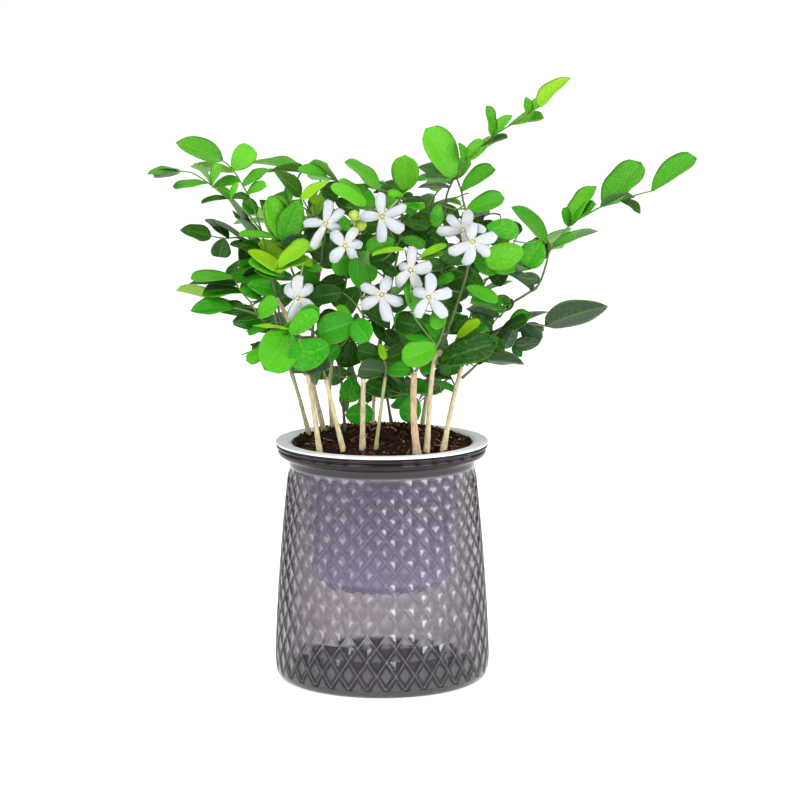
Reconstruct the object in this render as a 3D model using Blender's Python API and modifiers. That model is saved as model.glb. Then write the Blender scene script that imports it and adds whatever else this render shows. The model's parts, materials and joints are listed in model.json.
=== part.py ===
"""Potted orange jasmine: a bushy shrub with white blooms, in a white liner inside a faceted clear pot.

Lengths are in millimetres. The plant's tables hold places as seen from the front: x to the right of the
pot's axis, z up from the floor, both read in the plane through the axis, and a depth behind that plane. The
function seen_at turns them into places in space.
"""
import math
import random

import bmesh
import bpy
from mathutils import Vector
from mathutils.bvhtree import BVHTree

# Units and fits
MM = 0.001
GAP = 0.3

# Outer pot
POT_RADIUS = 65.5
POT_TAPER = 8.3
POT_TAPER_HEIGHT = 123.0
POT_TAPER_POWER = 1.6
POT_WALL = 2.8
POT_FLOOR = 2.5
POT_FOOT_RADIUS = 62.0
POT_RIM_TOP = 144.0
POT_NECK_INSIDE = 54.9
POT_NECK_FOOT = 126.0
POT_INSIDE_HEIGHTS = (9.0, 70.0)
POT_RIM_PROFILE = (
    (63.2, 144.0), (64.7, 143.2), (64.4, 141.9), (62.9, 141.3), (63.9, 139.6), (62.6, 137.2), (58.2, 136.2),
    (56.7, 134.0), (56.8, 131.3),
)
POT_FOOT_EDGE = (64.2, 1.8)
POT_FOOT_CORNER = 1.4
DIAMONDS_AROUND = 28
DIAMOND_ROWS = 7
DIAMOND_TOP = 129.5
DIAMOND_BOTTOM = 6.0
DIAMOND_GROWTH = 1.058
DIAMOND_RELIEF = 0.45

# Liner
LINER_LIP_FOOT = 144.3
LINER_NECK_TOP = 143.2
LINER_NECK_RADIUS = 54.5
LINER_STEP_HEIGHT = 128.0
LINER_BODY_RADIUS = 47.0
LINER_FLOOR_RADIUS = 42.0
LINER_FLOOR = 58.0
LINER_WALL = 1.4
LINER_CORNER = 4.0
WALL_RISE = 0.6
LINER_LIP_PROFILE = ((64.5, 144.3), (65.0, 144.8), (64.4, 145.6), (56.6, 145.6), (55.0, 144.8))
DRAIN_HOLES = 6
DRAIN_RADIUS = 2.5
DRAIN_CIRCLE = 28.0
DRAIN_DEPTH = 8.0
TURNED_STEPS = 28

# Soil
SOIL_EDGE_HEIGHT = 142.3
SOIL_MOUND = 8.2
SOIL_MOUND_BACK = 18.0
SOIL_MOUND_SPREAD = 30.0
SOIL_BUMP = 0.9
SOIL_SIDE_TOP = 140.0
SOIL_RINGS = (50.0, 40.0, 27.0, 14.0, 0.0)
STEM_DEPTH = 12.0

# The eye that the front view is seen from
EYE = Vector((11.0, -1636.0, 423.0))

# Foliage and flowers
BLADE_THICKNESS = 0.62
LEAF_RATIO = 0.56
WIDEST_LEAF_RATIO = 0.62
LEAF_BOW = 0.07
LEAF_SINK = 0.25
END_LEAF_SINK = 0.9
TWIG_RADIUS = 0.9
JOINT_FREE = 10.0
TWIG_SINK = 0.35
RACHIS_RADIUS = 0.62
PEDICEL_RADIUS = 0.6
PEDICEL_REACH = 8.0
STALK_TIP = 1.5
PETAL_LENGTH = 15.5
PETAL_WIDTH = 5.9
PETAL_THICKNESS = 0.7
PETAL_START = 2.5
PETAL_REACH = 2.2
HEART_RADII = (1.7, 1.0)
HEART_HEIGHT = 2.0
STYLE_LENGTH = 5.0
STYLE_RADIUS = 0.5

# Half outlines of a leaflet and a petal: share of the length, share of the half width
LARGE_LEAF_OUTLINE = ((0.0, 0.0), (0.26, 0.72), (0.58, 1.0), (0.87, 0.68), (1.0, 0.0))
SMALL_LEAF_OUTLINE = ((0.0, 0.0), (0.36, 0.9), (0.76, 0.88), (1.0, 0.0))
PETAL_OUTLINE = ((0.0, 0.34), (0.55, 1.0), (0.9, 0.8), (1.0, 0.36))
LARGE_LEAF_WIDTH = 9.5

# Leaves follow each other round a twig by this angle
SPIRAL_TURN = math.radians(137.5)

# Changes that are tried in turn until a piece is clear of the others
DEPTH_TRIES = (0, 3, -3, 6, -6, 9, -9, 12, -12, 16, -16, 20, -20)
SAG_TRIES = (0, -4, 4, -8, 8, -12, 12)
RECURVE_TRIES = (0.0, 2.0, -2.0, 4.0, -4.0, 6.0)
LEAF_TRIES = [(scale, lean, turn)
              for scale in (1.0, 0.9, 0.8)
              for lean in (0, -5, 5, -10, 10, -15, 15)
              for turn in (0.0, 0.35, -0.35, 0.7)]
CLEARANCE = 1.2 * GAP

# Colours from the photograph, as sRGB
COLOURS = {
    "outer_pot": "#8f88a0",
    "liner": "#eceaf0",
    "soil": "#3a1c12",
    "wood": "#d8c79b",
    "reddish wood": "#c9a283",
    "green wood": "#a5a877",
    "dark wood": "#5c5a44",
    "petals": "#f3f0f6",
    "heart": "#d8cf9a",
    "bud": "#b8cf3e",
}
LEAF_TONES = {
    "dark": "#0e4f14",
    "mid": "#23871a",
    "bright": "#39a812",
    "lime": "#86d40e",
    "under": "#6f8a74",
}

# Stems: radius, then points of the front view (x, z, depth) from the soil up
STEMS = {
    "stem_front_left_outer": (1.5, [
        (-38.5, 137, -34), (-44.5, 177, -33), (-50, 196.5, -32), (-57, 215, -30), (-64.5, 228.5, -28),
    ]),
    "stem_front_left_inner": (1.5, [(-24, 137, -34), (-34.5, 179, -38)]),
    "stem_centre": (1.6, [(-12, 138, -27), (-11.5, 178.5, -28), (-12.5, 201, -28)]),
    "stem_thick": (2.2, [(21.5, 134.5, -44), (19.5, 154, -44), (19.5, 182.5, -42)]),
    "stem_right_upright": (1.6, [(27.5, 137, -34), (31, 185, -30), (36, 196.5, -26)]),
    "stem_right_leaning": (1.6, [(38, 138, -27), (43, 164, -22), (48.5, 186, -16)]),
    "stem_back_left_green": (1.2, [(-46, 150.5, 20), (-52, 172.5, 24), (-56.5, 185, 26)]),
    "stem_back_left_speckled": (1.4, [(-37, 153.5, 28), (-42.5, 177, 24), (-44.5, 187, 20)]),
    "stem_back_left_pale": (1.2, [(-30.5, 152, 36), (-32, 171, 37), (-30.5, 189.5, 36)]),
    "stem_thin_dark": (0.8, [(-23, 151.5, 12), (-25, 179, 10), (-27, 189.5, 8)]),
    "stem_seedling": (1.1, [(-3.5, 138, -30), (-2.5, 146.5, -31), (2, 180.5, -32)]),
    "stem_back_centre": (1.1, [(-5.5, 153.5, 30), (-4.5, 175.5, 30), (-2.5, 196.5, 28)]),
    "stem_back_right_pale": (1.2, [(25, 153.5, 40), (28.5, 179, 40), (31, 193.5, 38)]),
    "stem_back_dark": (0.9, [(5.5, 153.5, 44), (2, 174.5, 50), (-1, 190.5, 52)]),
}

# Shoots: stem, height on it, twigs (depth of the tip, points), leaflets (base, tip, seen width, lean, tone)
SHOOTS = {
    "shoot_left_crown": (
        "stem_front_left_outer", "top",
        [
            (-14, [(-69.5, 250.5), (-73.5, 269)]),
            (-26, [(-73.5, 269), (-83, 281), (-93.5, 289), (-104.5, 297.5), (-116, 305), (-125, 306)]),
            (2, [(-73.5, 269), (-79, 285.5), (-85.5, 298), (-91.5, 307.5), (-98, 313)]),
        ],
        [
            (-122.5, 306, -143.5, 304, 3.5, -2, "mid"), (-124, 306, -139, 302, 5.5, 8, "under"),
            (-106.5, 298, -128, 296.5, 3.5, 0, "mid"), (-104.5, 298, -113, 307.5, 4.5, 5, "mid"),
            (-104, 297.5, -98.5, 310.5, 4.5, -5, "bright"), (-94, 289, -110.5, 286, 3.5, -6, "dark"),
            (-93.5, 289.5, -100.5, 297, 4.5, 4, "mid"), (-93, 289, -87.5, 298, 3.5, -6, "bright"),
            (-98, 313, -126, 323.5, 10.5, -4, "mid"), (-91, 307, -79.5, 321, 12, 5, "bright"),
            (-85, 297, -69.5, 307.5, 6, 4, "mid"), (-90.5, 305.5, -117, 309, 5, -8, "bright"),
            (-87, 299.5, -104, 296, 6, 8, "mid"), (-82.5, 292.5, -70.5, 296.5, 5.5, -8, "bright"),
            (-81.5, 290.5, -92.5, 289.5, 4.5, -6, "dark"),
        ],
    ),
    "shoot_left_dark": (
        "stem_back_left_green", "top",
        [
            (10, [(-62.5, 206), (-68.5, 236.5), (-73.5, 258)]),
            (-8, [(-73.5, 258), (-87, 265), (-96.5, 265), (-105, 266.5)]),
        ],
        [
            (-105, 266.5, -123.5, 270, 8.5, -5, "dark"), (-96.5, 265, -99.5, 253.5, 10.5, 8, "dark"),
            (-94, 265, -107.5, 277, 5, 8, "dark"), (-83, 263.5, -103.5, 275.5, 6, -6, "under"),
            (-77, 260.5, -93, 261, 5, -5, "mid"), (-87, 265, -80.5, 247, 10.5, 10, "dark"),
            (-72, 250.5, -87, 244.5, 8, -12, "mid"),
        ],
    ),
    "shoot_left_low": (
        "stem_front_left_outer", 214,
        [
            (-34, [(-68.5, 211), (-76, 218), (-84, 221), (-91.5, 222.5)]),
            (-22, [(-76, 218), (-80.5, 226), (-87, 233.5), (-90.5, 241)]),
        ],
        [
            (-91.5, 222.5, -117, 220.5, 8, -6, "mid"), (-85, 222, -95.5, 226, 6, 6, "dark"),
            (-75, 217.5, -90.5, 215, 5, 4, "dark"), (-76, 217.5, -63, 226.5, 9, -10, "bright"),
            (-69.5, 211.5, -81.5, 205.5, 5, -6, "mid"), (-90.5, 241, -117, 240, 5.5, -8, "bright"),
            (-88, 236, -119.5, 236, 4.5, 8, "dark"), (-85.5, 231.5, -110, 230, 5.5, -4, "mid"),
            (-87, 233.5, -108.5, 233.5, 5, 8, "under"),
        ],
    ),
    "shoot_front_low_left": (
        "stem_front_left_inner", "top",
        [
            (-50, [(-39, 195.5), (-48.5, 204), (-56.5, 207)]),
            (-46, [(-39, 195.5), (-43, 209), (-50, 214)]),
        ],
        [
            (-56.5, 207, -72, 184.5, 21, -10, "bright"), (-50, 204.5, -80.5, 192.5, 8, 12, "mid"),
            (-50, 214, -38.5, 222.5, 10, -8, "mid"), (-43, 199, -39, 183.5, 14.5, -12, "under"),
            (-46.5, 202, -54, 182.5, 13.5, 6, "under"), (-38, 193, -44.5, 178.5, 11, 12, "dark"),
            (-50, 214, -60, 207, 7.5, 8, "mid"),
        ],
    ),
    "shoot_front_left": (
        "stem_back_left_pale", "top",
        [
            (-12, [(-27, 200), (-22, 209)]),
            (-46, [(-22, 209), (-17, 214.5)]),
        ],
        [
            (-17, 214.5, -40, 206.5, 15.5, -8, "mid"), (-17, 214.5, -8, 202, 12, -8, "mid"),
            (-25, 203, -17.5, 187, 13.5, 8, "dark"), (-27, 199, -42, 187.5, 12, 12, "dark"),
            (-22, 209, -39, 217.5, 10, 12, "dark"),
        ],
    ),
    "shoot_centre": (
        "stem_centre", "top",
        [
            (-18, [(-11.5, 218), (-14.5, 242.5), (-16, 253)]),
            (-22, [(-16, 253), (-18.5, 265), (-17, 273)]),
            (-24, [(-11.5, 218), (-18.5, 227.5), (-24.5, 232)]),
        ],
        [
            (-16, 250.5, -31, 247, 10.5, -6, "mid"), (-16, 253, -14.5, 234, 11, -10, "mid"),
            (-14.5, 247, -3, 242, 8.5, 4, "mid"), (-13, 234.5, -25.5, 220, 11.5, 10, "dark"),
            (-24.5, 232, -43, 228.5, 10.5, 4, "dark"), (-11.5, 221, 5, 211.5, 11, 8, "dark"),
            (-16.5, 258, -2, 264, 8.5, 8, "dark"),
        ],
    ),
    "shoot_seedling": (
        "stem_seedling", "top",
        [
            (-36, [(2.5, 187), (-0.5, 194.5), (-1, 200)]),
        ],
        [
            (2.5, 183.5, -14.5, 185, 10, -12, "under"), (2.5, 184, 17.5, 185, 8, -4, "mid"),
            (2.5, 182, 12, 174.5, 9, 10, "dark"), (-1, 200, 1, 190.5, 4.5, -4, "lime"),
            (-0.5, 193.5, -15.5, 196.5, 10.5, 10, "dark"), (0.5, 190.5, 15.5, 196.5, 10, 8, "dark"),
        ],
    ),
    "shoot_front_centre": (
        "stem_thick", "top",
        [
            (-46, [(26.5, 192), (33.5, 199), (38, 212), (36.5, 223.5)]),
            (-44, [(33.5, 199), (25.5, 209), (18.5, 220), (17.5, 234.5)]),
        ],
        [
            (33.5, 198.5, 12, 191, 13.5, -10, "bright"), (29.5, 203.5, 14, 204.5, 6.5, -4, "mid"),
            (24.5, 211, 8.5, 214.5, 12, 2, "dark"), (36.5, 222.5, 33, 209, 8, -8, "bright"),
            (18.5, 221, 17.5, 239, 8.5, -10, "bright"), (22.5, 214, 24, 196.5, 11, 10, "dark"),
            (17.5, 228.5, 5, 222.5, 8.5, 6, "dark"),
        ],
    ),
    "shoot_right_low": (
        "stem_right_upright", 193,
        [
            (-24, [(41.5, 195.5), (46, 204.5)]),
            (-22, [(41.5, 195.5), (54, 201), (61, 203)]),
        ],
        [
            (37.5, 198.5, 56.5, 192, 7.5, -10, "mid"), (43, 208.5, 60.5, 213.5, 6, -8, "lime"),
            (41.5, 205.5, 66, 208.5, 5, -2, "bright"), (61, 203, 71, 201, 7.5, 4, "dark"),
            (47.5, 202, 61, 195.5, 8.5, -6, "dark"), (37.5, 199, 41, 181, 9, 10, "dark"),
            (52.5, 201, 43, 190.5, 9, 6, "dark"),
        ],
    ),
    "shoot_low_petiole": (
        "stem_right_leaning", 180,
        [
            (-6, [(55, 185), (60, 190)]),
        ],
        [
            (60, 190, 87, 188, 8, -8, "under"), (58, 189, 67.5, 196.5, 5, 4, "dark"),
        ],
    ),
    "shoot_right_outer": (
        "stem_right_leaning", 184.5,
        [
            (6, [(58.5, 196.5), (72, 208.5), (84.5, 211.5), (91.5, 212.5), (100.5, 211.5)]),
            (18, [(72, 209), (77, 204), (80.5, 199)]),
            (-8, [(61, 198.5), (68.5, 214), (76, 221)]),
        ],
        [
            (100.5, 211.5, 138, 223.5, 13.5, -12, "under"), (85.5, 211.5, 96.5, 201, 10, -6, "under"),
            (74.5, 206.5, 76, 197.5, 8, -6, "under"), (80.5, 199, 85.5, 192.5, 5, 0, "dark"),
            (78.5, 210, 90, 220, 8, 6, "mid"), (72, 209, 89.5, 215, 6, -10, "dark"),
            (76, 221, 54, 225.5, 5, -8, "bright"), (74.5, 220, 52.5, 222, 5.5, 4, "bright"),
            (76, 221, 79.5, 228, 5, 6, "dark"), (66, 211.5, 55, 223.5, 10.5, 8, "dark"),
            (63.5, 204, 74.5, 195.5, 8.5, 10, "dark"),
        ],
    ),
    "shoot_right_arm": (
        "stem_right_leaning", "top",
        [
            (30, [(60, 208), (72, 220), (79.5, 225.5), (91.5, 233), (97, 239), (102, 256.5), (101, 263.5)]),
            (6, [(102, 256.5), (114.5, 272.5), (127, 280.5), (136, 285), (155.5, 291.5), (167, 294.5)]),
            (44, [(91.5, 233), (82, 247), (76, 264), (72, 279.5)]),
        ],
        [
            (104, 259, 132, 269.5, 5.5, 6, "bright"), (114.5, 272.5, 110.5, 283.5, 5, -6, "mid"),
            (115, 273, 131, 286, 5.5, -8, "mid"), (115.5, 274, 131, 297, 10, 8, "bright"),
            (135, 285, 158.5, 311.5, 14.5, 6, "mid"), (133.5, 284, 154.5, 290.5, 5.5, -8, "under"),
            (165, 294, 192.5, 314, 10, -4, "mid"), (145.5, 288, 158, 280.5, 4.5, 4, "dark"),
            (101, 263.5, 79, 284, 8.5, -10, "mid"), (77, 261, 64, 272.5, 8.5, 8, "mid"),
            (91.5, 233, 77.5, 243, 5, -12, "under"), (82, 247, 63.5, 250.5, 11, -12, "bright"),
            (101, 263, 87, 250.5, 12, -10, "dark"), (74, 271.5, 86, 270, 7.5, 6, "under"),
            (78.5, 256.5, 68.5, 236.5, 11, 6, "dark"),
        ],
    ),
    "shoot_right_crown": (
        "stem_right_upright", "top",
        [
            (24, [
                (41.5, 212), (52, 244.5), (54, 264), (51, 282.5), (49.5, 288.5), (48.5, 294), (45.5, 302.5),
            ]),
            (-6, [
                (46, 303), (51, 312), (58.5, 319.5), (66.5, 326.5), (76.5, 333), (84.5, 337.5), (96, 345.5),
            ]),
            (10, [(52.5, 245.5), (58.5, 258), (61, 269)]),
        ],
        [
            (48.5, 293.5, 69.5, 307, 8, -6, "mid"), (51, 281, 75, 289.5, 9, -4, "mid"),
            (51, 311.5, 46.5, 323.5, 5, -4, "mid"), (51.5, 312.5, 63, 324.5, 5.5, 5, "bright"),
            (60, 320, 77, 326.5, 3.5, -8, "dark"), (67.5, 327, 63.5, 346, 6, -5, "mid"),
            (68, 327.5, 79, 340.5, 6, 6, "bright"), (77, 333, 99, 338.5, 4.5, -6, "mid"),
            (89.5, 340.5, 87.5, 351.5, 5, -4, "mid"), (90, 341, 99.5, 352, 5, 5, "bright"),
            (96, 345.5, 115.5, 363, 8, -2, "lime"), (54, 261, 70.5, 275, 11, 8, "dark"),
            (53, 250.5, 35.5, 258, 11, 8, "dark"), (61, 267.5, 73.5, 262, 8, 6, "dark"),
            (56.5, 253, 72, 245.5, 11, -8, "mid"), (51.5, 242.5, 34.5, 236.5, 11, 8, "dark"),
        ],
    ),
    "shoot_mid_right": (
        "stem_back_right_pale", "top",
        [
            (20, [(34.5, 227.5), (38, 264), (39, 288.5), (44, 302)]),
            (6, [(38.5, 275), (26.5, 281), (18.5, 280)]),
            (30, [(35.5, 245.5), (23, 255), (14, 260.5)]),
        ],
        [
            (43.5, 305.5, 26.5, 332, 16, -8, "bright"), (42, 303, 22, 308.5, 7.5, 4, "dark"),
            (43, 301.5, 20, 300, 3.5, -6, "mid"), (41, 296, 22, 296, 3.5, 6, "dark"),
            (39, 288, 48.5, 285, 3, -6, "mid"), (26.5, 281, 19.5, 291, 5.5, 5, "dark"),
            (18.5, 280, 12, 287, 5.5, 4, "mid"), (23, 281, 32, 266.5, 9, 8, "dark"),
            (14, 260.5, -3, 265, 10.5, 6, "dark"), (37.5, 258, 21, 266.5, 10.5, 10, "dark"),
            (35, 233.5, 17.5, 239.5, 11.5, 8, "dark"), (35, 227.5, 52.5, 233.5, 11, 8, "dark"),
        ],
    ),
    "shoot_mid_top": (
        "stem_back_centre", "top",
        [
            (16, [(5, 233.5), (11, 264), (13, 288.5), (14.5, 294.5)]),
            (28, [(10, 258), (1, 273), (-7.5, 285.5)]),
        ],
        [
            (14.5, 294.5, 14, 316, 14.5, -8, "bright"), (14, 293.5, 22.5, 307, 6, 8, "dark"),
            (13, 287, 23, 283, 6, -6, "mid"), (13, 288.5, 5.5, 297.5, 6.5, 6, "dark"),
            (11.5, 275, 25, 278, 5.5, 6, "mid"), (11, 267, 27.5, 272.5, 9, 10, "dark"),
            (1, 273, -14.5, 274, 10.5, 6, "dark"), (-7.5, 285.5, -21, 293.5, 8, 5, "dark"),
            (9, 255, -7.5, 250.5, 11, 8, "dark"), (7.5, 242.5, 24, 247, 11, 10, "dark"),
            (5, 232, -11, 223.5, 11.5, 8, "dark"),
        ],
    ),
    "shoot_upper_mid": (
        "stem_back_left_speckled", "top",
        [
            (-6, [(-40.5, 227.5), (-36.5, 258), (-40.5, 276)]),
            (-4, [(-36.5, 258), (-32, 282.5), (-24.5, 297), (-34.5, 303)]),
            (-8, [(-24.5, 297), (-10, 298), (0, 294.5)]),
            (-14, [(-40.5, 276), (-46.5, 285.5), (-50, 291.5)]),
        ],
        [
            (-50, 291.5, -66, 306, 8.5, -6, "dark"), (-34.5, 303, -52, 307, 5.5, -4, "mid"),
            (-27, 298, -44.5, 311, 5, 4, "mid"), (-1, 294.5, -23, 311.5, 8.5, -6, "mid"),
            (-18.5, 297, -6, 283.5, 8.5, -4, "mid"), (-40.5, 277.5, -31, 294.5, 5.5, -6, "lime"),
            (-41.5, 277.5, -38.5, 288.5, 4.5, 6, "lime"), (-33, 275, -46.5, 261.5, 8.5, 8, "dark"),
            (-29.5, 288.5, -14.5, 277.5, 8.5, 6, "dark"), (-38, 250.5, -21, 258, 10.5, 6, "dark"),
            (-38.5, 242.5, -55, 237, 10.5, -6, "mid"), (-40, 233.5, -22.5, 238.5, 11.5, 6, "dark"),
        ],
    ),
    "shoot_heart_pair": (
        "stem_thin_dark", "top",
        [
            (-10, [(-39, 215), (-52.5, 239.5), (-60, 260.5)]),
            (-4, [(-52.5, 239.5), (-68.5, 244.5), (-79.5, 248)]),
            (-26, [(-57.5, 250.5), (-51.5, 255), (-45.5, 258.5)]),
        ],
        [
            (-60, 261.5, -68.5, 291, 16, -8, "bright"), (-59.5, 259.5, -49.5, 289, 16, 2, "mid"),
            (-60, 260.5, -75, 288.5, 7.5, 12, "under"), (-56.5, 250.5, -76, 261.5, 5.5, -6, "lime"),
            (-46.5, 258, -36.5, 264, 5.5, -4, "lime"), (-51.5, 255, -43, 248, 5, -6, "lime"),
            (-57.5, 250, -39, 245.5, 6, -6, "mid"), (-52.5, 239.5, -96.5, 236, 8.5, -8, "mid"),
            (-68.5, 244.5, -76.5, 250.5, 8.5, -8, "bright"), (-73.5, 245.5, -85.5, 242, 5.5, 6, "under"),
            (-47, 230, -29.5, 234.5, 11, 6, "dark"), (-50, 235.5, -65, 225.5, 10.5, 8, "dark"),
            (-44, 224.5, -56.5, 213.5, 10.5, 6, "dark"),
        ],
    ),
}

# Blooms: centre, depth, shoot that carries it, petal tips
BLOOMS = {
    "bloom_1": (
        (-34.5, 274), -40, "shoot_upper_mid",
        [(-33.5, 289), (-22.5, 281.5), (-48.5, 274.5), (-43, 258.5), (-25.5, 269.5)],
    ),
    "bloom_2": (
        (-22.5, 260.5), -48, "shoot_upper_mid",
        [(-32, 268.5), (-16, 272), (-15.5, 253.5), (-31, 250), (-11.5, 262)],
    ),
    "bloom_3": (
        (0, 278.5), -34, "shoot_mid_top",
        [(-2.5, 293.5), (15.5, 284), (13.5, 269.5), (-1, 262), (-14.5, 278.5)],
    ),
    "bloom_4": (
        (49.5, 270), -30, "shoot_right_crown",
        [(40, 279.5), (54.5, 282.5), (33, 269.5), (64, 271.5), (54, 258)],
    ),
    "bloom_5": (
        (55.5, 263), -48, "shoot_right_crown",
        [(71, 266), (66, 254), (51.5, 248), (40.5, 256), (54, 275)],
    ),
    "bloom_6": (
        (-51.5, 228.5), -46, "shoot_heart_pair",
        [(-52, 243), (-60, 235.5), (-43, 237.5), (-42, 220), (-53, 213.5)],
    ),
    "bloom_7": (
        (0, 230.5), -50, "shoot_centre",
        [(-13, 237), (-13, 222), (5, 214), (13.5, 225), (4.5, 242)],
    ),
    "bloom_8": (
        (17.5, 245.5), -46, "shoot_front_centre",
        [(19.5, 260.5), (31, 248), (24, 233.5), (8, 236.5), (11, 250.5)],
    ),
    "bloom_9": (
        (28.5, 229), -58, "shoot_front_centre",
        [(31, 244), (43, 233), (40.5, 217.5), (20, 217), (18.5, 233)],
    ),
}

# Leaves on each shoot at the back
RULED_LEAVES = 3
RULED_LEAF_LENGTH = (30.0, 40.0)
RULED_LEAF_START = 0.35

# Where along the rachis a leaflet sits, its length, and its angle from the rachis
RULED_LEAFLETS = ((0.42, 23.0, 65.0), (0.68, 27.0, 60.0), (0.9, 29.0, 52.0), (1.0, 31.0, 5.0))

# Buds: shoot, centre, depth, radius
BUDS = {
    "bud_1": ("shoot_centre", (-17.0, 279.0), -26, 3.4),
    "bud_2": ("shoot_centre", (-13.0, 273.0), -20, 3.7),
}

# Shoots at the back: stem, height on it, and the twig's further points in space
RULED_SHOOTS = {
    "shoot_back_left": ("stem_back_left_green", 168, [(-60, 38, 190), (-68, 44, 232)]),
    "shoot_back_mid_left": ("stem_back_left_speckled", 170, [(-40, 42, 205), (-42, 50, 262)]),
    "shoot_back_centre": ("stem_back_dark", "top", [(0, 60, 225), (4, 60, 262)]),
    "shoot_back_mid_right": ("stem_back_centre", 182, [(14, 40, 225), (26, 46, 280)]),
    "shoot_back_right": ("stem_back_right_pale", 172, [(48, 52, 195), (66, 54, 235)]),
    "shoot_back_high": ("stem_back_left_pale", 178, [(-22, 36, 240), (-14, 38, 292)]),
}

# Bark of the stems that aren't pale beige
STEM_WOOD = {
    "stem_thick": "reddish wood",
    "stem_back_left_green": "green wood",
    "stem_back_right_pale": "green wood",
    "stem_seedling": "green wood",
    "stem_thin_dark": "dark wood",
    "stem_back_dark": "dark wood",
}


def linear(channel):
    """Turns one sRGB channel, 0 to 1, into linear light."""
    if channel <= 0.04045:
        return channel / 12.92
    return ((channel + 0.055) / 1.055) ** 2.4


def rgb(code):
    """The three linear channels of a colour written as a hex code."""
    return [linear(int(code[i:i + 2], 16) / 255) for i in (1, 3, 5)]


def make_material(name, colour, roughness, alpha=1.0):
    material = bpy.data.materials.new(name)
    material.use_nodes = True
    shader = material.node_tree.nodes["Principled BSDF"]
    shader.inputs["Base Color"].default_value = (*colour, 1.0)
    shader.inputs["Roughness"].default_value = roughness
    shader.inputs["Metallic"].default_value = 0.0
    shader.inputs["Alpha"].default_value = alpha
    return material


def new_collection(name):
    group = bpy.data.collections.new(name)
    bpy.context.scene.collection.children.link(group)
    return group


def object_from_bmesh(name, bm, group):
    mesh = bpy.data.meshes.new(name)
    bm.to_mesh(mesh)
    bm.free()
    piece = bpy.data.objects.new(name, mesh)
    group.objects.link(piece)
    return piece


def object_from_points(name, points, faces, group):
    """A mesh object from points in millimetres."""
    mesh = bpy.data.meshes.new(name)
    mesh.from_pydata([p * MM for p in points], [], faces)
    piece = bpy.data.objects.new(name, mesh)
    group.objects.link(piece)
    return piece


def finish(piece, material):
    piece.data.materials.clear()
    piece.data.materials.append(material)
    piece.data.shade_smooth()
    piece.data.set_sharp_from_angle(angle=math.radians(35))


def evaluated_mesh(piece):
    graph = bpy.context.evaluated_depsgraph_get()
    return bpy.data.meshes.new_from_object(piece.evaluated_get(graph))


def apply_modifiers(piece):
    mesh = evaluated_mesh(piece)
    piece.modifiers.clear()
    piece.data = mesh


def cut(piece, cutter, solver="EXACT"):
    """Cuts one object, or a collection of them, out of a piece."""
    change = piece.modifiers.new("cut", "BOOLEAN")
    change.operation = "DIFFERENCE"
    change.solver = solver
    if isinstance(cutter, bpy.types.Collection):
        change.operand_type = "COLLECTION"
        change.collection = cutter
    else:
        change.object = cutter


def fuse(name, pieces, material):
    """Joins the closed pieces of one node by one union and leaves one body."""
    body = pieces[0]
    group = new_collection(name + "_pieces")
    for piece in pieces[1:]:
        group.objects.link(piece)
        model.objects.unlink(piece)
    join = body.modifiers.new("join", "BOOLEAN")
    join.operation = "UNION"
    join.solver = "MANIFOLD"
    join.operand_type = "COLLECTION"
    join.collection = group
    apply_modifiers(body)
    for piece in pieces[1:]:
        bpy.data.objects.remove(piece)
    bpy.data.collections.remove(group)
    tidy_cut(body)
    body.name = name
    body.data.name = name
    finish(body, material)
    return body


def tidy_cut(piece):
    """After a Boolean: clears points in mid edge, splits the faces and drops loose scraps."""
    bm = bmesh.new()
    bm.from_mesh(piece.data)
    bmesh.ops.dissolve_verts(bm, verts=[v for v in bm.verts if len(v.link_edges) == 2])
    bmesh.ops.triangulate(bm, faces=bm.faces)
    left = set(bm.verts)
    islands = []
    while left:
        island = set()
        edge = [left.pop()]
        while edge:
            vert = edge.pop()
            island.add(vert)
            for link in vert.link_edges:
                other = link.other_vert(vert)
                if other in left:
                    left.discard(other)
                    edge.append(other)
        islands.append(island)
    islands.sort(key=len)
    for scrap in islands[:-1]:
        bmesh.ops.delete(bm, geom=list(scrap), context="VERTS")
    bm.to_mesh(piece.data)
    bm.free()


def turned(name, profile, steps, group):
    """A turned solid: a closed profile of (radius, height) that ends on the axis, spun by a Screw."""
    mesh = bpy.data.meshes.new(name)
    count = len(profile)
    mesh.from_pydata([(r * MM, 0, z * MM) for r, z in profile], [(i, i + 1) for i in range(count - 1)], [])
    piece = bpy.data.objects.new(name, mesh)
    group.objects.link(piece)
    spin = piece.modifiers.new("spin", "SCREW")
    spin.axis = "Z"
    spin.steps = steps
    spin.render_steps = steps
    spin.use_merge_vertices = True
    spin.merge_threshold = 0.00001
    apply_modifiers(piece)
    return piece


def pot_radius(z):
    """Outer radius of the faceted wall at a height."""
    return POT_RADIUS - POT_TAPER * (z / POT_TAPER_HEIGHT) ** POT_TAPER_POWER


def diamond_levels():
    """Heights of the half pitches, top to bottom, with pitches that grow downward."""
    shares = [DIAMOND_GROWTH ** (i // 2) for i in range(2 * DIAMOND_ROWS)]
    scale = (DIAMOND_TOP - DIAMOND_BOTTOM) / sum(shares)
    levels = [DIAMOND_TOP]
    for share in shares:
        levels.append(levels[-1] - share * scale)
    return levels


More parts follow.
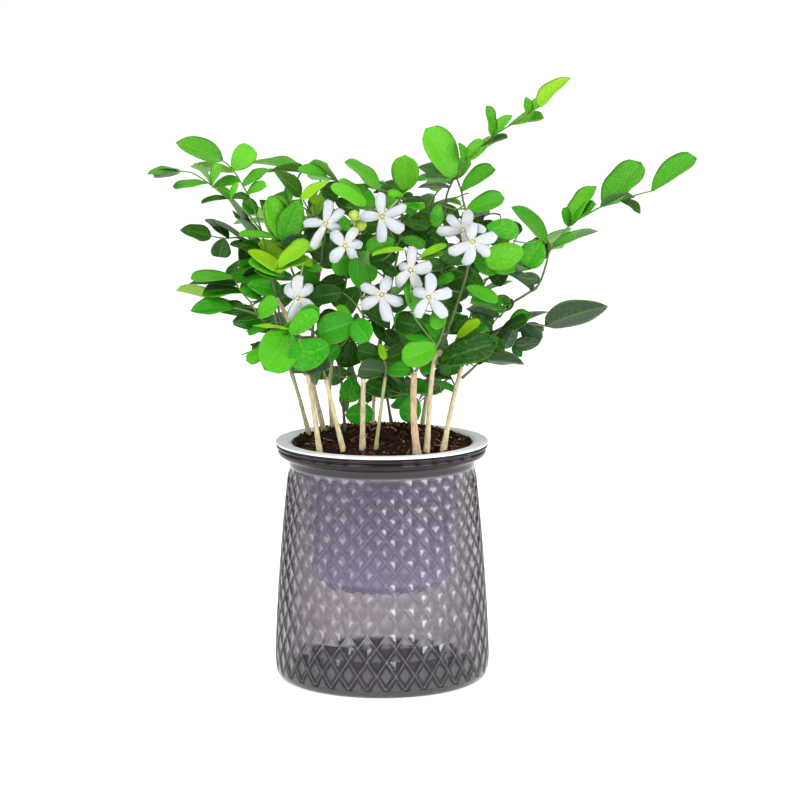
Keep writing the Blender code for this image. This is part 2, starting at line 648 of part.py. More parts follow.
def build_outer_pot():
    """A turned pot whose wall is moved in and out into rows of raised diamonds."""
    levels = diamond_levels()
    wall = [(pot_radius(z), z) for z in levels]
    foot = [POT_FOOT_EDGE, (POT_FOOT_RADIUS, 0.0), (0.0, 0.0)]
    inside = [(0.0, POT_FLOOR), (POT_FOOT_RADIUS - POT_FOOT_CORNER, POT_FLOOR)]
    inside += [(pot_radius(z) - POT_WALL, z) for z in POT_INSIDE_HEIGHTS]
    inside += [(POT_NECK_INSIDE, POT_NECK_FOOT), (POT_NECK_INSIDE, POT_RIM_TOP)]
    columns = 2 * DIAMONDS_AROUND
    pot = turned("outer_pot", [*POT_RIM_PROFILE, *wall, *foot], columns, model)
    lining = turned("lining", inside, columns, model)
    bm = bmesh.new()
    bm.from_mesh(pot.data)
    bm.from_mesh(lining.data)
    bpy.data.objects.remove(lining)
    bmesh.ops.remove_doubles(bm, verts=bm.verts, dist=0.00001)
    bmesh.ops.bridge_loops(bm, edges=[e for e in bm.edges if e.is_boundary])
    shape_diamonds(bm, levels, columns)
    thin_out_smooth_rings(bm, levels, columns)
    bmesh.ops.recalc_face_normals(bm, faces=bm.faces)
    bm.to_mesh(pot.data)
    bm.free()
    finish(pot, materials["outer_pot"])
    return pot


def column_of(vert, columns):
    return round(math.atan2(vert.co.y, vert.co.x) / (2 * math.pi) * columns) % columns


def shape_diamonds(bm, levels, columns):
    """Raises every second vertex of the wall's lattice and splits its faces along the grooves."""
    low = {}
    for vert in bm.verts:
        z = vert.co.z / MM
        row = min(range(len(levels)), key=lambda i: abs(levels[i] - z))
        radius = vert.co.xy.length / MM
        if abs(levels[row] - z) > 0.01 or abs(radius - pot_radius(levels[row])) > 0.2:
            continue
        column = column_of(vert, columns)
        edge_row = row in (0, len(levels) - 1)
        raised = (row + column) % 2 == 0
        if not edge_row:
            reach = radius + (DIAMOND_RELIEF if raised else -DIAMOND_RELIEF)
            vert.co.xy = vert.co.xy * (reach / radius)
        if not raised:
            low[vert] = row
    for face in [f for f in bm.faces if len(f.verts) == 4]:
        grooves = [v for v in face.verts if v in low]
        if len(grooves) == 2 and not any(set(edge.verts) == set(grooves) for edge in face.edges):
            bmesh.utils.face_split(face, grooves[0], grooves[1])


def thin_out_smooth_rings(bm, levels, columns):
    """Welds every second column away from the diamonds: smooth rings need fewer sides."""
    top = levels[0] * MM
    bottom = levels[-1] * MM
    rings = {}
    for vert in bm.verts:
        radius = vert.co.xy.length
        outer = radius > (pot_radius(vert.co.z / MM) - 1.5) * MM
        on_wall = outer and bottom - 1e-5 <= vert.co.z <= top + 1e-5
        if radius > 1e-5 and not on_wall:
            rings[round(radius * 1e5), round(vert.co.z * 1e5), column_of(vert, columns)] = vert
    welds = {vert: rings[radius, z, column - 1] for (radius, z, column), vert in rings.items() if column % 2}
    bmesh.ops.weld_verts(bm, targetmap=welds)


def build_liner():
    """White liner: a flat flange on the pot's rim and a stepped cup with drain holes."""
    outside = [
        (0.0, LINER_FLOOR),
        (LINER_FLOOR_RADIUS - LINER_CORNER, LINER_FLOOR),
        (LINER_FLOOR_RADIUS, LINER_FLOOR + LINER_CORNER),
        (LINER_BODY_RADIUS, LINER_STEP_HEIGHT - LINER_CORNER),
        (LINER_NECK_RADIUS, LINER_STEP_HEIGHT),
        (LINER_NECK_RADIUS, LINER_LIP_FOOT),
    ]
    inside = [
        (LINER_NECK_RADIUS - LINER_WALL, LINER_NECK_TOP),
        (LINER_NECK_RADIUS - LINER_WALL, LINER_STEP_HEIGHT + WALL_RISE),
        (LINER_BODY_RADIUS - LINER_WALL, LINER_STEP_HEIGHT - LINER_CORNER + WALL_RISE),
        (LINER_FLOOR_RADIUS - LINER_WALL, LINER_FLOOR + LINER_CORNER + WALL_RISE),
        (LINER_FLOOR_RADIUS - LINER_CORNER - WALL_RISE, LINER_FLOOR + LINER_WALL),
        (0.0, LINER_FLOOR + LINER_WALL),
    ]
    profile = [*outside, *LINER_LIP_PROFILE, *inside]
    liner = turned("liner", profile[::-1], TURNED_STEPS, model)
    drains = new_collection("drain_cutters")
    for i in range(DRAIN_HOLES):
        angle = 2 * math.pi * i / DRAIN_HOLES
        place = Vector((DRAIN_CIRCLE * math.cos(angle), DRAIN_CIRCLE * math.sin(angle), LINER_FLOOR)) * MM
        bpy.ops.mesh.primitive_cylinder_add(vertices=6, radius=DRAIN_RADIUS * MM, depth=DRAIN_DEPTH * MM,
                                            location=place)
        drill = bpy.context.object
        for owner in list(drill.users_collection):
            owner.objects.unlink(drill)
        drains.objects.link(drill)
        drill.name = f"drain_cutter_{i + 1}"
        mark_cutter(drill)
    cut(liner, drains)
    apply_modifiers(liner)
    tidy_cut(liner)
    finish(liner, materials["liner"])
    return liner


def mark_cutter(piece):
    piece.hide_render = True
    piece.display_type = "WIRE"


def soil_height(x, y):
    """Height of the soil: a mound that is highest behind the middle, with crumbs as small bumps."""
    away = (x * x + (y - SOIL_MOUND_BACK) ** 2) / (2 * SOIL_MOUND_SPREAD ** 2)
    bumps = math.sin(0.45 * x + 1.3) * math.cos(0.52 * y) + 0.6 * math.sin(0.9 * x - 0.7 * y)
    return SOIL_EDGE_HEIGHT + SOIL_MOUND * math.exp(-away) + SOIL_BUMP * bumps * 0.5


def build_soil(stems):
    """Soil that fills the liner with a small gap, bumpy on top, with a plain hole for each stem."""
    wall = LINER_WALL + GAP
    rise = WALL_RISE + 2 * GAP
    neck = LINER_NECK_RADIUS - wall - GAP / 3
    side = [
        (0.0, LINER_FLOOR + wall),
        (LINER_FLOOR_RADIUS - LINER_CORNER - rise + GAP, LINER_FLOOR + wall),
        (LINER_FLOOR_RADIUS - wall, LINER_FLOOR + LINER_CORNER + rise - 0.2),
        (LINER_BODY_RADIUS - wall, LINER_STEP_HEIGHT - LINER_CORNER + rise - 0.2),
        (neck, LINER_STEP_HEIGHT + rise),
        (neck, SOIL_SIDE_TOP),
    ]
    rings = [(radius, SOIL_EDGE_HEIGHT) for radius in SOIL_RINGS]
    soil = turned("soil", (side + rings)[::-1], TURNED_STEPS, model)
    for vert in soil.data.vertices:
        if vert.co.z / MM > SOIL_SIDE_TOP + 1.0:
            vert.co.z = soil_height(vert.co.x / MM, vert.co.y / MM) * MM
    holes = new_collection("stem_hole_cutters")
    for name, (radius, points) in stems.items():
        low = points[0] + (points[0] - points[1]).normalized() * 2 * GAP
        drill = tube("hole_" + name, [low] + points[1:], radius + GAP, 6, holes)
        mark_cutter(drill)
    cut(soil, holes, "MANIFOLD")
    apply_modifiers(soil)
    tidy_cut(soil)
    finish(soil, materials["soil"])
    return soil


def seen_at(x, z, depth):
    """The place in space of a point of the front view at a depth behind the pot's axis."""
    drawn = Vector((x, 0.0, z))
    return EYE + (drawn - EYE) * ((depth - EYE.y) / -EYE.y)


def tube(name, points, radius, sides, group):
    """A round bar through points in millimetres, made from a curve with filled caps and welded."""
    curve = bpy.data.curves.new(name, "CURVE")
    curve.dimensions = "3D"
    curve.bevel_depth = radius * MM
    curve.bevel_resolution = (sides - 4) // 2
    curve.use_fill_caps = True
    line = curve.splines.new("POLY")
    line.points.add(len(points) - 1)
    for spot, point in zip(line.points, points):
        spot.co = (*(point * MM), 1.0)
    guide = bpy.data.objects.new(name, curve)
    bpy.context.scene.collection.objects.link(guide)
    mesh = evaluated_mesh(guide)
    bar = bpy.data.objects.new(name, mesh)
    bar.matrix_world = guide.matrix_world.copy()
    group.objects.link(bar)
    bpy.data.objects.remove(guide)
    bar.name = name
    bm = bmesh.new()
    bm.from_mesh(mesh)
    bmesh.ops.remove_doubles(bm, verts=bm.verts, dist=0.000002)
    bm.to_mesh(mesh)
    bm.free()
    return bar


def samples_along(points, step=1.0):
    """Evenly spaced places along a path."""
    spots = []
    for start, end in zip(points, points[1:]):
        count = max(1, math.ceil((end - start).length / step))
        spots.extend(start.lerp(end, i / count) for i in range(count))
    spots.append(points[-1])
    return spots


class Space:
    """Remembers what is placed, so that pieces of different nodes keep clear of each other."""

    def __init__(self):
        self.bodies = []
        self.paths = []

    def add_body(self, owner, points, faces):
        low = Vector([min(p[i] for p in points) for i in range(3)])
        high = Vector([max(p[i] for p in points) for i in range(3)])
        self.bodies.append((owner, low, high, BVHTree.FromPolygons(points, faces)))

    def add_path(self, owner, points, radius):
        self.paths.append((owner, radius, samples_along(points)))

    def clashes(self, owner, points, faces):
        """How many bodies of other nodes, and of the same node, a body crosses."""
        low = Vector([min(p[i] for p in points) for i in range(3)])
        high = Vector([max(p[i] for p in points) for i in range(3)])
        tree = None
        others = 0
        same = 0
        for name, a, b, other in self.bodies:
            if any(high[i] < a[i] or low[i] > b[i] for i in range(3)):
                continue
            if tree is None:
                tree = BVHTree.FromPolygons(points, faces)
            if tree.overlap(other):
                if name == owner:
                    same += 1
                else:
                    others += 1
        return others, same

    def path_clashes(self, owner, points, radius, joined=None, joint_end=0):
        """How many paths of other nodes a path comes too near to, away from its own joint."""
        spots = samples_along(points)
        count = 0
        for name, other_radius, other in self.paths:
            if name == owner:
                continue
            if name == joined:
                free = [s for s in spots if (s - spots[joint_end]).length > JOINT_FREE]
                reach = (radius + other_radius + GAP) ** 2
                count += any((a - b).length_squared < reach for a in free for b in other)
                continue
            reach = (radius + other_radius + 2.5 * GAP) ** 2
            count += any((a - b).length_squared < reach for a in spots for b in other)
        return count


def blade_template(outline):
    """A flat blade one unit long, from a grid: x along it, y across it, z from back to front."""
    bm = bmesh.new()
    bmesh.ops.create_grid(bm, x_segments=len(outline) - 1, y_segments=1, size=0.5)
    columns = sorted({round(v.co.x, 4) for v in bm.verts})
    for vert in bm.verts:
        along, half = outline[columns.index(round(vert.co.x, 4))]
        vert.co = (along, 2.0 * vert.co.y * half, 0.0)
    bmesh.ops.remove_doubles(bm, verts=bm.verts, dist=0.001)
    bmesh.ops.triangulate(bm, faces=bm.faces)
    front = bmesh.ops.extrude_face_region(bm, geom=bm.faces[:])
    lifted = [part for part in front["geom"] if isinstance(part, bmesh.types.BMVert)]
    bmesh.ops.translate(bm, vec=(0, 0, 1), verts=lifted)
    bmesh.ops.recalc_face_normals(bm, faces=bm.faces)
    bm.verts.index_update()
    points = [tuple(v.co) for v in bm.verts]
    faces = [[v.index for v in f.verts] for f in bm.faces]
    bm.free()
    return points, faces


def bent_blade(template, path, across, width, thickness, margin=0.0):
    """Lays a template along a curve of three control points and gives it width and thickness."""
    start, middle, end = path
    length = (end - start).length
    points = []
    for along, side, face in template[0]:
        t = along + margin / length * (2.0 * along - 1.0)
        centre = start * (1 - t) ** 2 + middle * (2 * t * (1 - t)) + end * t ** 2
        run = ((middle - start) * (1 - t) + (end - middle) * t).normalized()
        front = run.cross(across).normalized()
        reach = side * width / 2 + (margin if side > 0.01 else -margin if side < -0.01 else 0.0)
        lift = (face - 0.5) * (thickness + 2 * margin)
        points.append(centre + across * reach + front * lift)
    return points


class Plant:
    """Collects the placed twigs, blades and flowers of every node before they are built."""

    def __init__(self):
        self.space = Space()
        self.tubes = {}
        self.blades = {}
        self.tones = {}
        self.drawn = {}
        self.dropped = 0

    def add_tube(self, owner, points, radius, sides):
        self.tubes.setdefault(owner, []).append((points, radius, sides))
        self.space.add_path(owner, points, radius)

    def add_blade(self, owner, template, pose, tone):
        points = bent_blade(template, *pose)
        self.blades.setdefault(owner, []).append((points, template[1]))
        self.tones.setdefault(owner, []).append(tone)
        self.space.add_body(owner, points, template[1])


def place_stems(plant):
    """Stems rise from the table's first point, which lies on the soil, and reach down into it."""
    stems = {}
    for name, (radius, drawn) in STEMS.items():
        points = [seen_at(*spot) for spot in drawn]
        root = points[0] + (points[0] - points[1]).normalized() * STEM_DEPTH
        stems[name] = (radius, [root] + points[1:])
        plant.add_tube(name, stems[name][1], radius, 6)
    return stems


def joint_on_stem(stem, height, toward):
    """Where a shoot starts: past the stem's top, or beside the stem at a height, always a small gap away."""
    radius, points = stem
    if height == "top":
        run = (toward - points[-1]).normalized()
        end = (points[-1] - points[-2]).normalized()
        slant = math.sqrt(max(0.0, 1 - run.dot(end) ** 2))
        beside = GAP + slant * (radius + TWIG_RADIUS)
        above = (GAP + slant * TWIG_RADIUS) / max(0.2, run.dot(end))
        return points[-1] + run * min(beside, above)
    for low, high in zip(points, points[1:]):
        if low.z <= height <= high.z:
            axis = (high - low).normalized()
            spot = low.lerp(high, (height - low.z) / (high.z - low.z))
            run = (toward - spot).normalized()
            share = abs(run.dot(axis))
            slant = math.sqrt(max(0.05, 1 - share ** 2))
            return spot + run * ((radius + GAP + TWIG_RADIUS * share) / slant)
    raise ValueError(f"no stem at height {height}")


def nearest_on_drawn(lines, x, z):
    """The point of a shoot's drawn lines that is nearest in the front view, as (x, z, depth)."""
    best = None
    for line in lines:
        for a, b in zip(line, line[1:]):
            run = Vector((b[0] - a[0], b[1] - a[1]))
            size = max(run.length_squared, 1e-9)
            t = min(1.0, max(0.0, ((x - a[0]) * run.x + (z - a[1]) * run.y) / size))
            spot = (a[0] + run.x * t, a[1] + run.y * t, a[2] + (b[2] - a[2]) * t)
            away = math.hypot(spot[0] - x, spot[1] - z)
            if best is None or away < best[0]:
                best = (away, spot)
    return best[1]


def drawn_place(point):
    """The front view's coordinates of a place in space, the reverse of seen_at."""
    scale = -EYE.y / (point.y - EYE.y)
    drawn = EYE + (point - EYE) * scale
    return drawn.x, drawn.z, point.y


def rooted(start, following):
    """A side twig's first point, a little behind the line that it grows from."""
    return start + (start - following).normalized() * TWIG_SINK


def place_twigs(plant, owner, stem, height, twigs):
    """Draws a shoot's main twig from its stem and each side twig from the nearest drawn point."""
    lines = []
    for tip_depth, spots in twigs:
        if lines:
            base = nearest_on_drawn(lines, *spots[0])
            spots = spots[1:]
        else:
            base = None
            first_depth = seen_at(*STEMS[stem][1][-1]).y
        best = None
        for shift in DEPTH_TRIES:
            start_depth = base[2] if base else first_depth
            count = len(spots)
            line = [(x, z, start_depth + (tip_depth + shift - start_depth) * (i + 1) / count)
                    for i, (x, z) in enumerate(spots)]
            points = [seen_at(*spot) for spot in line]
            if base:
                points.insert(0, rooted(seen_at(*base), points[0]))
                line.insert(0, base)
            else:
                foot = joint_on_stem(stems[stem], height, points[0])
                points.insert(0, foot)
                line.insert(0, drawn_place(foot))
            radius = RACHIS_RADIUS if lines else TWIG_RADIUS
            clashes = plant.space.path_clashes(owner, points, radius, stem)
            if best is None or clashes < best[0]:
                best = (clashes, points, line, radius)
            if clashes == 0:
                break
        plant.add_tube(owner, best[1], best[3], 4)
        lines.append(best[2])
    plant.drawn[owner] = lines


def leaflet_pose(base, tip, seen_width, tone, turn=0.0, scale=1.0):
    """Control points, crosswise direction and width of a leaflet that looks as wide as it was seen."""
    end = base.lerp(tip, scale)
    axis = (end - base).normalized()
    length = (end - base).length
    view = (EYE - base.lerp(end, 0.5)).normalized()
    toward = (view - axis * view.dot(axis)).normalized()
    upward = axis.cross(toward)
    if upward.z < 0 or (abs(upward.z) < 0.15 and upward.x * (base.x - 5.0) < 0):
        upward.negate()
    width = max(seen_width, LEAF_RATIO * length)
    roll = math.acos(min(1.0, seen_width / width)) + turn
    side = -1.0 if tone == "under" else 1.0
    normal = toward * (math.cos(roll) * side) + upward * math.sin(roll)
    across = normal.cross(axis).normalized()
    middle = base.lerp(end, 0.5) + normal * (LEAF_BOW * length)
    return (base, middle, end), across, width


def sunk(pose, depth):
    """The same leaflet with its base sunk into the stalk that it grows from."""
    (start, middle, end), across, width = pose
    return (start - (end - start).normalized() * depth, middle, end), across, width


def place_best_leaflet(plant, owner, poses, tone, at_end):
    """Keeps the first pose that is clear of the other nodes, if there is one."""
    best = None
    for pose in poses:
        path, across, width = sunk(pose, END_LEAF_SINK if at_end else LEAF_SINK)
        template = large_leaf if width > LARGE_LEAF_WIDTH else small_leaf
        shell = bent_blade(template, path, across, width, BLADE_THICKNESS, CLEARANCE)
        others, same = plant.space.clashes(owner, shell, template[1])
        score = others * 100 + same
        if best is None or score < best[0]:
            best = (score, template, (path, across, width))
        if score == 0:
            break
    if best[0] >= 100:
        plant.dropped += 1
        return
    path, across, width = best[2]
    plant.add_blade(owner, best[1], (path, across, width, BLADE_THICKNESS), tone)


def place_drawn_leaflets(plant, owner, leaflets):
    """Leaflets of the front view's tables: each leans until its true length fits its seen width."""
    lines = plant.drawn[owner]
    for base_x, base_z, tip_x, tip_z, width, lean, tone in leaflets:
        spot = nearest_on_drawn(lines, base_x, base_z)
        base = seen_at(*spot)
        seen = math.hypot(tip_x - base_x, tip_z - base_z)
        hidden = math.sqrt(max(0.0, (width / WIDEST_LEAF_RATIO) ** 2 - seen ** 2))
        reach = math.copysign(max(abs(lean), hidden), lean or -1.0)
        poses = (leaflet_pose(base, seen_at(tip_x, tip_z, spot[2] + reach + more), width, tone, turn, scale)
                 for scale, more, turn in LEAF_TRIES)
        at_end = any((base - points[-1]).length < TWIG_RADIUS for points, _, _ in plant.tubes[owner])
        place_best_leaflet(plant, owner, poses, tone, at_end)


def place_blooms(plant):
    """Five recurved petals round a small disc, facing the eye, with tips read off the front view."""
    blooms = {}
    for name, ((x, z), depth, shoot, tips) in BLOOMS.items():
        centre = seen_at(x, z, depth)
        facing = (EYE - centre).normalized()
        owner = name + "_petals"
        poses = []
        for tip_x, tip_z in tips:
            tip = seen_at(tip_x, tip_z, depth)
            spread = tip - centre
            spread -= facing * spread.dot(facing)
            reach = spread.length
            run = spread.normalized()
            across = facing.cross(run).normalized()
            recurve = math.sqrt(max(4.0, PETAL_LENGTH ** 2 - reach ** 2))
            best = None
            for more in RECURVE_TRIES:
                for scale in (1.0, 0.88):
                    start = centre + run * PETAL_START
                    middle = centre + run * (0.75 * reach) + facing * 2.0
                    end = centre + run * (reach * scale) - facing * max(0.0, recurve * 0.7 + more)
                    pose = ((start, middle, end), across, PETAL_WIDTH, PETAL_THICKNESS)
                    shell = bent_blade(petal, *pose, CLEARANCE)
                    others, _ = plant.space.clashes(owner, shell, petal[1])
                    if best is None or others < best[0]:
                        best = (others, pose)
            plant.add_blade(owner, petal, best[1], "petals")
            poses.append(best[1])
            start, middle, end = best[1][0]
            plant.space.add_path(owner, [start, middle * 0.5 + (start + end) * 0.25, end], PETAL_REACH)
        blooms[name] = (centre, facing, shoot, poses)
    return blooms


def place_pedicels(plant, blooms):
    """A thin stalk from the nearest point of the shoot to just behind each bloom."""
    for name, (centre, facing, shoot, _) in blooms.items():
        back = centre - facing * (PETAL_THICKNESS / 2 + GAP)
        bend = centre - facing * PEDICEL_REACH
        place_stalk(plant, shoot, [bend, back], name + "_petals")


def place_stalk(plant, shoot, ends, flower):
    """Joins a shoot's nearest twig point to a flower, around what is in the way if need be."""
    starts = [spot for points, _, _ in plant.tubes[shoot] for spot in samples_along(points, 2.0)[1:-1]]
    best = None
    starts.sort(key=lambda spot: (spot - ends[0]).length)
    for start in starts[:60:3]:
        for sag in SAG_TRIES:
            bend = start.lerp(ends[0], 0.5) + Vector((0, sag * 0.5, sag))
            points = [rooted(start, bend), bend, *ends]
            clashes = plant.space.path_clashes(shoot, points, PEDICEL_RADIUS, flower, -1)
            if best is None or clashes < best[0]:
                best = (clashes, points)
            if clashes == 0:
                break
        if best[0] == 0:
            break
    plant.add_tube(shoot, best[1], PEDICEL_RADIUS, 4)


def place_ruled_shoot(plant, owner, stem, height, path, seed):
    """A shoot at the back or the sides: pinnate leaves set in a spiral along its twig."""
    draw = random.Random(seed)
    spots = [Vector(p) for p in path]
    foot = joint_on_stem(stems[stem], height, spots[0])
    main = [foot] + spots
    plant.add_tube(owner, main, TWIG_RADIUS, 4)
    along = samples_along(main, 1.0)
    leaves = []
    turn = draw.uniform(0, 2 * math.pi)
    for i in range(RULED_LEAVES):
        share = RULED_LEAF_START + (1.0 - RULED_LEAF_START) * i / (RULED_LEAVES - 1)
        spot = along[round(share * (len(along) - 3))]
        outward = Vector((spot.x - 8.0, spot.y - 5.0, 0.0)).normalized()
        best = None
        for shift in (0.0, 0.3, -0.3, 0.6, -0.6, 0.9, -0.9):
            angle = turn + shift
            spin = Vector((math.cos(angle), math.sin(angle), 0.0))
            run = (outward * 0.9 + spin * 0.75 + Vector((0, 0, 0.35))).normalized()
            size = draw.uniform(*RULED_LEAF_LENGTH)
            rachis = [spot - run * TWIG_SINK, spot + run * size * 0.5 + Vector((0, 0, 2.0)),
                      spot + run * size + Vector((0, 0, -1.0))]
            clashes = plant.space.path_clashes(owner, rachis, RACHIS_RADIUS)
            if best is None or clashes < best[0]:
                best = (clashes, rachis)
            if clashes == 0:
                break
        turn += SPIRAL_TURN
        if best[0]:
            continue
        plant.add_tube(owner, best[1], RACHIS_RADIUS, 4)
        leaves.append(best[1])
    plant.drawn[owner] = leaves


def place_ruled_leaflets(plant, owner, seed):
    """Alternate leaflets along each rachis, larger toward the tip, with one at its end."""
    draw = random.Random(seed)
    for rachis in plant.drawn[owner]:
        along = samples_along(rachis, 0.5)
        side = 1.0 if draw.random() < 0.5 else -1.0
        tone = draw.choice(("dark", "mid", "mid", "bright"))
        for share, length, angle in RULED_LEAFLETS:
            base = along[round(share * (len(along) - 1))]
            run = (rachis[-1] - rachis[0]).normalized()
            level = run.cross(Vector((0, 0, 1))).normalized()
            top = level.cross(run).normalized()
            length *= draw.uniform(0.9, 1.12)
            lift = draw.uniform(-0.25, 0.15)
            tilt = draw.uniform(-0.5, 0.5)
            poses = []
            for scale, lean, twist in LEAF_TRIES:
                aim = run * math.cos(math.radians(angle)) + level * (side * math.sin(math.radians(angle)))
                aim = (aim + top * (lift + lean * 0.03)).normalized()
                normal = (top - aim * top.dot(aim)).normalized()
                across = normal.cross(aim)
                normal = normal * math.cos(tilt + twist) + across * math.sin(tilt + twist)
                across = normal.cross(aim).normalized()
                tip = base + aim * (length * scale)
                middle = base.lerp(tip, 0.5) + normal * (LEAF_BOW * length)
                poses.append(((base, middle, tip), across, length * scale * LEAF_RATIO))
            place_best_leaflet(plant, owner, poses, tone, share == 1.0)
            side = -side


def build_plant_node(plant, name, material):
    pieces = [tube(f"{name}_twig_{i}", points, radius, sides, model)
              for i, (points, radius, sides) in enumerate(plant.tubes.get(name, []))]
    pieces += [object_from_points(f"{name}_blade_{i}", points, faces, model)
               for i, (points, faces) in enumerate(plant.blades.get(name, []))]
    return fuse(name, pieces, material)


def disc_along(name, centre, axis, radii, height, sides):
    """A short turned piece with its own axis, from a cone."""
    bpy.ops.mesh.primitive_cone_add(vertices=sides, radius1=radii[0] * MM, radius2=radii[1] * MM,
                                    depth=height * MM, location=centre * MM,
                                    rotation=axis.to_track_quat("Z", "Y").to_euler())
    piece = bpy.context.object
    for owner in list(piece.users_collection):
        owner.objects.unlink(piece)
    model.objects.link(piece)
    piece.name = name
    return piece


def build_petals(name, centre, facing, poses):
    """One thin blade with five lobes, the petals, round a small middle that they share."""
    upward = facing.cross(Vector((1, 0, 0)))
    poses = sorted(poses, key=lambda pose: math.atan2((pose[0][2] - centre).dot(upward),
                                                      pose[0][2].x - centre.x))
    order = [(along, side * half, face)
             for face in (1, 0) for along, half in PETAL_OUTLINE for side in (-1, 1)]
    rows = len(PETAL_OUTLINE)
    first, last = 0, 1
    bm = bmesh.new()
    hubs = [bm.verts.new((centre + facing * (share * PETAL_THICKNESS)) * MM) for share in (0.5, -0.5)]
    lobes = []
    for pose in poses:
        verts = [bm.verts.new(point * MM) for point in bent_blade((order, None), *pose)]
        # Indexed as front or back, row from base to tip, side
        pairs = [verts[i:i + 2] for i in range(0, len(verts), 2)]
        lobes.append((pairs[:rows], pairs[rows:]))
    for lobe, following in zip(lobes, lobes[1:] + lobes[:1]):
        front, back = lobe
        for hub, layer, after in zip(hubs, lobe, following):
            bm.faces.new((hub, *layer[0]))
            bm.faces.new((hub, layer[0][last], after[0][first]))
            for low, high in zip(layer, layer[1:]):
                bm.faces.new((low[0], low[1], high[1], high[0]))
        for side in (0, 1):
            for row in range(rows - 1):
                bm.faces.new((front[row][side], front[row + 1][side], back[row + 1][side], back[row][side]))
        bm.faces.new((*front[-1], back[-1][1], back[-1][0]))
        bm.faces.new((front[0][last], following[0][0][first], following[1][0][first], back[0][last]))
    bmesh.ops.recalc_face_normals(bm, faces=bm.faces)
    finish(object_from_bmesh(name, bm, model), materials["petals"])


def build_heart(name, centre, facing):
    """The pale heart: a dome and a style that stand just off the petals."""
    foot = centre + facing * (PETAL_THICKNESS / 2 + GAP)
    middle = foot + facing * (HEART_HEIGHT / 2)
    dome = disc_along(name + "_dome", middle, facing, HEART_RADII, HEART_HEIGHT, 8)
    style = tube(name + "_style", [middle, foot + facing * STYLE_LENGTH], STYLE_RADIUS, 4, model)
    fuse(name, [dome, style], materials["heart"])


def build_bud(name, centre, radius):
    bpy.ops.mesh.primitive_uv_sphere_add(segments=8, ring_count=6, radius=radius * MM, location=centre * MM)
    piece = bpy.context.object
    for owner in list(piece.users_collection):
        owner.objects.unlink(piece)
    model.objects.link(piece)
    piece.name = name
    piece.data.name = name
    finish(piece, materials["bud"])


def mean_tone(tones):
    """The middle colour of a node's leaflets."""
    colours = [rgb(LEAF_TONES[tone]) for tone in tones]
    return [sum(c[i] for c in colours) / len(colours) for i in range(3)]


# The scene starts empty
for old in list(bpy.data.objects):
    bpy.data.objects.remove(old)

model = new_collection("potted_orange_jasmine")
materials = {
    "outer_pot": make_material("pot_plastic", rgb(COLOURS["outer_pot"]), 0.25, 0.55),
    "liner": make_material("liner_plastic", rgb(COLOURS["liner"]), 0.4),
    "soil": make_material("potting_soil", rgb(COLOURS["soil"]), 0.95),
    "petals": make_material("petal_white", rgb(COLOURS["petals"]), 0.55),
    "heart": make_material("heart_cream", rgb(COLOURS["heart"]), 0.6),
    "bud": make_material("bud_lime", rgb(COLOURS["bud"]), 0.5),
}
for wood in ("wood", "reddish wood", "green wood", "dark wood"):
    materials[wood] = make_material(wood.replace(" ", "_"), rgb(COLOURS[wood]), 0.8)

large_leaf = blade_template(LARGE_LEAF_OUTLINE)
small_leaf = blade_template(SMALL_LEAF_OUTLINE)
petal = blade_template(PETAL_OUTLINE)

# The plant is placed first, then each node is built
plant = Plant()
stems = place_stems(plant)
blooms = place_blooms(plant)
for name, (stem, height, twigs, leaflets) in SHOOTS.items():
    place_twigs(plant, name, stem, height, twigs)
place_pedicels(plant, blooms)
buds = {}
for name, (shoot, (x, z), depth, radius) in BUDS.items():
    centre = seen_at(x, z, depth)
    below = centre - Vector((0, 0, radius + GAP))
    place_stalk(plant, shoot, [below - Vector((0, 0, STALK_TIP)), below], name)
    buds[name] = (centre, radius)
for number, (name, (stem, height, path)) in enumerate(RULED_SHOOTS.items()):
    place_ruled_shoot(plant, name, stem, height, path, 100 + number)
for name, rows in plant.tubes.items():
    for points, radius, sides in rows:
        bar = tube("guide", points, radius, sides, model)
        spots = [v.co / MM for v in bar.data.vertices]
        plant.space.add_body(name, spots, [list(f.vertices) for f in bar.data.polygons])
        bpy.data.objects.remove(bar)
for name, (stem, height, twigs, leaflets) in SHOOTS.items():
    place_drawn_leaflets(plant, name, leaflets)
for number, name in enumerate(RULED_SHOOTS):
    place_ruled_leaflets(plant, name, 200 + number)
print("leaflets left out for want of space:", plant.dropped)

build_outer_pot()
build_liner()
build_soil(stems)
for name in STEMS:
    (points, radius, sides), = plant.tubes[name]
    stem = tube(name, points, radius, sides, model)
    finish(stem, materials[STEM_WOOD.get(name, "wood")])
for name in [*SHOOTS, *RULED_SHOOTS]:
    leaf = make_material(name + "_green", mean_tone(plant.tones[name]), 0.45)
    build_plant_node(plant, name, leaf)
for name, (centre, facing, _, poses) in blooms.items():
    build_petals(name + "_petals", centre, facing, poses)
    build_heart(name + "_heart", centre, facing)
for name, (centre, radius) in buds.items():
    build_bud(name, centre, radius)
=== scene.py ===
# %% [markdown]
# # Potted orange jasmine, dressed for its portrait
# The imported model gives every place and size. This notebook puts finer pieces where its plain ones stand: a
# faceted translucent pot, a white liner, crumbly soil, barked stems, pinnate leaves and white blooms.
# Lengths are in millimetres in the tables and become metres when a mesh is made.

# %% The frame and the tools
import json
import math
import random

import bmesh
import bpy
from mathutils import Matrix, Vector, noise
from mathutils.bvhtree import BVHTree


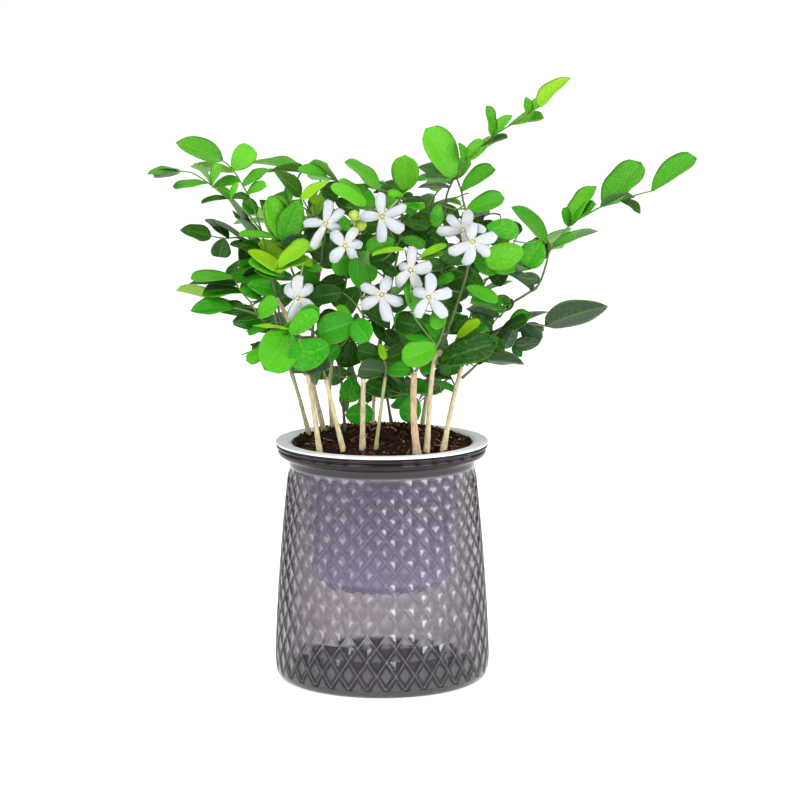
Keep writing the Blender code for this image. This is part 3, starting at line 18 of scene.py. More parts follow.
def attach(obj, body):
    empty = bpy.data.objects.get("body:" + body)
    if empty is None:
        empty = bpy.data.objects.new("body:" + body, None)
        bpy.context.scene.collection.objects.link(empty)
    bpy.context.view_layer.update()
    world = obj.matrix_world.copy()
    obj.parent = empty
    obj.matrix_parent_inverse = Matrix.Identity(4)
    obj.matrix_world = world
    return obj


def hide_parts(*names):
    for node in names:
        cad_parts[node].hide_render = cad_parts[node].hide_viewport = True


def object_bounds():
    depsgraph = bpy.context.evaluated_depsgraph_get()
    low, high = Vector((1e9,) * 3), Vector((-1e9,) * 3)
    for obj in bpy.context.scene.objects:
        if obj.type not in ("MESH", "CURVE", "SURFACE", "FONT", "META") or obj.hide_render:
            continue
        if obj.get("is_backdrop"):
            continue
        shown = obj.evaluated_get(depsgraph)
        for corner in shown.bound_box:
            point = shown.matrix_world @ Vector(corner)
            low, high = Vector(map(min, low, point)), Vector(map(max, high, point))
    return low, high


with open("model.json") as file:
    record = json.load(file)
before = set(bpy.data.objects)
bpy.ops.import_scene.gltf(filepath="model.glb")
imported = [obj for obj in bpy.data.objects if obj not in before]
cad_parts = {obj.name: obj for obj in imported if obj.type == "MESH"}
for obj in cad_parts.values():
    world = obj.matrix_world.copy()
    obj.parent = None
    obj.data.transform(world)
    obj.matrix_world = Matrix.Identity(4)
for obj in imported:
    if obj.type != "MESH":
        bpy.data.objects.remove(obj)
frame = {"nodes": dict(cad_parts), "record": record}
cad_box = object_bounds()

MM = 0.001
print("CAD nodes:", len(frame["nodes"]))

# %% [markdown]
# ## Colours and shader nodes
# A colour is written as an sRGB hex code, as a paint chart gives it, and Blender wants linear light, so one
# function turns it. A second one adds a shader node and fills its inputs. Each node could have a function
# of its own, but one for all of them keeps every material readable as a short list.

# %% Colours and shader nodes


def linear(code):
    """Linear red, green, blue and alpha of a colour written as an sRGB hex code."""
    channels = [int(code[i:i + 2], 16) / 255 for i in (1, 3, 5)]
    return [c / 12.92 if c <= 0.04045 else ((c + 0.055) / 1.055) ** 2.4 for c in channels] + [1.0]


def set_inputs(made, added, values):
    """Fills a node's inputs, by name or in their order, with values or from other nodes or sockets."""
    for key, value in values.items() if isinstance(values, dict) else enumerate(values):
        if isinstance(value, bpy.types.Node):
            value = value.outputs[0]
        if isinstance(value, bpy.types.NodeSocket):
            made.node_tree.links.new(value, added.inputs[key])
        else:
            added.inputs[key].default_value = value


def node(made, kind, inputs=(), **settings):
    """Adds one node to a material and sets what it is given."""
    added = made.node_tree.nodes.new("ShaderNode" + kind)
    for key, value in settings.items():
        setattr(added, key, value)
    set_inputs(made, added, inputs)
    return added


def finish(made, values):
    """Sets inputs of a material's Principled shader."""
    set_inputs(made, made.node_tree.nodes["Principled BSDF"], values)


def new_material(name, colour, roughness, specular=0.5):
    """A material with one Principled shader."""
    made = bpy.data.materials.new(name)
    made.use_nodes = True
    finish(made, {"Base Color": linear(colour), "Roughness": roughness, "Specular IOR Level": specular})
    return made


def per_mm(size):
    """The texture scale whose pattern repeats about every so many millimetres."""
    return 1.0 / (size * MM)


print("the red of #ff8000 in linear light:", linear("#ff8000")[0])

# %% [markdown]
# ## The camera
# The eye stands 1.64 m in front of the pot and a little above the plant. That place was worked out from the
# widths and heights of the ellipses of the pot's rim and foot.

# %% The camera
EYE = Vector((11.0, -1636.0, 423.0))
AIM = Vector((11.0, 0.0, 170.0))
LENS, SENSOR = 122.6, 36.0

scene = bpy.context.scene
lens = bpy.data.cameras.new("camera")
lens.lens = LENS
lens.sensor_width = SENSOR
camera = bpy.data.objects.new("camera", lens)
scene.collection.objects.link(camera)
camera.location = EYE * MM
camera.rotation_euler = (AIM - EYE).to_track_quat("-Z", "Y").to_euler()
scene.camera = camera
scene.view_settings.view_transform = "Standard"
print("camera at", tuple(round(v, 3) for v in camera.location))

# %% [markdown]
# ## The ground and the sky
# The ground glows softly, which gives the plain white of a product picture. A lit backdrop could do the
# same, but it would hide the plant when it is looked at from behind. The sky is darker toward the horizon,
# so that leaves and facets have something to mirror.

# %% The ground and the sky
GROUND_REACH, GROUND_LEVEL, GROUND_GREY, GROUND_GLOW = 900.0, -0.0006, 0.5, 0.88
SKY_LOW, SKY_HIGH = 0.22, 0.5
WHITE = (1.0, 1.0, 1.0, 1.0)

bpy.ops.mesh.primitive_plane_add(size=GROUND_REACH, location=(0, 0, GROUND_LEVEL))
ground = bpy.context.object
ground.name = "studio_floor"
ground_paint = new_material("pale_floor", "#ffffff", 0.8, 0.0)
finish(ground_paint, {
    "Base Color": (GROUND_GREY, GROUND_GREY, GROUND_GREY, 1.0),
    "Emission Color": WHITE, "Emission Strength": GROUND_GLOW,
})
ground.data.materials.append(ground_paint)
ground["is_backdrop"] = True

sky = bpy.data.worlds.new("studio_sky")
scene.world = sky
sky.use_nodes = True
sky_ray = node(sky, "TexCoord")
sky_height = node(sky, "SeparateXYZ", [sky_ray.outputs["Generated"]])
sky_step = node(sky, "MapRange", [sky_height.outputs["Z"], -0.1, 0.9, SKY_LOW, SKY_HIGH])
set_inputs(sky, sky.node_tree.nodes["Background"], {"Color": WHITE, "Strength": sky_step})
print("sky from", SKY_LOW, "to", SKY_HIGH)

# %% [markdown]
# ## The lights
# Large soft boxes above give the plant its even light. A half ring of upright strips stands round the
# front, because small pyramids of clear plastic glint only where each one finds a light to mirror. One lamp
# would give a single column of glints.

# %% The lights
SOFT_BOXES = {
    "key_box": ((-0.55, -1.0, 1.35), (0, 0, 0.22), 0.6, 0.6, 9.0),
    "top_box": ((-0.15, -0.1, 1.5), (0, 0, 0.15), 0.8, 0.8, 7.0),
    "back_box": ((0.3, 1.2, 1.1), (0, 0, 0.2), 0.9, 0.5, 4.0),
}
STRIP_FAR, STRIP_HEIGHT, STRIP_WIDTH, STRIP_LENGTH = 1.3, 0.34, 0.3, 0.5
STRIP_AIM = (0, 0, 0.08)
STRIPS = {29: 4.0, 49: 3.6, 69: 3.0, 89: 2.4, 109: 2.0, -29: 2.0, -49: 2.0, -69: 1.8, -89: 1.4}


def soft_box(name, place, aim, width, height, watts):
    """A rectangular area light that faces a point."""
    lamp = bpy.data.lights.new(name, "AREA")
    lamp.shape = "RECTANGLE"
    lamp.size = width
    lamp.size_y = height
    lamp.energy = watts
    holder = bpy.data.objects.new(name, lamp)
    scene.collection.objects.link(holder)
    holder.location = place
    holder.rotation_euler = (Vector(aim) - Vector(place)).to_track_quat("-Z", "Y").to_euler()


for name, box in SOFT_BOXES.items():
    soft_box(name, *box)
for turn, watts in STRIPS.items():
    aside, before = STRIP_FAR * math.sin(math.radians(turn)), STRIP_FAR * math.cos(math.radians(turn))
    soft_box(f"strip_{turn}", (aside, -before, STRIP_HEIGHT), STRIP_AIM, STRIP_WIDTH, STRIP_LENGTH, watts)
print("lights:", len(SOFT_BOXES) + len(STRIPS))

# %% [markdown]
# ## A shape that grows
# Every piece is one mesh that is collected part by part: points, faces, a place on the surface (along and
# across) and a colour for each point. One collector does for leaves, twigs, petals and crumbs alike, so
# each piece of the plant stays a single object.

# %% The collector


class Shape:
    """Collects points in millimetres, faces, surface places, colours and material numbers of one piece."""

    def __init__(self):
        self.points, self.faces, self.places, self.tints, self.slots = [], [], [], [], []

    def add(self, points, faces, tints, places=None, slot=0):
        """Adds points with their faces. The tints are one hex code, or a linear colour for each point."""
        start = len(self.points)
        self.points += points
        self.tints += [linear(tints)] * len(points) if isinstance(tints, str) else tints
        self.places += places or [(0.0, 0.0)] * len(points)
        self.faces += [[start + i for i in face] for face in faces]
        self.slots += [slot] * len(faces)

    def make(self, name, materials, slot, replaced=(), sharp=None, move=None):
        """Turns the collection into one object that rides on the body and stands for its CAD nodes."""
        mesh = bpy.data.meshes.new(name)
        points = [move(p) for p in self.points] if move else self.points
        mesh.from_pydata([p * MM for p in points], [], self.faces)
        uv = mesh.uv_layers.new(name="places")
        for loop in mesh.loops:
            uv.data[loop.index].uv = self.places[loop.vertex_index]
        tint = mesh.attributes.new("tint", "FLOAT_COLOR", "POINT")
        for i, colour in enumerate(self.tints):
            tint.data[i].color = colour
        for material in materials:
            mesh.materials.append(material)
        for face, number in zip(mesh.polygons, self.slots):
            face.material_index = number
            face.use_smooth = True
        if sharp:
            mesh.set_sharp_from_angle(angle=math.radians(sharp))
        piece = bpy.data.objects.new(name, mesh)
        scene.collection.objects.link(piece)
        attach(piece, "root")
        if replaced:
            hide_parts(*replaced)
        return piece


print("collector ready")

# %% [markdown]
# ## Turned solids
# The liner, the soil's underside and the buds are turned: a profile of radius and height goes round the
# axis. Moulded plastic has no knife edges, so the corners of a profile are first cut into short curves.

# %% Turned solids


def ring_faces(rows, sides):
    """Quads between the rings of a tube whose points are stored ring by ring."""
    corners = ((0, 0), (0, 1), (1, 1), (1, 0))
    return [tuple((r + up) * sides + (i + on) % sides for up, on in corners)
            for r in range(rows - 1) for i in range(sides)]


def turned(profile, sides):
    """Points and faces of a turned solid whose profile of (radius, height) starts and ends on the axis."""
    inner = profile[1:-1]
    angles = [2 * math.pi * i / sides for i in range(sides)]
    points = [Vector((r * math.cos(a), r * math.sin(a), z)) for r, z in inner for a in angles]
    faces = ring_faces(len(inner), sides)
    low, high = len(points), len(points) + 1
    points += [Vector((0, 0, profile[0][1])), Vector((0, 0, profile[-1][1]))]
    last = (len(inner) - 1) * sides
    faces += [((i + 1) % sides, i, low) for i in range(sides)]
    faces += [(last + i, last + (i + 1) % sides, high) for i in range(sides)]
    return points, faces


def rounded(profile, spots=3, largest=0.6, share=0.35):
    """A profile with each of its inner corners cut into a short curve."""
    smooth = [profile[0]]
    for before, corner, after in zip(profile, profile[1:], profile[2:]):
        a, b, c = (Vector((*p, 0.0)) for p in (before, corner, after))
        reach = min(largest, (a - b).length * share, (c - b).length * share)
        start, end = b + (a - b).normalized() * reach, b + (c - b).normalized() * reach
        for i in range(spots):
            t = i / (spots - 1)
            spot = start * (1 - t) ** 2 + b * (2 * t * (1 - t)) + end * t ** 2
            smooth.append((spot.x, spot.y))
    return smooth + [profile[-1]]


print("a square corner becomes", len(rounded([(0, 0), (9, 0), (9, 9)])) - 2, "points")

# %% [markdown]
# ## The outer pot
# The real pot is one moulding of smoky clear plastic, pressed into 36 columns of small four-sided pyramids
# that grow toward the foot. Bump cannot give their crisp outline, so each facet is a real flat face: a
# lattice of points is pushed out and in by turns and split along the crests. Its inner face is smooth.

# %% The pot's sizes
POT_RADIUS, POT_TAPER, POT_TAPER_HEIGHT, POT_TAPER_POWER = 65.5, 8.3, 123.0, 1.6
POT_WALL, POT_FLOOR, POT_FOOT_RADIUS = 2.65, 2.5, 62.0
POT_COLUMNS, POT_ROWS = 36, 9
POT_SIDES = 2 * POT_COLUMNS
DIAMOND_TOP, DIAMOND_BOTTOM, DIAMOND_GROWTH, DIAMOND_RELIEF = 130.0, 5.5, 1.058, 0.55
RIM_START = 136.0
RIM_PROFILE = [
    (54.9, 142.0), (54.9, 144.0), (63.4, 144.0), (64.6, 143.3), (64.4, 142.0), (62.8, 141.4), (63.6, 140.4),
    (63.6, 139.0), (62.6, 137.2), (58.4, 136.4), (56.9, 134.6), (56.7, 131.8),
]
FOOT_PROFILE = [
    (65.1, 3.4), (64.2, 1.5), (63.0, 0.35), (POT_FOOT_RADIUS - 0.6, 0.0), (60.0, 0.0), (56.0, 0.9),
]
INNER_FLOOR = [(56.0, POT_FLOOR), (60.0, 3.0), (62.2, 5.5)]
INNER_WALL_HEIGHTS = (9.0, 30.0, 50.0, 70.0, 90.0, 110.0)
INNER_NECK = [(54.9, 126.0), (54.9, 138.0)]
# How clear each part is. The floor's dark, opaque tone is painted shade and reflection.
WALL_CLEAR, NECK_CLEAR, RIM_CLEAR, PAINTED_SHADE_FLOOR_CLEAR = 1.0, 0.28, 0.0, 0.0


def pot_radius(z):
    return POT_RADIUS - POT_TAPER * (z / POT_TAPER_HEIGHT) ** POT_TAPER_POWER


def diamond_levels():
    """Heights of the crests and pits, from the top down: each row of diamonds is a little taller."""
    shares = [DIAMOND_GROWTH ** (i // 2) for i in range(2 * POT_ROWS)]
    step = (DIAMOND_TOP - DIAMOND_BOTTOM) / sum(shares)
    levels = [DIAMOND_TOP]
    for share in shares:
        levels.append(levels[-1] - share * step)
    return levels


levels = diamond_levels()
print("diamond heights mm:", [round(a - b, 1) for a, b in zip(levels[::2], levels[2::2])])

# %% [markdown]
# ## The pot's rings and facets
# The pot is a stack of rings that goes down the outside and up the inside. Among the diamonds every second
# point of a ring stands out and the others sink in, by turns from row to row. A screw or array modifier could
# repeat one diamond, but the rows change in width and height, so each point is worked out.

# %% The pot's rings and facets


def pot_rings():
    """Rings down the outside and up the inside, each as radius, height, row and how clear it is."""
    outside = [p for p in rounded(RIM_PROFILE) if p[1] > DIAMOND_TOP + 1.0]
    rings = [(r, z, None, RIM_CLEAR if z > RIM_START else NECK_CLEAR) for r, z in outside]
    rings += [(pot_radius(z), z, row, WALL_CLEAR) for row, z in enumerate(diamond_levels())]
    rings += [(r, z, None, PAINTED_SHADE_FLOOR_CLEAR if r < 61.0 else WALL_CLEAR) for r, z in FOOT_PROFILE]
    inside = INNER_FLOOR + [(pot_radius(z) - POT_WALL, z) for z in INNER_WALL_HEIGHTS] + INNER_NECK
    return rings + [(r, z, None, PAINTED_SHADE_FLOOR_CLEAR if z < 3.5 else WALL_CLEAR) for r, z in inside], len(rings) - 1


def relief(column, row):
    """How far a point of the lattice stands out, and 0 if it is on a crest or 1 if it is in a pit."""
    if row is None:
        return 0.0, 1.0
    pit = (column + row) % 2
    return 0.0 if row in (0, 2 * POT_ROWS) else DIAMOND_RELIEF * (1 - 2 * pit), float(pit)


def ring_of_faces(ring, after, row):
    """Faces between two rings: quads, or two triangles that meet in a crest where there are diamonds."""
    faces = []
    for i in range(POT_SIDES):
        a, b = ring * POT_SIDES + i, ring * POT_SIDES + (i + 1) % POT_SIDES
        c, d = after * POT_SIDES + (i + 1) % POT_SIDES, after * POT_SIDES + i
        if row is None or row == 2 * POT_ROWS:
            faces.append((a, d, c, b))
        else:
            faces += [(a, d, c), (a, c, b)] if (i + row) % 2 == 0 else [(a, d, b), (b, d, c)]
    return faces


def pot_solid():
    """The pot's points, faces and places. A place tells how clear the plastic is and if it is in a pit."""
    rings, under = pot_rings()
    points, places, faces = [], [], []
    for r, z, row, clear in rings:
        for i in range(POT_SIDES):
            lift, pit = relief(i, row)
            angle = 2 * math.pi * (i + 0.5) / POT_SIDES
            points.append(Vector(((r + lift) * math.cos(angle), (r + lift) * math.sin(angle), z)))
            places.append((clear, pit))
    for ring, (r, z, row, clear) in enumerate(rings):
        if ring != under:
            faces += ring_of_faces(ring, (ring + 1) % len(rings), row)
    for ring in (under, under + 1):
        points.append(Vector((0, 0, rings[ring][1])))
        places.append((PAINTED_SHADE_FLOOR_CLEAR, 1.0))
        for i in range(POT_SIDES):
            a, b = ring * POT_SIDES + i, ring * POT_SIDES + (i + 1) % POT_SIDES
            faces.append((b, a, len(points) - 1) if ring == under else (a, b, len(points) - 1))
    return points, faces, places


pot_points, pot_faces, pot_places = pot_solid()
print("pot points:", len(pot_points), "faces:", len(pot_faces))

# %% [markdown]
# ## The pot's plastic
# The real pot is injection-moulded styrene plastic with a smoky violet dye. Light should bend in it, but
# strong bending throws hard triangles on the floor, so the body bends light little and a coat with the
# plastic's gloss lies over it. The coat is full only near the pits, which keeps the glints small. The dye
# sits in the depth of the wall. Each crest carries a thin painted highlight, where it is also rougher, with
# a line of painted shade beside it, and neck and rim are nearly opaque.

# %% The pot's plastic
BODY_BEND, COAT_BEND, COAT_ROUGHNESS = 1.12, 1.65, 0.04
# Strengths of the painted crest highlight and of the painted shade line beside it
CREST_HIGHLIGHT, CREST_SHADE, CLEAREST = 0.2, 0.42, 0.98
PIT_POLISH, NECK_POLISH = 0.12, 0.3
DYE, DYE_DENSITY = (0.31, 0.25, 0.315, 1.0), 340.0
WALL_RIPPLE = 9.0

pot_plastic = new_material("smoky_clear_plastic", "#d8d2d6", 0.03)
plastic_place = node(pot_plastic, "UVMap", uv_map="places")
plastic_axes = node(pot_plastic, "SeparateXYZ", [plastic_place])
clear, from_crest = plastic_axes.outputs[0], plastic_axes.outputs[1]
# Painted highlight along each crest, with a line of painted shade just beside it
crest = node(pot_plastic, "MapRange", [from_crest, 0.01, 0.05, 1.0, 0.0])
shade_in = node(pot_plastic, "MapRange", [from_crest, 0.03, 0.08, 0.0, 1.0])
shade_out = node(pot_plastic, "MapRange", [from_crest, 0.1, 0.22, CREST_SHADE, 0.0])
crest_shade = node(pot_plastic, "Math", [shade_in, shade_out], operation="MULTIPLY")
crest_highlight_share = node(pot_plastic, "Math", [crest, CREST_HIGHLIGHT], operation="MULTIPLY")
tone_share = node(pot_plastic, "Math", [clear, 3.0], operation="POWER")
plastic_tone = node(pot_plastic, "MixRGB", [tone_share, linear("#241b22"), linear("#fbf9fb")])
shaded_tone = node(pot_plastic, "MixRGB", [crest_shade, plastic_tone, linear("#5d5462")])
crest_highlight_mix = node(pot_plastic, "MixRGB", [crest_highlight_share, shaded_tone, linear("#f4f1f8")])
clear_range = node(pot_plastic, "MapRange", [clear, 0.0, 1.0, 0.0, CLEAREST])
clear_share = node(pot_plastic, "Math", [clear_range, crest_highlight_share], operation="SUBTRACT")
ripple = node(pot_plastic, "TexNoise", {"Scale": per_mm(WALL_RIPPLE), "Detail": 2.0})
ripple_bump = node(pot_plastic, "Bump", {"Strength": 0.12, "Distance": 0.6 * MM, "Height": ripple})
crest_rough = node(pot_plastic, "MapRange", [crest, 0.0, 1.0, 0.03, 0.25])
pit_polish = node(pot_plastic, "MapRange", [from_crest, 0.42, 0.5, PIT_POLISH, 1.0])
wall_polish = node(pot_plastic, "MapRange", [clear, 0.0, 1.0, NECK_POLISH, 1.0])
polish = node(pot_plastic, "Math", [pit_polish, wall_polish], operation="MULTIPLY")
finish(pot_plastic, {
    "IOR": BODY_BEND, "Coat IOR": COAT_BEND, "Coat Roughness": COAT_ROUGHNESS, "Coat Weight": polish,
    "Base Color": crest_highlight_mix, "Transmission Weight": clear_share, "Roughness": crest_rough,
    "Normal": ripple_bump,
})
depth_tint = node(pot_plastic, "VolumeAbsorption", {"Color": DYE, "Density": DYE_DENSITY})
set_inputs(pot_plastic, pot_plastic.node_tree.nodes["Material Output"], {"Volume": depth_tint})
print("pot material nodes:", len(pot_plastic.node_tree.nodes))

# %% [markdown]
# ## Flat facets on a smooth pot
# Smooth shading would melt the pyramids and flat shading would show the 72 sides of the rim. So each edge
# is marked by its own angle, with a low limit among the diamonds and a high one on the rim.

# %% Flat facets on a smooth pot
FACET_CREASE, RIM_CREASE = 5.0, 40.0
pot = Shape()
pot.add(pot_points, pot_faces, "#8f88a0", pot_places)
pot_piece = pot.make("faceted_pot", [pot_plastic], "pot_plastic", ["outer_pot"])
bm = bmesh.new()
bm.from_mesh(pot_piece.data)
bmesh.ops.recalc_face_normals(bm, faces=bm.faces)
for edge in bm.edges:
    faceted = max(v.co.z for v in edge.verts) < (DIAMOND_TOP + 0.1) * MM
    edge.smooth = edge.calc_face_angle(0.0) < math.radians(FACET_CREASE if faceted else RIM_CREASE)
bm.to_mesh(pot_piece.data)
open_edges = sum(not e.is_manifold for e in bm.edges)
print("open edges:", open_edges, "crests:", sum(not e.smooth for e in bm.edges))
bm.free()

# %% [markdown]
# ## The pot's floor
# The floor looks almost black through the wall, from shade and from the dark things that it mirrors. A thin
# dull plate on it is painted shade and reflection: it takes that tone without the mirror that a bare glossy
# floor would make at so flat a view.

# %% The floor plate
PLATE_PROFILE = [(0.0, 2.55), (59.0, 2.55), (59.4, 2.9), (58.8, 3.3), (0.0, 3.3)]
# A dark dull plate that stands for painted shade and reflection on the pot's floor
shade_plate_paint = new_material("painted_shade_floor", "#3d353f", 0.8, 0.05)
plate_cloud = node(shade_plate_paint, "TexNoise", {"Scale": per_mm(14), "Detail": 4.0})
shade_plate_mix = node(shade_plate_paint, "MixRGB", [plate_cloud, linear("#241c2e"), linear("#4c4158")])
finish(shade_plate_paint, {"Base Color": shade_plate_mix})
plate = Shape()
plate.add(*turned(PLATE_PROFILE, POT_SIDES), "#3d353f")
plate.make("painted_shade_floor_plate", [shade_plate_paint], "pot_plastic", sharp=40)
print("plate faces:", len(plate.faces))

# %% [markdown]
# ## The liner
# A white moulded cup with a flat lip hangs in the rim and holds the soil. Behind the smoky wall it looks
# lavender, and darker toward the rim, which keeps the light from it. So its plastic is tinted by height, from
# a pale lavender below to a darker one under the lip, which is painted shade, and only the lip is plain
# white.

# %% The liner
LINER_SIDES = 144
LINER_PROFILE = [
    (0.0, 58.0), (38.0, 58.0), (42.0, 62.0), (47.0, 124.0), (54.5, 128.0), (54.5, 144.3), (64.4, 144.3),
    (65.0, 144.9), (64.5, 145.6), (57.2, 145.6), (55.4, 144.6), (53.1, 142.6), (53.1, 128.6), (45.6, 124.6),
    (40.6, 62.6), (37.4, 59.4), (0.0, 59.4),
]
LINER_STEP, LINER_LIP = 123.0, 144.0


# The darker lavender between the step and the lip is painted shade under the rim
def liner_tint_and_painted_shade(z):
    return linear("#dcd8ff" if z < LINER_STEP else "#77709a" if z < LINER_LIP else "#ffffff")


liner_plastic = new_material("white_liner_plastic", "#e9e8f4", 0.35)
haze = node(liner_plastic, "TexNoise", {"Scale": per_mm(6), "Detail": 3.0})
haze_mix = node(liner_plastic, "MixRGB", [haze, linear("#f0effc"), linear("#ffffff")])
point_tint = node(liner_plastic, "Attribute", attribute_name="tint")
liner_mix = node(liner_plastic, "MixRGB", [1.0, point_tint, haze_mix], blend_type="MULTIPLY")
finish(liner_plastic, {"Base Color": liner_mix})
liner = Shape()
liner_points, liner_faces = turned(rounded(LINER_PROFILE), LINER_SIDES)
liner.add(liner_points, liner_faces, [liner_tint_and_painted_shade(p.z) for p in liner_points])
liner.make("white_liner", [liner_plastic], "liner_plastic", ["liner"], sharp=40)
print("liner faces:", len(liner_faces))

# %% [markdown]
# ## Crumbs and bars
# Two small solids serve often: an angular crumb and a thin round bar along a path, for fibres, twigs, stems
# and stamens. A curve with a bevel could make a bar too, but then it could not be joined with leaves in one
# mesh.

# %% Crumbs and bars
BAR_LEAN, BAR_LEAN_STEEP = Vector((0.13, 0.21, 1.0)).normalized(), Vector((1.0, 0.2, 0.0))


def crumb(place, size, draw):
    """A small angular crumb: an octahedron with each point pulled by chance."""
    spots = [Vector(v) for v in ((1, 0, 0), (-1, 0, 0), (0, 1, 0), (0, -1, 0), (0, 0, 1), (0, 0, -1))]
    points = [place + spot * size * draw.uniform(0.5, 1.2) for spot in spots]
    faces = [(0, 2, 4), (2, 1, 4), (1, 3, 4), (3, 0, 4), (2, 0, 5), (1, 2, 5), (3, 1, 5), (0, 3, 5)]
    return points, faces


def strand(path, radius, sides=4, end_radius=None, carried=False):
    """Points and faces of a thin round bar along a path, closed at both ends.

    With carried, each ring takes its turn from the one before, so that a steep bend doesn't pinch the bar.
    """
    rows = len(path)
    points = []
    side = None
    for i, spot in enumerate(path):
        run = (path[min(i + 1, rows - 1)] - path[max(i - 1, 0)]).normalized()
        if carried and side:
            side = side - run * run.dot(side)
        else:
            side = run.cross(BAR_LEAN)
            if side.length < 0.2:
                side = run.cross(BAR_LEAN_STEEP)
        side.normalize()
        top = side.cross(run)
        share = i / (rows - 1)
        reach = radius(share) if callable(radius) else radius + ((end_radius or radius) - radius) * share
        points += [spot + (side * math.cos(a) + top * math.sin(a)) * reach
                   for a in [2 * math.pi * k / sides for k in range(sides)]]
    ends = [tuple(range(sides))[::-1], tuple((rows - 1) * sides + k for k in range(sides))]
    return points, ring_faces(rows, sides) + ends


print("a straight bar has", len(strand([Vector(), Vector((0, 0, 9))], 1.0)[1]), "faces")

# %% [markdown]
# ## The soil
# Potting soil is a heap of dark crumbs with pale fibres. A plain disc with bump looks like felt from this
# near, so the top is a fine grid lifted by noise of three sizes. It laps a little over the liner's lip, so
# that no gap shows at its edge.

# %% The soil's body
SOIL_EDGE_HEIGHT, SOIL_MOUND, SOIL_MOUND_BACK, SOIL_MOUND_SPREAD = 142.3, 8.2, 18.0, 30.0
SOIL_RADIUS, SOIL_RINGS, SOIL_SIDES = 55.2, 66, 180
SOIL_LUMPS, LUMP_HEIGHT, LUMP_SPACING = (2.4, 1.1, 0.5), 0.9, 4.0
SOIL_CALM_RADIUS, SOIL_CALM_WIDTH = 49.0, 4.0
SOIL_PROFILE = [
    (0.0, 60.2), (36.6, 60.2), (40.0, 64.0), (45.0, 125.2), (52.5, 129.5), (52.5, 140.5), (0.0, 141.0),
]
LIP_FOOT_RADIUS, LIP_FOOT_HEIGHT, LIP_SLOPE = 53.1, 142.75, 0.87


def soil_height(x, y):
    """Height of the soil: a mound behind the middle, with lumps that end before the liner's lip."""
    away = (x * x + (y - SOIL_MOUND_BACK) ** 2) / (2 * SOIL_MOUND_SPREAD ** 2)
    lumps = sum(size * noise.noise(Vector((x, y, 7.0)) / (size * LUMP_SPACING)) for size in SOIL_LUMPS)
    reach = math.hypot(x, y)
    calm = min(1.0, max(0.0, (reach - SOIL_CALM_RADIUS) / SOIL_CALM_WIDTH))
    height = SOIL_EDGE_HEIGHT + SOIL_MOUND * math.exp(-away) + lumps * LUMP_HEIGHT * (1 - calm)
    return max(height, LIP_FOOT_HEIGHT + (reach - LIP_FOOT_RADIUS) * LIP_SLOPE)


soil = Shape()
soil.add(*turned(SOIL_PROFILE, SOIL_SIDES), "#24110a")
top_points = []
for ring in range(1, SOIL_RINGS + 1):
    reach = SOIL_RADIUS * ring / SOIL_RINGS
    for k in range(SOIL_SIDES):
        angle = 2 * math.pi * k / SOIL_SIDES
        x, y = reach * math.cos(angle), reach * math.sin(angle)
        top_points.append(Vector((x, y, soil_height(x, y))))
top_faces = [face[::-1] for face in ring_faces(SOIL_RINGS, SOIL_SIDES)] + [tuple(range(SOIL_SIDES))]
soil.add(top_points, top_faces, "#2c150c")
print("soil faces:", len(soil.faces))

# %% [markdown]
# ## Crumbs and fibres on the soil
# Real crumbs and fibres are strewn on the grid, because their edges catch the light. Square roots of even
# chances spread them evenly over a disc.

# %% Crumbs and fibres on the soil
CRUMBS, CRUMB_REACH, CRUMB_SIZES = 1500, 54.5, (0.5, 0.7, 0.9, 1.3, 1.8)
CRUMB_COLOURS = ["#1a0c07", "#2b150c", "#3a1d12", "#4a281a", "#5f3a26", "#24100a"]
FIBRES, FIBRE_REACH, FIBRE_EDGE, FIBRE_STEPS = 170, 50.0, 51.5, 4
FIBRE_COLOURS = ["#b98a62", "#8d5f3f", "#d9b58c", "#5f3822"]


def strewn(reach, draw):
    """A place on a disc, by chance."""
    away, angle = reach * math.sqrt(draw.random()), draw.uniform(0, 2 * math.pi)
    return away * math.cos(angle), away * math.sin(angle)


draw = random.Random(11)
for i in range(CRUMBS):
    x, y = strewn(CRUMB_REACH, draw)
    size = draw.choice(CRUMB_SIZES)
    points, faces = crumb(Vector((x, y, soil_height(x, y) + size * 0.3)), size, draw)
    soil.add(points, faces, draw.choice(CRUMB_COLOURS))
for i in range(FIBRES):
    x, y = strewn(FIBRE_REACH, draw)
    turn, length = draw.uniform(0, 2 * math.pi), draw.uniform(2.0, 7.0)
    path = []
    for step in range(FIBRE_STEPS):
        away = length * step / (FIBRE_STEPS - 1)
        px, py = x + math.cos(turn) * away, y + math.sin(turn) * away
        if math.hypot(px, py) > FIBRE_EDGE:
            break
        path.append(Vector((px, py, soil_height(px, py) + 0.5 + draw.uniform(0.0, 0.7))))
        turn += draw.uniform(-0.6, 0.6)
    if len(path) > 2:
        points, faces = strand(path, draw.uniform(0.12, 0.3))
        soil.add(points, faces, draw.choice(FIBRE_COLOURS))
soil_mix = new_material("potting_soil", "#2c150c", 0.95, 0.2)
soil_tint = node(soil_mix, "Attribute", attribute_name="tint")
grit = node(soil_mix, "TexNoise", {"Scale": per_mm(1.6), "Detail": 5.0, "Roughness": 0.7})
grit_range = node(soil_mix, "MapRange", [grit, 0.3, 0.7, 0.45, 1.7])
grit_mix = node(soil_mix, "MixRGB", [1.0, soil_tint, grit_range], blend_type="MULTIPLY")
grit_bump = node(soil_mix, "Bump", {"Strength": 0.8, "Distance": 0.8 * MM, "Height": grit})
finish(soil_mix, {"Base Color": grit_mix, "Normal": grit_bump})
soil.make("crumbly_soil", [soil_mix], "potting_soil", ["soil"], sharp=50)
print("soil faces with crumbs and fibres:", len(soil.faces))

# %% [markdown]
# ## Where the stems stand
# Stems, twigs, leaflets and blooms were read off the photograph as seen from the front: x is right of the
# pot's axis, z is up, and the depth is behind the plane through that axis. The same tables and rules placed
# the solids, so every fine leaf lies where its solid lies. The leaflets could be strewn by chance instead,
# but then the sprays would lose the shapes that the photo shows.

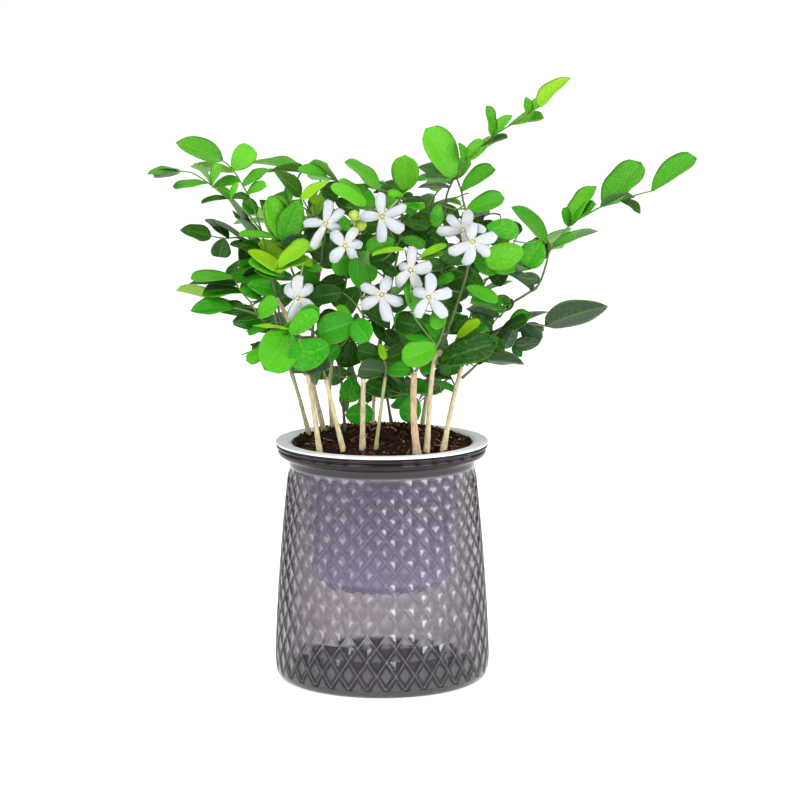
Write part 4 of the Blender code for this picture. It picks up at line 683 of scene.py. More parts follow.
# %% The stems in the front view
# Radius, then the points (x, z, depth) from the soil up
STEMS = {
    "stem_front_left_outer": (1.5, [
        (-38.5, 137, -34), (-44.5, 177, -33), (-50, 196.5, -32), (-57, 215, -30), (-64.5, 228.5, -28),
    ]),
    "stem_front_left_inner": (1.5, [(-24, 137, -34), (-34.5, 179, -38)]),
    "stem_centre": (1.6, [(-12, 138, -27), (-11.5, 178.5, -28), (-12.5, 201, -28)]),
    "stem_thick": (2.2, [(21.5, 134.5, -44), (19.5, 154, -44), (19.5, 182.5, -42)]),
    "stem_right_upright": (1.6, [(27.5, 137, -34), (31, 185, -30), (36, 196.5, -26)]),
    "stem_right_leaning": (1.6, [(38, 138, -27), (43, 164, -22), (48.5, 186, -16)]),
    "stem_back_left_green": (1.2, [(-46, 150.5, 20), (-52, 172.5, 24), (-56.5, 185, 26)]),
    "stem_back_left_speckled": (1.4, [(-37, 153.5, 28), (-42.5, 177, 24), (-44.5, 187, 20)]),
    "stem_back_left_pale": (1.2, [(-30.5, 152, 36), (-32, 171, 37), (-30.5, 189.5, 36)]),
    "stem_thin_dark": (0.8, [(-23, 151.5, 12), (-25, 179, 10), (-27, 189.5, 8)]),
    "stem_seedling": (1.1, [(-3.5, 138, -30), (-2.5, 146.5, -31), (2, 180.5, -32)]),
    "stem_back_centre": (1.1, [(-5.5, 153.5, 30), (-4.5, 175.5, 30), (-2.5, 196.5, 28)]),
    "stem_back_right_pale": (1.2, [(25, 153.5, 40), (28.5, 179, 40), (31, 193.5, 38)]),
    "stem_back_dark": (0.9, [(5.5, 153.5, 44), (2, 174.5, 50), (-1, 190.5, 52)]),
}
# Bark of the stems that aren't pale beige
STEM_WOOD = {
    "stem_thick": "reddish wood",
    "stem_back_left_green": "green wood",
    "stem_back_right_pale": "green wood",
    "stem_seedling": "green wood",
    "stem_thin_dark": "dark wood",
    "stem_back_dark": "dark wood",
}
print("stems:", len(STEMS))

# %% [markdown]
# ## The leafy shoots
# A shoot of orange jasmine is a green twig with side twigs, and its leaves are pinnate: leaflets stand
# along a thin stalk. The table gives each shoot's stem and its height on it, each twig's depth at its tip
# with the points that it passes, and each leaflet's base, tip, seen width, lean away from the eye and tone.

# %% The leafy shoots in the front view
SHOOTS = {
    "shoot_left_crown": ("stem_front_left_outer", "top", [
        (-14, [(-69.5, 250.5), (-73.5, 269)]),
        (-26, [(-73.5, 269), (-83, 281), (-93.5, 289), (-104.5, 297.5), (-116, 305), (-125, 306)]),
        (2, [(-73.5, 269), (-79, 285.5), (-85.5, 298), (-91.5, 307.5), (-98, 313)]),
    ], [
        (-122.5, 306, -143.5, 304, 3.5, -2, "mid"), (-124, 306, -139, 302, 5.5, 8, "under"),
        (-106.5, 298, -128, 296.5, 3.5, 0, "mid"), (-104.5, 298, -113, 307.5, 4.5, 5, "mid"),
        (-104, 297.5, -98.5, 310.5, 4.5, -5, "bright"), (-94, 289, -110.5, 286, 3.5, -6, "dark"),
        (-93.5, 289.5, -100.5, 297, 4.5, 4, "mid"), (-93, 289, -87.5, 298, 3.5, -6, "bright"),
        (-98, 313, -126, 323.5, 10.5, -4, "mid"), (-91, 307, -79.5, 321, 12, 5, "bright"),
        (-85, 297, -69.5, 307.5, 6, 4, "mid"), (-90.5, 305.5, -117, 309, 5, -8, "bright"),
        (-87, 299.5, -104, 296, 6, 8, "mid"), (-82.5, 292.5, -70.5, 296.5, 5.5, -8, "bright"),
        (-81.5, 290.5, -92.5, 289.5, 4.5, -6, "dark"),
    ]),
    "shoot_left_dark": ("stem_back_left_green", "top", [
        (10, [(-62.5, 206), (-68.5, 236.5), (-73.5, 258)]),
        (-8, [(-73.5, 258), (-87, 265), (-96.5, 265), (-105, 266.5)]),
    ], [
        (-105, 266.5, -123.5, 270, 8.5, -5, "dark"), (-96.5, 265, -99.5, 253.5, 10.5, 8, "dark"),
        (-94, 265, -107.5, 277, 5, 8, "dark"), (-83, 263.5, -103.5, 275.5, 6, -6, "under"),
        (-77, 260.5, -93, 261, 5, -5, "mid"), (-87, 265, -80.5, 247, 10.5, 10, "dark"),
        (-72, 250.5, -87, 244.5, 8, -12, "mid"),
    ]),
    "shoot_left_low": ("stem_front_left_outer", 214, [
        (-34, [(-68.5, 211), (-76, 218), (-84, 221), (-91.5, 222.5)]),
        (-22, [(-76, 218), (-80.5, 226), (-87, 233.5), (-90.5, 241)]),
    ], [
        (-91.5, 222.5, -117, 220.5, 8, -6, "mid"), (-85, 222, -95.5, 226, 6, 6, "dark"),
        (-75, 217.5, -90.5, 215, 5, 4, "dark"), (-76, 217.5, -63, 226.5, 9, -10, "bright"),
        (-69.5, 211.5, -81.5, 205.5, 5, -6, "mid"), (-90.5, 241, -117, 240, 5.5, -8, "bright"),
        (-88, 236, -119.5, 236, 4.5, 8, "dark"), (-85.5, 231.5, -110, 230, 5.5, -4, "mid"),
        (-87, 233.5, -108.5, 233.5, 5, 8, "under"),
    ]),
    "shoot_front_low_left": ("stem_front_left_inner", "top", [
        (-50, [(-39, 195.5), (-48.5, 204), (-56.5, 207)]),
        (-46, [(-39, 195.5), (-43, 209), (-50, 214)]),
    ], [
        (-56.5, 207, -72, 184.5, 21, -10, "bright"), (-50, 204.5, -80.5, 192.5, 8, 12, "mid"),
        (-50, 214, -38.5, 222.5, 10, -8, "mid"), (-43, 199, -39, 183.5, 14.5, -12, "under"),
        (-46.5, 202, -54, 182.5, 13.5, 6, "under"), (-38, 193, -44.5, 178.5, 11, 12, "dark"),
        (-50, 214, -60, 207, 7.5, 8, "mid"),
    ]),
    "shoot_front_left": ("stem_back_left_pale", "top", [
        (-12, [(-27, 200), (-22, 209)]),
        (-46, [(-22, 209), (-17, 214.5)]),
    ], [
        (-17, 214.5, -40, 206.5, 15.5, -8, "mid"), (-17, 214.5, -8, 202, 12, -8, "mid"),
        (-25, 203, -17.5, 187, 13.5, 8, "dark"), (-27, 199, -42, 187.5, 12, 12, "dark"),
        (-22, 209, -39, 217.5, 10, 12, "dark"),
    ]),
    "shoot_centre": ("stem_centre", "top", [
        (-18, [(-11.5, 218), (-14.5, 242.5), (-16, 253)]),
        (-22, [(-16, 253), (-18.5, 265), (-17, 273)]),
        (-24, [(-11.5, 218), (-18.5, 227.5), (-24.5, 232)]),
    ], [
        (-16, 250.5, -31, 247, 10.5, -6, "mid"), (-16, 253, -14.5, 234, 11, -10, "mid"),
        (-14.5, 247, -3, 242, 8.5, 4, "mid"), (-13, 234.5, -25.5, 220, 11.5, 10, "dark"),
        (-24.5, 232, -43, 228.5, 10.5, 4, "dark"), (-11.5, 221, 5, 211.5, 11, 8, "dark"),
        (-16.5, 258, -2, 264, 8.5, 8, "dark"),
    ]),
    "shoot_seedling": ("stem_seedling", "top", [
        (-36, [(2.5, 187), (-0.5, 194.5), (-1, 200)]),
    ], [
        (2.5, 183.5, -14.5, 185, 10, -12, "under"), (2.5, 184, 17.5, 185, 8, -4, "mid"),
        (2.5, 182, 12, 174.5, 9, 10, "dark"), (-1, 200, 1, 190.5, 4.5, -4, "lime"),
        (-0.5, 193.5, -15.5, 196.5, 10.5, 10, "dark"), (0.5, 190.5, 15.5, 196.5, 10, 8, "dark"),
    ]),
    "shoot_front_centre": ("stem_thick", "top", [
        (-46, [(26.5, 192), (33.5, 199), (38, 212), (36.5, 223.5)]),
        (-44, [(33.5, 199), (25.5, 209), (18.5, 220), (17.5, 234.5)]),
    ], [
        (33.5, 198.5, 12, 191, 13.5, -10, "bright"), (29.5, 203.5, 14, 204.5, 6.5, -4, "mid"),
        (24.5, 211, 8.5, 214.5, 12, 2, "dark"), (36.5, 222.5, 33, 209, 8, -8, "bright"),
        (18.5, 221, 17.5, 239, 8.5, -10, "bright"), (22.5, 214, 24, 196.5, 11, 10, "dark"),
        (17.5, 228.5, 5, 222.5, 8.5, 6, "dark"),
    ]),
    "shoot_right_low": ("stem_right_upright", 193, [
        (-24, [(41.5, 195.5), (46, 204.5)]),
        (-22, [(41.5, 195.5), (54, 201), (61, 203)]),
    ], [
        (37.5, 198.5, 56.5, 192, 7.5, -10, "mid"), (43, 208.5, 60.5, 213.5, 6, -8, "lime"),
        (41.5, 205.5, 66, 208.5, 5, -2, "bright"), (61, 203, 71, 201, 7.5, 4, "dark"),
        (47.5, 202, 61, 195.5, 8.5, -6, "dark"), (37.5, 199, 41, 181, 9, 10, "dark"),
        (52.5, 201, 43, 190.5, 9, 6, "dark"),
    ]),
    "shoot_low_petiole": ("stem_right_leaning", 180, [
        (-6, [(55, 185), (60, 190)]),
    ], [
        (60, 190, 87, 188, 8, -8, "under"), (58, 189, 67.5, 196.5, 5, 4, "dark"),
    ]),
    "shoot_right_outer": ("stem_right_leaning", 184.5, [
        (6, [(58.5, 196.5), (72, 208.5), (84.5, 211.5), (91.5, 212.5), (100.5, 211.5)]),
        (18, [(72, 209), (77, 204), (80.5, 199)]),
        (-8, [(61, 198.5), (68.5, 214), (76, 221)]),
    ], [
        (100.5, 211.5, 138, 223.5, 13.5, -12, "under"), (85.5, 211.5, 96.5, 201, 10, -6, "under"),
        (74.5, 206.5, 76, 197.5, 8, -6, "under"), (80.5, 199, 85.5, 192.5, 5, 0, "dark"),
        (78.5, 210, 90, 220, 8, 6, "mid"), (72, 209, 89.5, 215, 6, -10, "dark"),
        (76, 221, 54, 225.5, 5, -8, "bright"), (74.5, 220, 52.5, 222, 5.5, 4, "bright"),
        (76, 221, 79.5, 228, 5, 6, "dark"), (66, 211.5, 55, 223.5, 10.5, 8, "dark"),
        (63.5, 204, 74.5, 195.5, 8.5, 10, "dark"),
    ]),
    "shoot_right_arm": ("stem_right_leaning", "top", [
        (30, [(60, 208), (72, 220), (79.5, 225.5), (91.5, 233), (97, 239), (102, 256.5), (101, 263.5)]),
        (6, [(102, 256.5), (114.5, 272.5), (127, 280.5), (136, 285), (155.5, 291.5), (167, 294.5)]),
        (44, [(91.5, 233), (82, 247), (76, 264), (72, 279.5)]),
    ], [
        (104, 259, 132, 269.5, 5.5, 6, "bright"), (114.5, 272.5, 110.5, 283.5, 5, -6, "mid"),
        (115, 273, 131, 286, 5.5, -8, "mid"), (115.5, 274, 131, 297, 10, 8, "bright"),
        (135, 285, 158.5, 311.5, 14.5, 6, "mid"), (133.5, 284, 154.5, 290.5, 5.5, -8, "under"),
        (165, 294, 192.5, 314, 10, -4, "mid"), (145.5, 288, 158, 280.5, 4.5, 4, "dark"),
        (101, 263.5, 79, 284, 8.5, -10, "mid"), (77, 261, 64, 272.5, 8.5, 8, "mid"),
        (91.5, 233, 77.5, 243, 5, -12, "under"), (82, 247, 63.5, 250.5, 11, -12, "bright"),
        (101, 263, 87, 250.5, 12, -10, "dark"), (74, 271.5, 86, 270, 7.5, 6, "under"),
        (78.5, 256.5, 68.5, 236.5, 11, 6, "dark"),
    ]),
    "shoot_right_crown": ("stem_right_upright", "top", [
        (24, [(41.5, 212), (52, 244.5), (54, 264), (51, 282.5), (49.5, 288.5), (48.5, 294), (45.5, 302.5)]),
        (-6, [(46, 303), (51, 312), (58.5, 319.5), (66.5, 326.5), (76.5, 333), (84.5, 337.5), (96, 345.5)]),
        (10, [(52.5, 245.5), (58.5, 258), (61, 269)]),
    ], [
        (48.5, 293.5, 69.5, 307, 8, -6, "mid"), (51, 281, 75, 289.5, 9, -4, "mid"),
        (51, 311.5, 46.5, 323.5, 5, -4, "mid"), (51.5, 312.5, 63, 324.5, 5.5, 5, "bright"),
        (60, 320, 77, 326.5, 3.5, -8, "dark"), (67.5, 327, 63.5, 346, 6, -5, "mid"),
        (68, 327.5, 79, 340.5, 6, 6, "bright"), (77, 333, 99, 338.5, 4.5, -6, "mid"),
        (89.5, 340.5, 87.5, 351.5, 5, -4, "mid"), (90, 341, 99.5, 352, 5, 5, "bright"),
        (96, 345.5, 115.5, 363, 8, -2, "lime"), (54, 261, 70.5, 275, 11, 8, "dark"),
        (53, 250.5, 35.5, 258, 11, 8, "dark"), (61, 267.5, 73.5, 262, 8, 6, "dark"),
        (56.5, 253, 72, 245.5, 11, -8, "mid"), (51.5, 242.5, 34.5, 236.5, 11, 8, "dark"),
    ]),
    "shoot_mid_right": ("stem_back_right_pale", "top", [
        (20, [(34.5, 227.5), (38, 264), (39, 288.5), (44, 302)]),
        (6, [(38.5, 275), (26.5, 281), (18.5, 280)]),
        (30, [(35.5, 245.5), (23, 255), (14, 260.5)]),
    ], [
        (43.5, 305.5, 26.5, 332, 16, -8, "bright"), (42, 303, 22, 308.5, 7.5, 4, "dark"),
        (43, 301.5, 20, 300, 3.5, -6, "mid"), (41, 296, 22, 296, 3.5, 6, "dark"),
        (39, 288, 48.5, 285, 3, -6, "mid"), (26.5, 281, 19.5, 291, 5.5, 5, "dark"),
        (18.5, 280, 12, 287, 5.5, 4, "mid"), (23, 281, 32, 266.5, 9, 8, "dark"),
        (14, 260.5, -3, 265, 10.5, 6, "dark"), (37.5, 258, 21, 266.5, 10.5, 10, "dark"),
        (35, 233.5, 17.5, 239.5, 11.5, 8, "dark"), (35, 227.5, 52.5, 233.5, 11, 8, "dark"),
    ]),
    "shoot_mid_top": ("stem_back_centre", "top", [
        (16, [(5, 233.5), (11, 264), (13, 288.5), (14.5, 294.5)]),
        (28, [(10, 258), (1, 273), (-7.5, 285.5)]),
    ], [
        (14.5, 294.5, 14, 316, 14.5, -8, "bright"), (14, 293.5, 22.5, 307, 6, 8, "dark"),
        (13, 287, 23, 283, 6, -6, "mid"), (13, 288.5, 5.5, 297.5, 6.5, 6, "dark"),
        (11.5, 275, 25, 278, 5.5, 6, "mid"), (11, 267, 27.5, 272.5, 9, 10, "dark"),
        (1, 273, -14.5, 274, 10.5, 6, "dark"), (-7.5, 285.5, -21, 293.5, 8, 5, "dark"),
        (9, 255, -7.5, 250.5, 11, 8, "dark"), (7.5, 242.5, 24, 247, 11, 10, "dark"),
        (5, 232, -11, 223.5, 11.5, 8, "dark"),
    ]),
    "shoot_upper_mid": ("stem_back_left_speckled", "top", [
        (-6, [(-40.5, 227.5), (-36.5, 258), (-40.5, 276)]),
        (-4, [(-36.5, 258), (-32, 282.5), (-24.5, 297), (-34.5, 303)]),
        (-8, [(-24.5, 297), (-10, 298), (0, 294.5)]),
        (-14, [(-40.5, 276), (-46.5, 285.5), (-50, 291.5)]),
    ], [
        (-50, 291.5, -66, 306, 8.5, -6, "dark"), (-34.5, 303, -52, 307, 5.5, -4, "mid"),
        (-27, 298, -44.5, 311, 5, 4, "mid"), (-1, 294.5, -23, 311.5, 8.5, -6, "mid"),
        (-18.5, 297, -6, 283.5, 8.5, -4, "mid"), (-40.5, 277.5, -31, 294.5, 5.5, -6, "lime"),
        (-41.5, 277.5, -38.5, 288.5, 4.5, 6, "lime"), (-33, 275, -46.5, 261.5, 8.5, 8, "dark"),
        (-29.5, 288.5, -14.5, 277.5, 8.5, 6, "dark"), (-38, 250.5, -21, 258, 10.5, 6, "dark"),
        (-38.5, 242.5, -55, 237, 10.5, -6, "mid"), (-40, 233.5, -22.5, 238.5, 11.5, 6, "dark"),
    ]),
    "shoot_heart_pair": ("stem_thin_dark", "top", [
        (-10, [(-39, 215), (-52.5, 239.5), (-60, 260.5)]),
        (-4, [(-52.5, 239.5), (-68.5, 244.5), (-79.5, 248)]),
        (-26, [(-57.5, 250.5), (-51.5, 255), (-45.5, 258.5)]),
    ], [
        (-60, 261.5, -68.5, 291, 16, -8, "bright"), (-59.5, 259.5, -49.5, 289, 16, 2, "mid"),
        (-60, 260.5, -75, 288.5, 7.5, 12, "under"), (-56.5, 250.5, -76, 261.5, 5.5, -6, "lime"),
        (-46.5, 258, -36.5, 264, 5.5, -4, "lime"), (-51.5, 255, -43, 248, 5, -6, "lime"),
        (-57.5, 250, -39, 245.5, 6, -6, "mid"), (-52.5, 239.5, -96.5, 236, 8.5, -8, "mid"),
        (-68.5, 244.5, -76.5, 250.5, 8.5, -8, "bright"), (-73.5, 245.5, -85.5, 242, 5.5, 6, "under"),
        (-47, 230, -29.5, 234.5, 11, 6, "dark"), (-50, 235.5, -65, 225.5, 10.5, 8, "dark"),
        (-44, 224.5, -56.5, 213.5, 10.5, 6, "dark"),
    ]),
}
print("shoots:", len(SHOOTS), "leaflets:", sum(len(shoot[3]) for shoot in SHOOTS.values()))

# %% [markdown]
# ## Blooms, buds and the shoots at the back
# Each bloom has its centre, depth, shoot and the tips of its petals, and each bud its shoot, centre, depth
# and radius. The back isn't in the photo, so six shoots there follow a rule: three leaves each, with
# leaflets at set shares of their length. A shoot's row gives its stem, its height on it and the twig's
# further points.

# %% Blooms, buds and the shoots at the back
BLOOMS = {
    "bloom_1": ((-34.5, 274), -40, "shoot_upper_mid", [
        (-33.5, 289), (-22.5, 281.5), (-48.5, 274.5), (-43, 258.5), (-25.5, 269.5),
    ]),
    "bloom_2": ((-22.5, 260.5), -48, "shoot_upper_mid", [
        (-32, 268.5), (-16, 272), (-15.5, 253.5), (-31, 250), (-11.5, 262),
    ]),
    "bloom_3": ((0, 278.5), -34, "shoot_mid_top", [
        (-2.5, 293.5), (15.5, 284), (13.5, 269.5), (-1, 262), (-14.5, 278.5),
    ]),
    "bloom_4": ((49.5, 270), -30, "shoot_right_crown", [
        (40, 279.5), (54.5, 282.5), (33, 269.5), (64, 271.5), (54, 258),
    ]),
    "bloom_5": ((55.5, 263), -48, "shoot_right_crown", [
        (71, 266), (66, 254), (51.5, 248), (40.5, 256), (54, 275),
    ]),
    "bloom_6": ((-51.5, 228.5), -46, "shoot_heart_pair", [
        (-52, 243), (-60, 235.5), (-43, 237.5), (-42, 220), (-53, 213.5),
    ]),
    "bloom_7": ((0, 230.5), -50, "shoot_centre", [
        (-13, 237), (-13, 222), (5, 214), (13.5, 225), (4.5, 242),
    ]),
    "bloom_8": ((17.5, 245.5), -46, "shoot_front_centre", [
        (19.5, 260.5), (31, 248), (24, 233.5), (8, 236.5), (11, 250.5),
    ]),
    "bloom_9": ((28.5, 229), -58, "shoot_front_centre", [
        (31, 244), (43, 233), (40.5, 217.5), (20, 217), (18.5, 233),
    ]),
}
BUDS = {
    "bud_1": ("shoot_centre", (-17.0, 279.0), -26, 3.4),
    "bud_2": ("shoot_centre", (-13.0, 273.0), -20, 3.7),
}
RULED_LEAVES = 3
RULED_LEAF_LENGTH = (30.0, 40.0)
RULED_LEAF_START = 0.35

# Where along the rachis a leaflet sits, its length, and its angle from the rachis
RULED_LEAFLETS = ((0.42, 23.0, 65.0), (0.68, 27.0, 60.0), (0.9, 29.0, 52.0), (1.0, 31.0, 5.0))

RULED_SHOOTS = {
    "shoot_back_left": ("stem_back_left_green", 168, [(-60, 38, 190), (-68, 44, 232)]),
    "shoot_back_mid_left": ("stem_back_left_speckled", 170, [(-40, 42, 205), (-42, 50, 262)]),
    "shoot_back_centre": ("stem_back_dark", "top", [(0, 60, 225), (4, 60, 262)]),
    "shoot_back_mid_right": ("stem_back_centre", 182, [(14, 40, 225), (26, 46, 280)]),
    "shoot_back_right": ("stem_back_right_pale", 172, [(48, 52, 195), (66, 54, 235)]),
    "shoot_back_high": ("stem_back_left_pale", 178, [(-22, 36, 240), (-14, 38, 292)]),
}
print("blooms:", len(BLOOMS), "buds:", len(BUDS), "shoots at the back:", len(RULED_SHOOTS))

# %% [markdown]
# ## From the front view to space
# A spot of the front view with a depth is one place in space: the ray from the eye through the spot ends
# there. The reverse is needed too, to tell what hides what. A path is often wanted as evenly spaced places.

# %% From the front view to space


def seen_at(x, z, depth):
    """The place in space of a point of the front view at a depth behind the pot's axis."""
    drawn = Vector((x, 0.0, z))
    return EYE + (drawn - EYE) * ((depth - EYE.y) / -EYE.y)


def drawn_place(point):
    """The front view's coordinates of a place in space, the reverse of seen_at."""
    scale = -EYE.y / (point.y - EYE.y)
    drawn = EYE + (point - EYE) * scale
    return drawn.x, drawn.z, point.y


def samples_along(points, step=1.0):
    """Evenly spaced places along a path."""
    spots = []
    for start, end in zip(points, points[1:]):
        count = max(1, math.ceil((end - start).length / step))
        spots.extend(start.lerp(end, i / count) for i in range(count))
    spots.append(points[-1])
    return spots


print("a spot 40 mm behind the axis:", tuple(round(c, 1) for c in seen_at(50, 200, 40)))

# %% [markdown]
# ## Keeping pieces apart
# Leaves of a real plant rest beside each other, and don't run through each other. Everything that is placed
# is remembered as a body or a path, and a new piece is tried against them. A cloth or body simulation could
# push leaves apart as well, but it would also move them off the places that were read off the photo.

# %% Keeping pieces apart
GAP = 0.3
JOINT_FREE = 10.0
OPEN_GAP = 2.5 * GAP


def box_of(points):
    """The lowest and the highest corner round some points."""
    return [Vector([limit(p[i] for p in points) for i in range(3)]) for limit in (min, max)]


class Space:
    """Remembers what is placed, so that pieces of different nodes keep clear of each other."""

    def __init__(self):
        self.bodies, self.paths = [], []

    def add_body(self, owner, points, faces):
        self.bodies.append((owner, *box_of(points), BVHTree.FromPolygons(points, faces)))

    def add_path(self, owner, points, radius):
        self.paths.append((owner, radius, samples_along(points)))

    def clashes(self, owner, points, faces):
        """How many bodies of other nodes, and of the same node, a body crosses."""
        low, high = box_of(points)
        tree = None
        others, same = 0, 0
        for name, a, b, other in self.bodies:
            if any(high[i] < a[i] or low[i] > b[i] for i in range(3)):
                continue
            if tree is None:
                tree = BVHTree.FromPolygons(points, faces)
            if tree.overlap(other):
                if name == owner:
                    same += 1
                else:
                    others += 1
        return others, same

    def path_clashes(self, owner, points, radius, joined=None, joint_end=0):
        """How many paths of other nodes a path comes too near to, away from its own joint."""
        spots = samples_along(points)
        count = 0
        for name, other_radius, other in self.paths:
            if name == owner:
                continue
            if name == joined:
                free = [s for s in spots if (s - spots[joint_end]).length > JOINT_FREE]
                reach = (radius + other_radius + GAP) ** 2
                count += any((a - b).length_squared < reach for a in free for b in other)
                continue
            reach = (radius + other_radius + OPEN_GAP) ** 2
            count += any((a - b).length_squared < reach for a in spots for b in other)
        return count


print("gap between pieces, mm:", GAP)

# %% [markdown]
# ## Blades for the tests
# A leaflet or petal is tested as a plain bent blade: a flat outline of one unit length, which is laid along
# a curve of three control points and gets its width and thickness there. It is the blade that the solids
# have.

# %% Blades for the tests
LARGE_LEAF_OUTLINE = ((0.0, 0.0), (0.26, 0.72), (0.58, 1.0), (0.87, 0.68), (1.0, 0.0))
SMALL_LEAF_OUTLINE = ((0.0, 0.0), (0.36, 0.9), (0.76, 0.88), (1.0, 0.0))
PETAL_OUTLINE = ((0.0, 0.34), (0.55, 1.0), (0.9, 0.8), (1.0, 0.36))


def blade_template(outline):
    """A flat blade one unit long, from a grid: x along it, y across it, z from back to front."""
    bm = bmesh.new()
    bmesh.ops.create_grid(bm, x_segments=len(outline) - 1, y_segments=1, size=0.5)
    columns = sorted({round(v.co.x, 4) for v in bm.verts})
    for vert in bm.verts:
        along, half = outline[columns.index(round(vert.co.x, 4))]
        vert.co = (along, 2.0 * vert.co.y * half, 0.0)
    bmesh.ops.remove_doubles(bm, verts=bm.verts, dist=0.001)
    bmesh.ops.triangulate(bm, faces=bm.faces)
    front = bmesh.ops.extrude_face_region(bm, geom=bm.faces[:])
    lifted = [part for part in front["geom"] if isinstance(part, bmesh.types.BMVert)]
    bmesh.ops.translate(bm, vec=(0, 0, 1), verts=lifted)
    bmesh.ops.recalc_face_normals(bm, faces=bm.faces)
    bm.verts.index_update()
    points = [tuple(v.co) for v in bm.verts]
    faces = [[v.index for v in f.verts] for f in bm.faces]
    bm.free()
    return points, faces


def bent_blade(template, path, across, width, thickness, margin=0.0):
    """Lays a template along a curve of three control points and gives it width and thickness."""
    start, middle, end = path
    length = (end - start).length
    points = []
    for along, side, face in template[0]:
        t = along + margin / length * (2.0 * along - 1.0)
        centre = start * (1 - t) ** 2 + middle * (2 * t * (1 - t)) + end * t ** 2
        run = ((middle - start) * (1 - t) + (end - middle) * t).normalized()
        front = run.cross(across).normalized()
        reach = side * width / 2 + (margin if side > 0.01 else -margin if side < -0.01 else 0.0)
        lift = (face - 0.5) * (thickness + 2 * margin)
        points.append(centre + across * reach + front * lift)
    return points


large_leaf = blade_template(LARGE_LEAF_OUTLINE)
small_leaf = blade_template(SMALL_LEAF_OUTLINE)
petal = blade_template(PETAL_OUTLINE)
print("faces of the blades:", [len(blade[1]) for blade in (large_leaf, small_leaf, petal)])

# %% [markdown]
# ## The stems in space
# The plant collects its twigs, blades and flowers before any is built, because each has to keep clear of
# the others. The stems come first. Each goes on below its lowest point into the soil, where its roots would
# be.

# %% The stems in space
STEM_DEPTH = 12.0


class Plant:
    """Collects the placed twigs, blades and flowers of every node before they are built."""

    def __init__(self):
        self.space = Space()
        self.tubes, self.blades, self.drawn = {}, {}, {}
        self.dropped = 0

    def add_tube(self, owner, points, radius, sides):
        self.tubes.setdefault(owner, []).append((points, radius, sides))
        self.space.add_path(owner, points, radius)

    def add_blade(self, owner, template, pose, tone):
        points = bent_blade(template, *pose)
        self.blades.setdefault(owner, []).append((pose, tone))
        self.space.add_body(owner, points, template[1])


def place_stems(plant):
    """Stems rise from the table's first point, which lies on the soil, and reach down into it."""
    stems = {}
    for name, (radius, drawn) in STEMS.items():
        points = [seen_at(*spot) for spot in drawn]
        root = points[0] + (points[0] - points[1]).normalized() * STEM_DEPTH
        stems[name] = (radius, [root] + points[1:])
        plant.add_tube(name, stems[name][1], radius, 6)
    return stems


plant = Plant()
stems = place_stems(plant)
print("stems placed:", len(stems))

# %% [markdown]
# ## The blooms in space
# A bloom faces the eye, and its five petals run to the tips that were read off the photo. A petal that
# looks short curls back, so its tip goes as far behind as its true length asks for.

# %% The blooms in space
PETAL_LENGTH, PETAL_WIDTH, PETAL_THICKNESS, PETAL_START, PETAL_REACH = 15.5, 5.9, 0.7, 2.5, 2.2
RECURVE_TRIES = (0.0, 2.0, -2.0, 4.0, -4.0, 6.0)
PETAL_SCALES = (1.0, 0.88)
LEAST_RECURVE, RECURVE_SHARE, PETAL_BEND, PETAL_ARCH = 2.0, 0.7, 0.75, 2.0
CLEARANCE = 1.2 * GAP


def place_blooms(plant):
    """Five recurved petals round a small disc, facing the eye, with tips read off the front view."""
    blooms = {}
    for name, ((x, z), depth, shoot, tips) in BLOOMS.items():
        centre = seen_at(x, z, depth)
        facing = (EYE - centre).normalized()
        owner = name + "_petals"
        poses = []
        for tip_x, tip_z in tips:
            tip = seen_at(tip_x, tip_z, depth)
            spread = tip - centre
            spread -= facing * spread.dot(facing)
            reach = spread.length
            run = spread.normalized()
            across = facing.cross(run).normalized()
            recurve = math.sqrt(max(LEAST_RECURVE ** 2, PETAL_LENGTH ** 2 - reach ** 2))
            best = None
            for more in RECURVE_TRIES:
                for scale in PETAL_SCALES:
                    start = centre + run * PETAL_START
                    middle = centre + run * (PETAL_BEND * reach) + facing * PETAL_ARCH
                    end = centre + run * (reach * scale) - facing * max(0.0, recurve * RECURVE_SHARE + more)
                    pose = ((start, middle, end), across, PETAL_WIDTH, PETAL_THICKNESS)
                    shell = bent_blade(petal, *pose, CLEARANCE)
                    others, _ = plant.space.clashes(owner, shell, petal[1])
                    if best is None or others < best[0]:
                        best = (others, pose)
            plant.add_blade(owner, petal, best[1], "petals")
            poses.append(best[1])
            start, middle, end = best[1][0]
            plant.space.add_path(owner, [start, middle * 0.5 + (start + end) * 0.25, end], PETAL_REACH)
        blooms[name] = (centre, facing, shoot, poses)
    return blooms


blooms = place_blooms(plant)
print("petals placed:", sum(len(bloom[3]) for bloom in blooms.values()))

# %% [markdown]
# ## Where a twig starts
# A main twig starts on its stem, past the top or beside it, always a small gap away, so that the two stay
# pieces of their own. A side twig starts where the shoot's drawn lines are nearest to it in the front view.

# %% Where a twig starts
TWIG_RADIUS, RACHIS_RADIUS, TWIG_SINK = 0.9, 0.62, 0.35
LEAST_RISE, LEAST_SLANT = 0.2, 0.05


def joint_on_stem(stem, height, toward):
    """Where a shoot starts: past the stem's top or beside the stem at a height, a small gap away."""
    radius, points = stem
    if height == "top":
        run = (toward - points[-1]).normalized()
        end = (points[-1] - points[-2]).normalized()
        slant = math.sqrt(max(0.0, 1 - run.dot(end) ** 2))
        beside = GAP + slant * (radius + TWIG_RADIUS)
        above = (GAP + slant * TWIG_RADIUS) / max(LEAST_RISE, run.dot(end))
        return points[-1] + run * min(beside, above)
    for low, high in zip(points, points[1:]):
        if low.z <= height <= high.z:
            axis = (high - low).normalized()
            spot = low.lerp(high, (height - low.z) / (high.z - low.z))
            run = (toward - spot).normalized()
            share = abs(run.dot(axis))
            slant = math.sqrt(max(LEAST_SLANT, 1 - share ** 2))
            return spot + run * ((radius + GAP + TWIG_RADIUS * share) / slant)
    raise ValueError(f"no stem at height {height}")


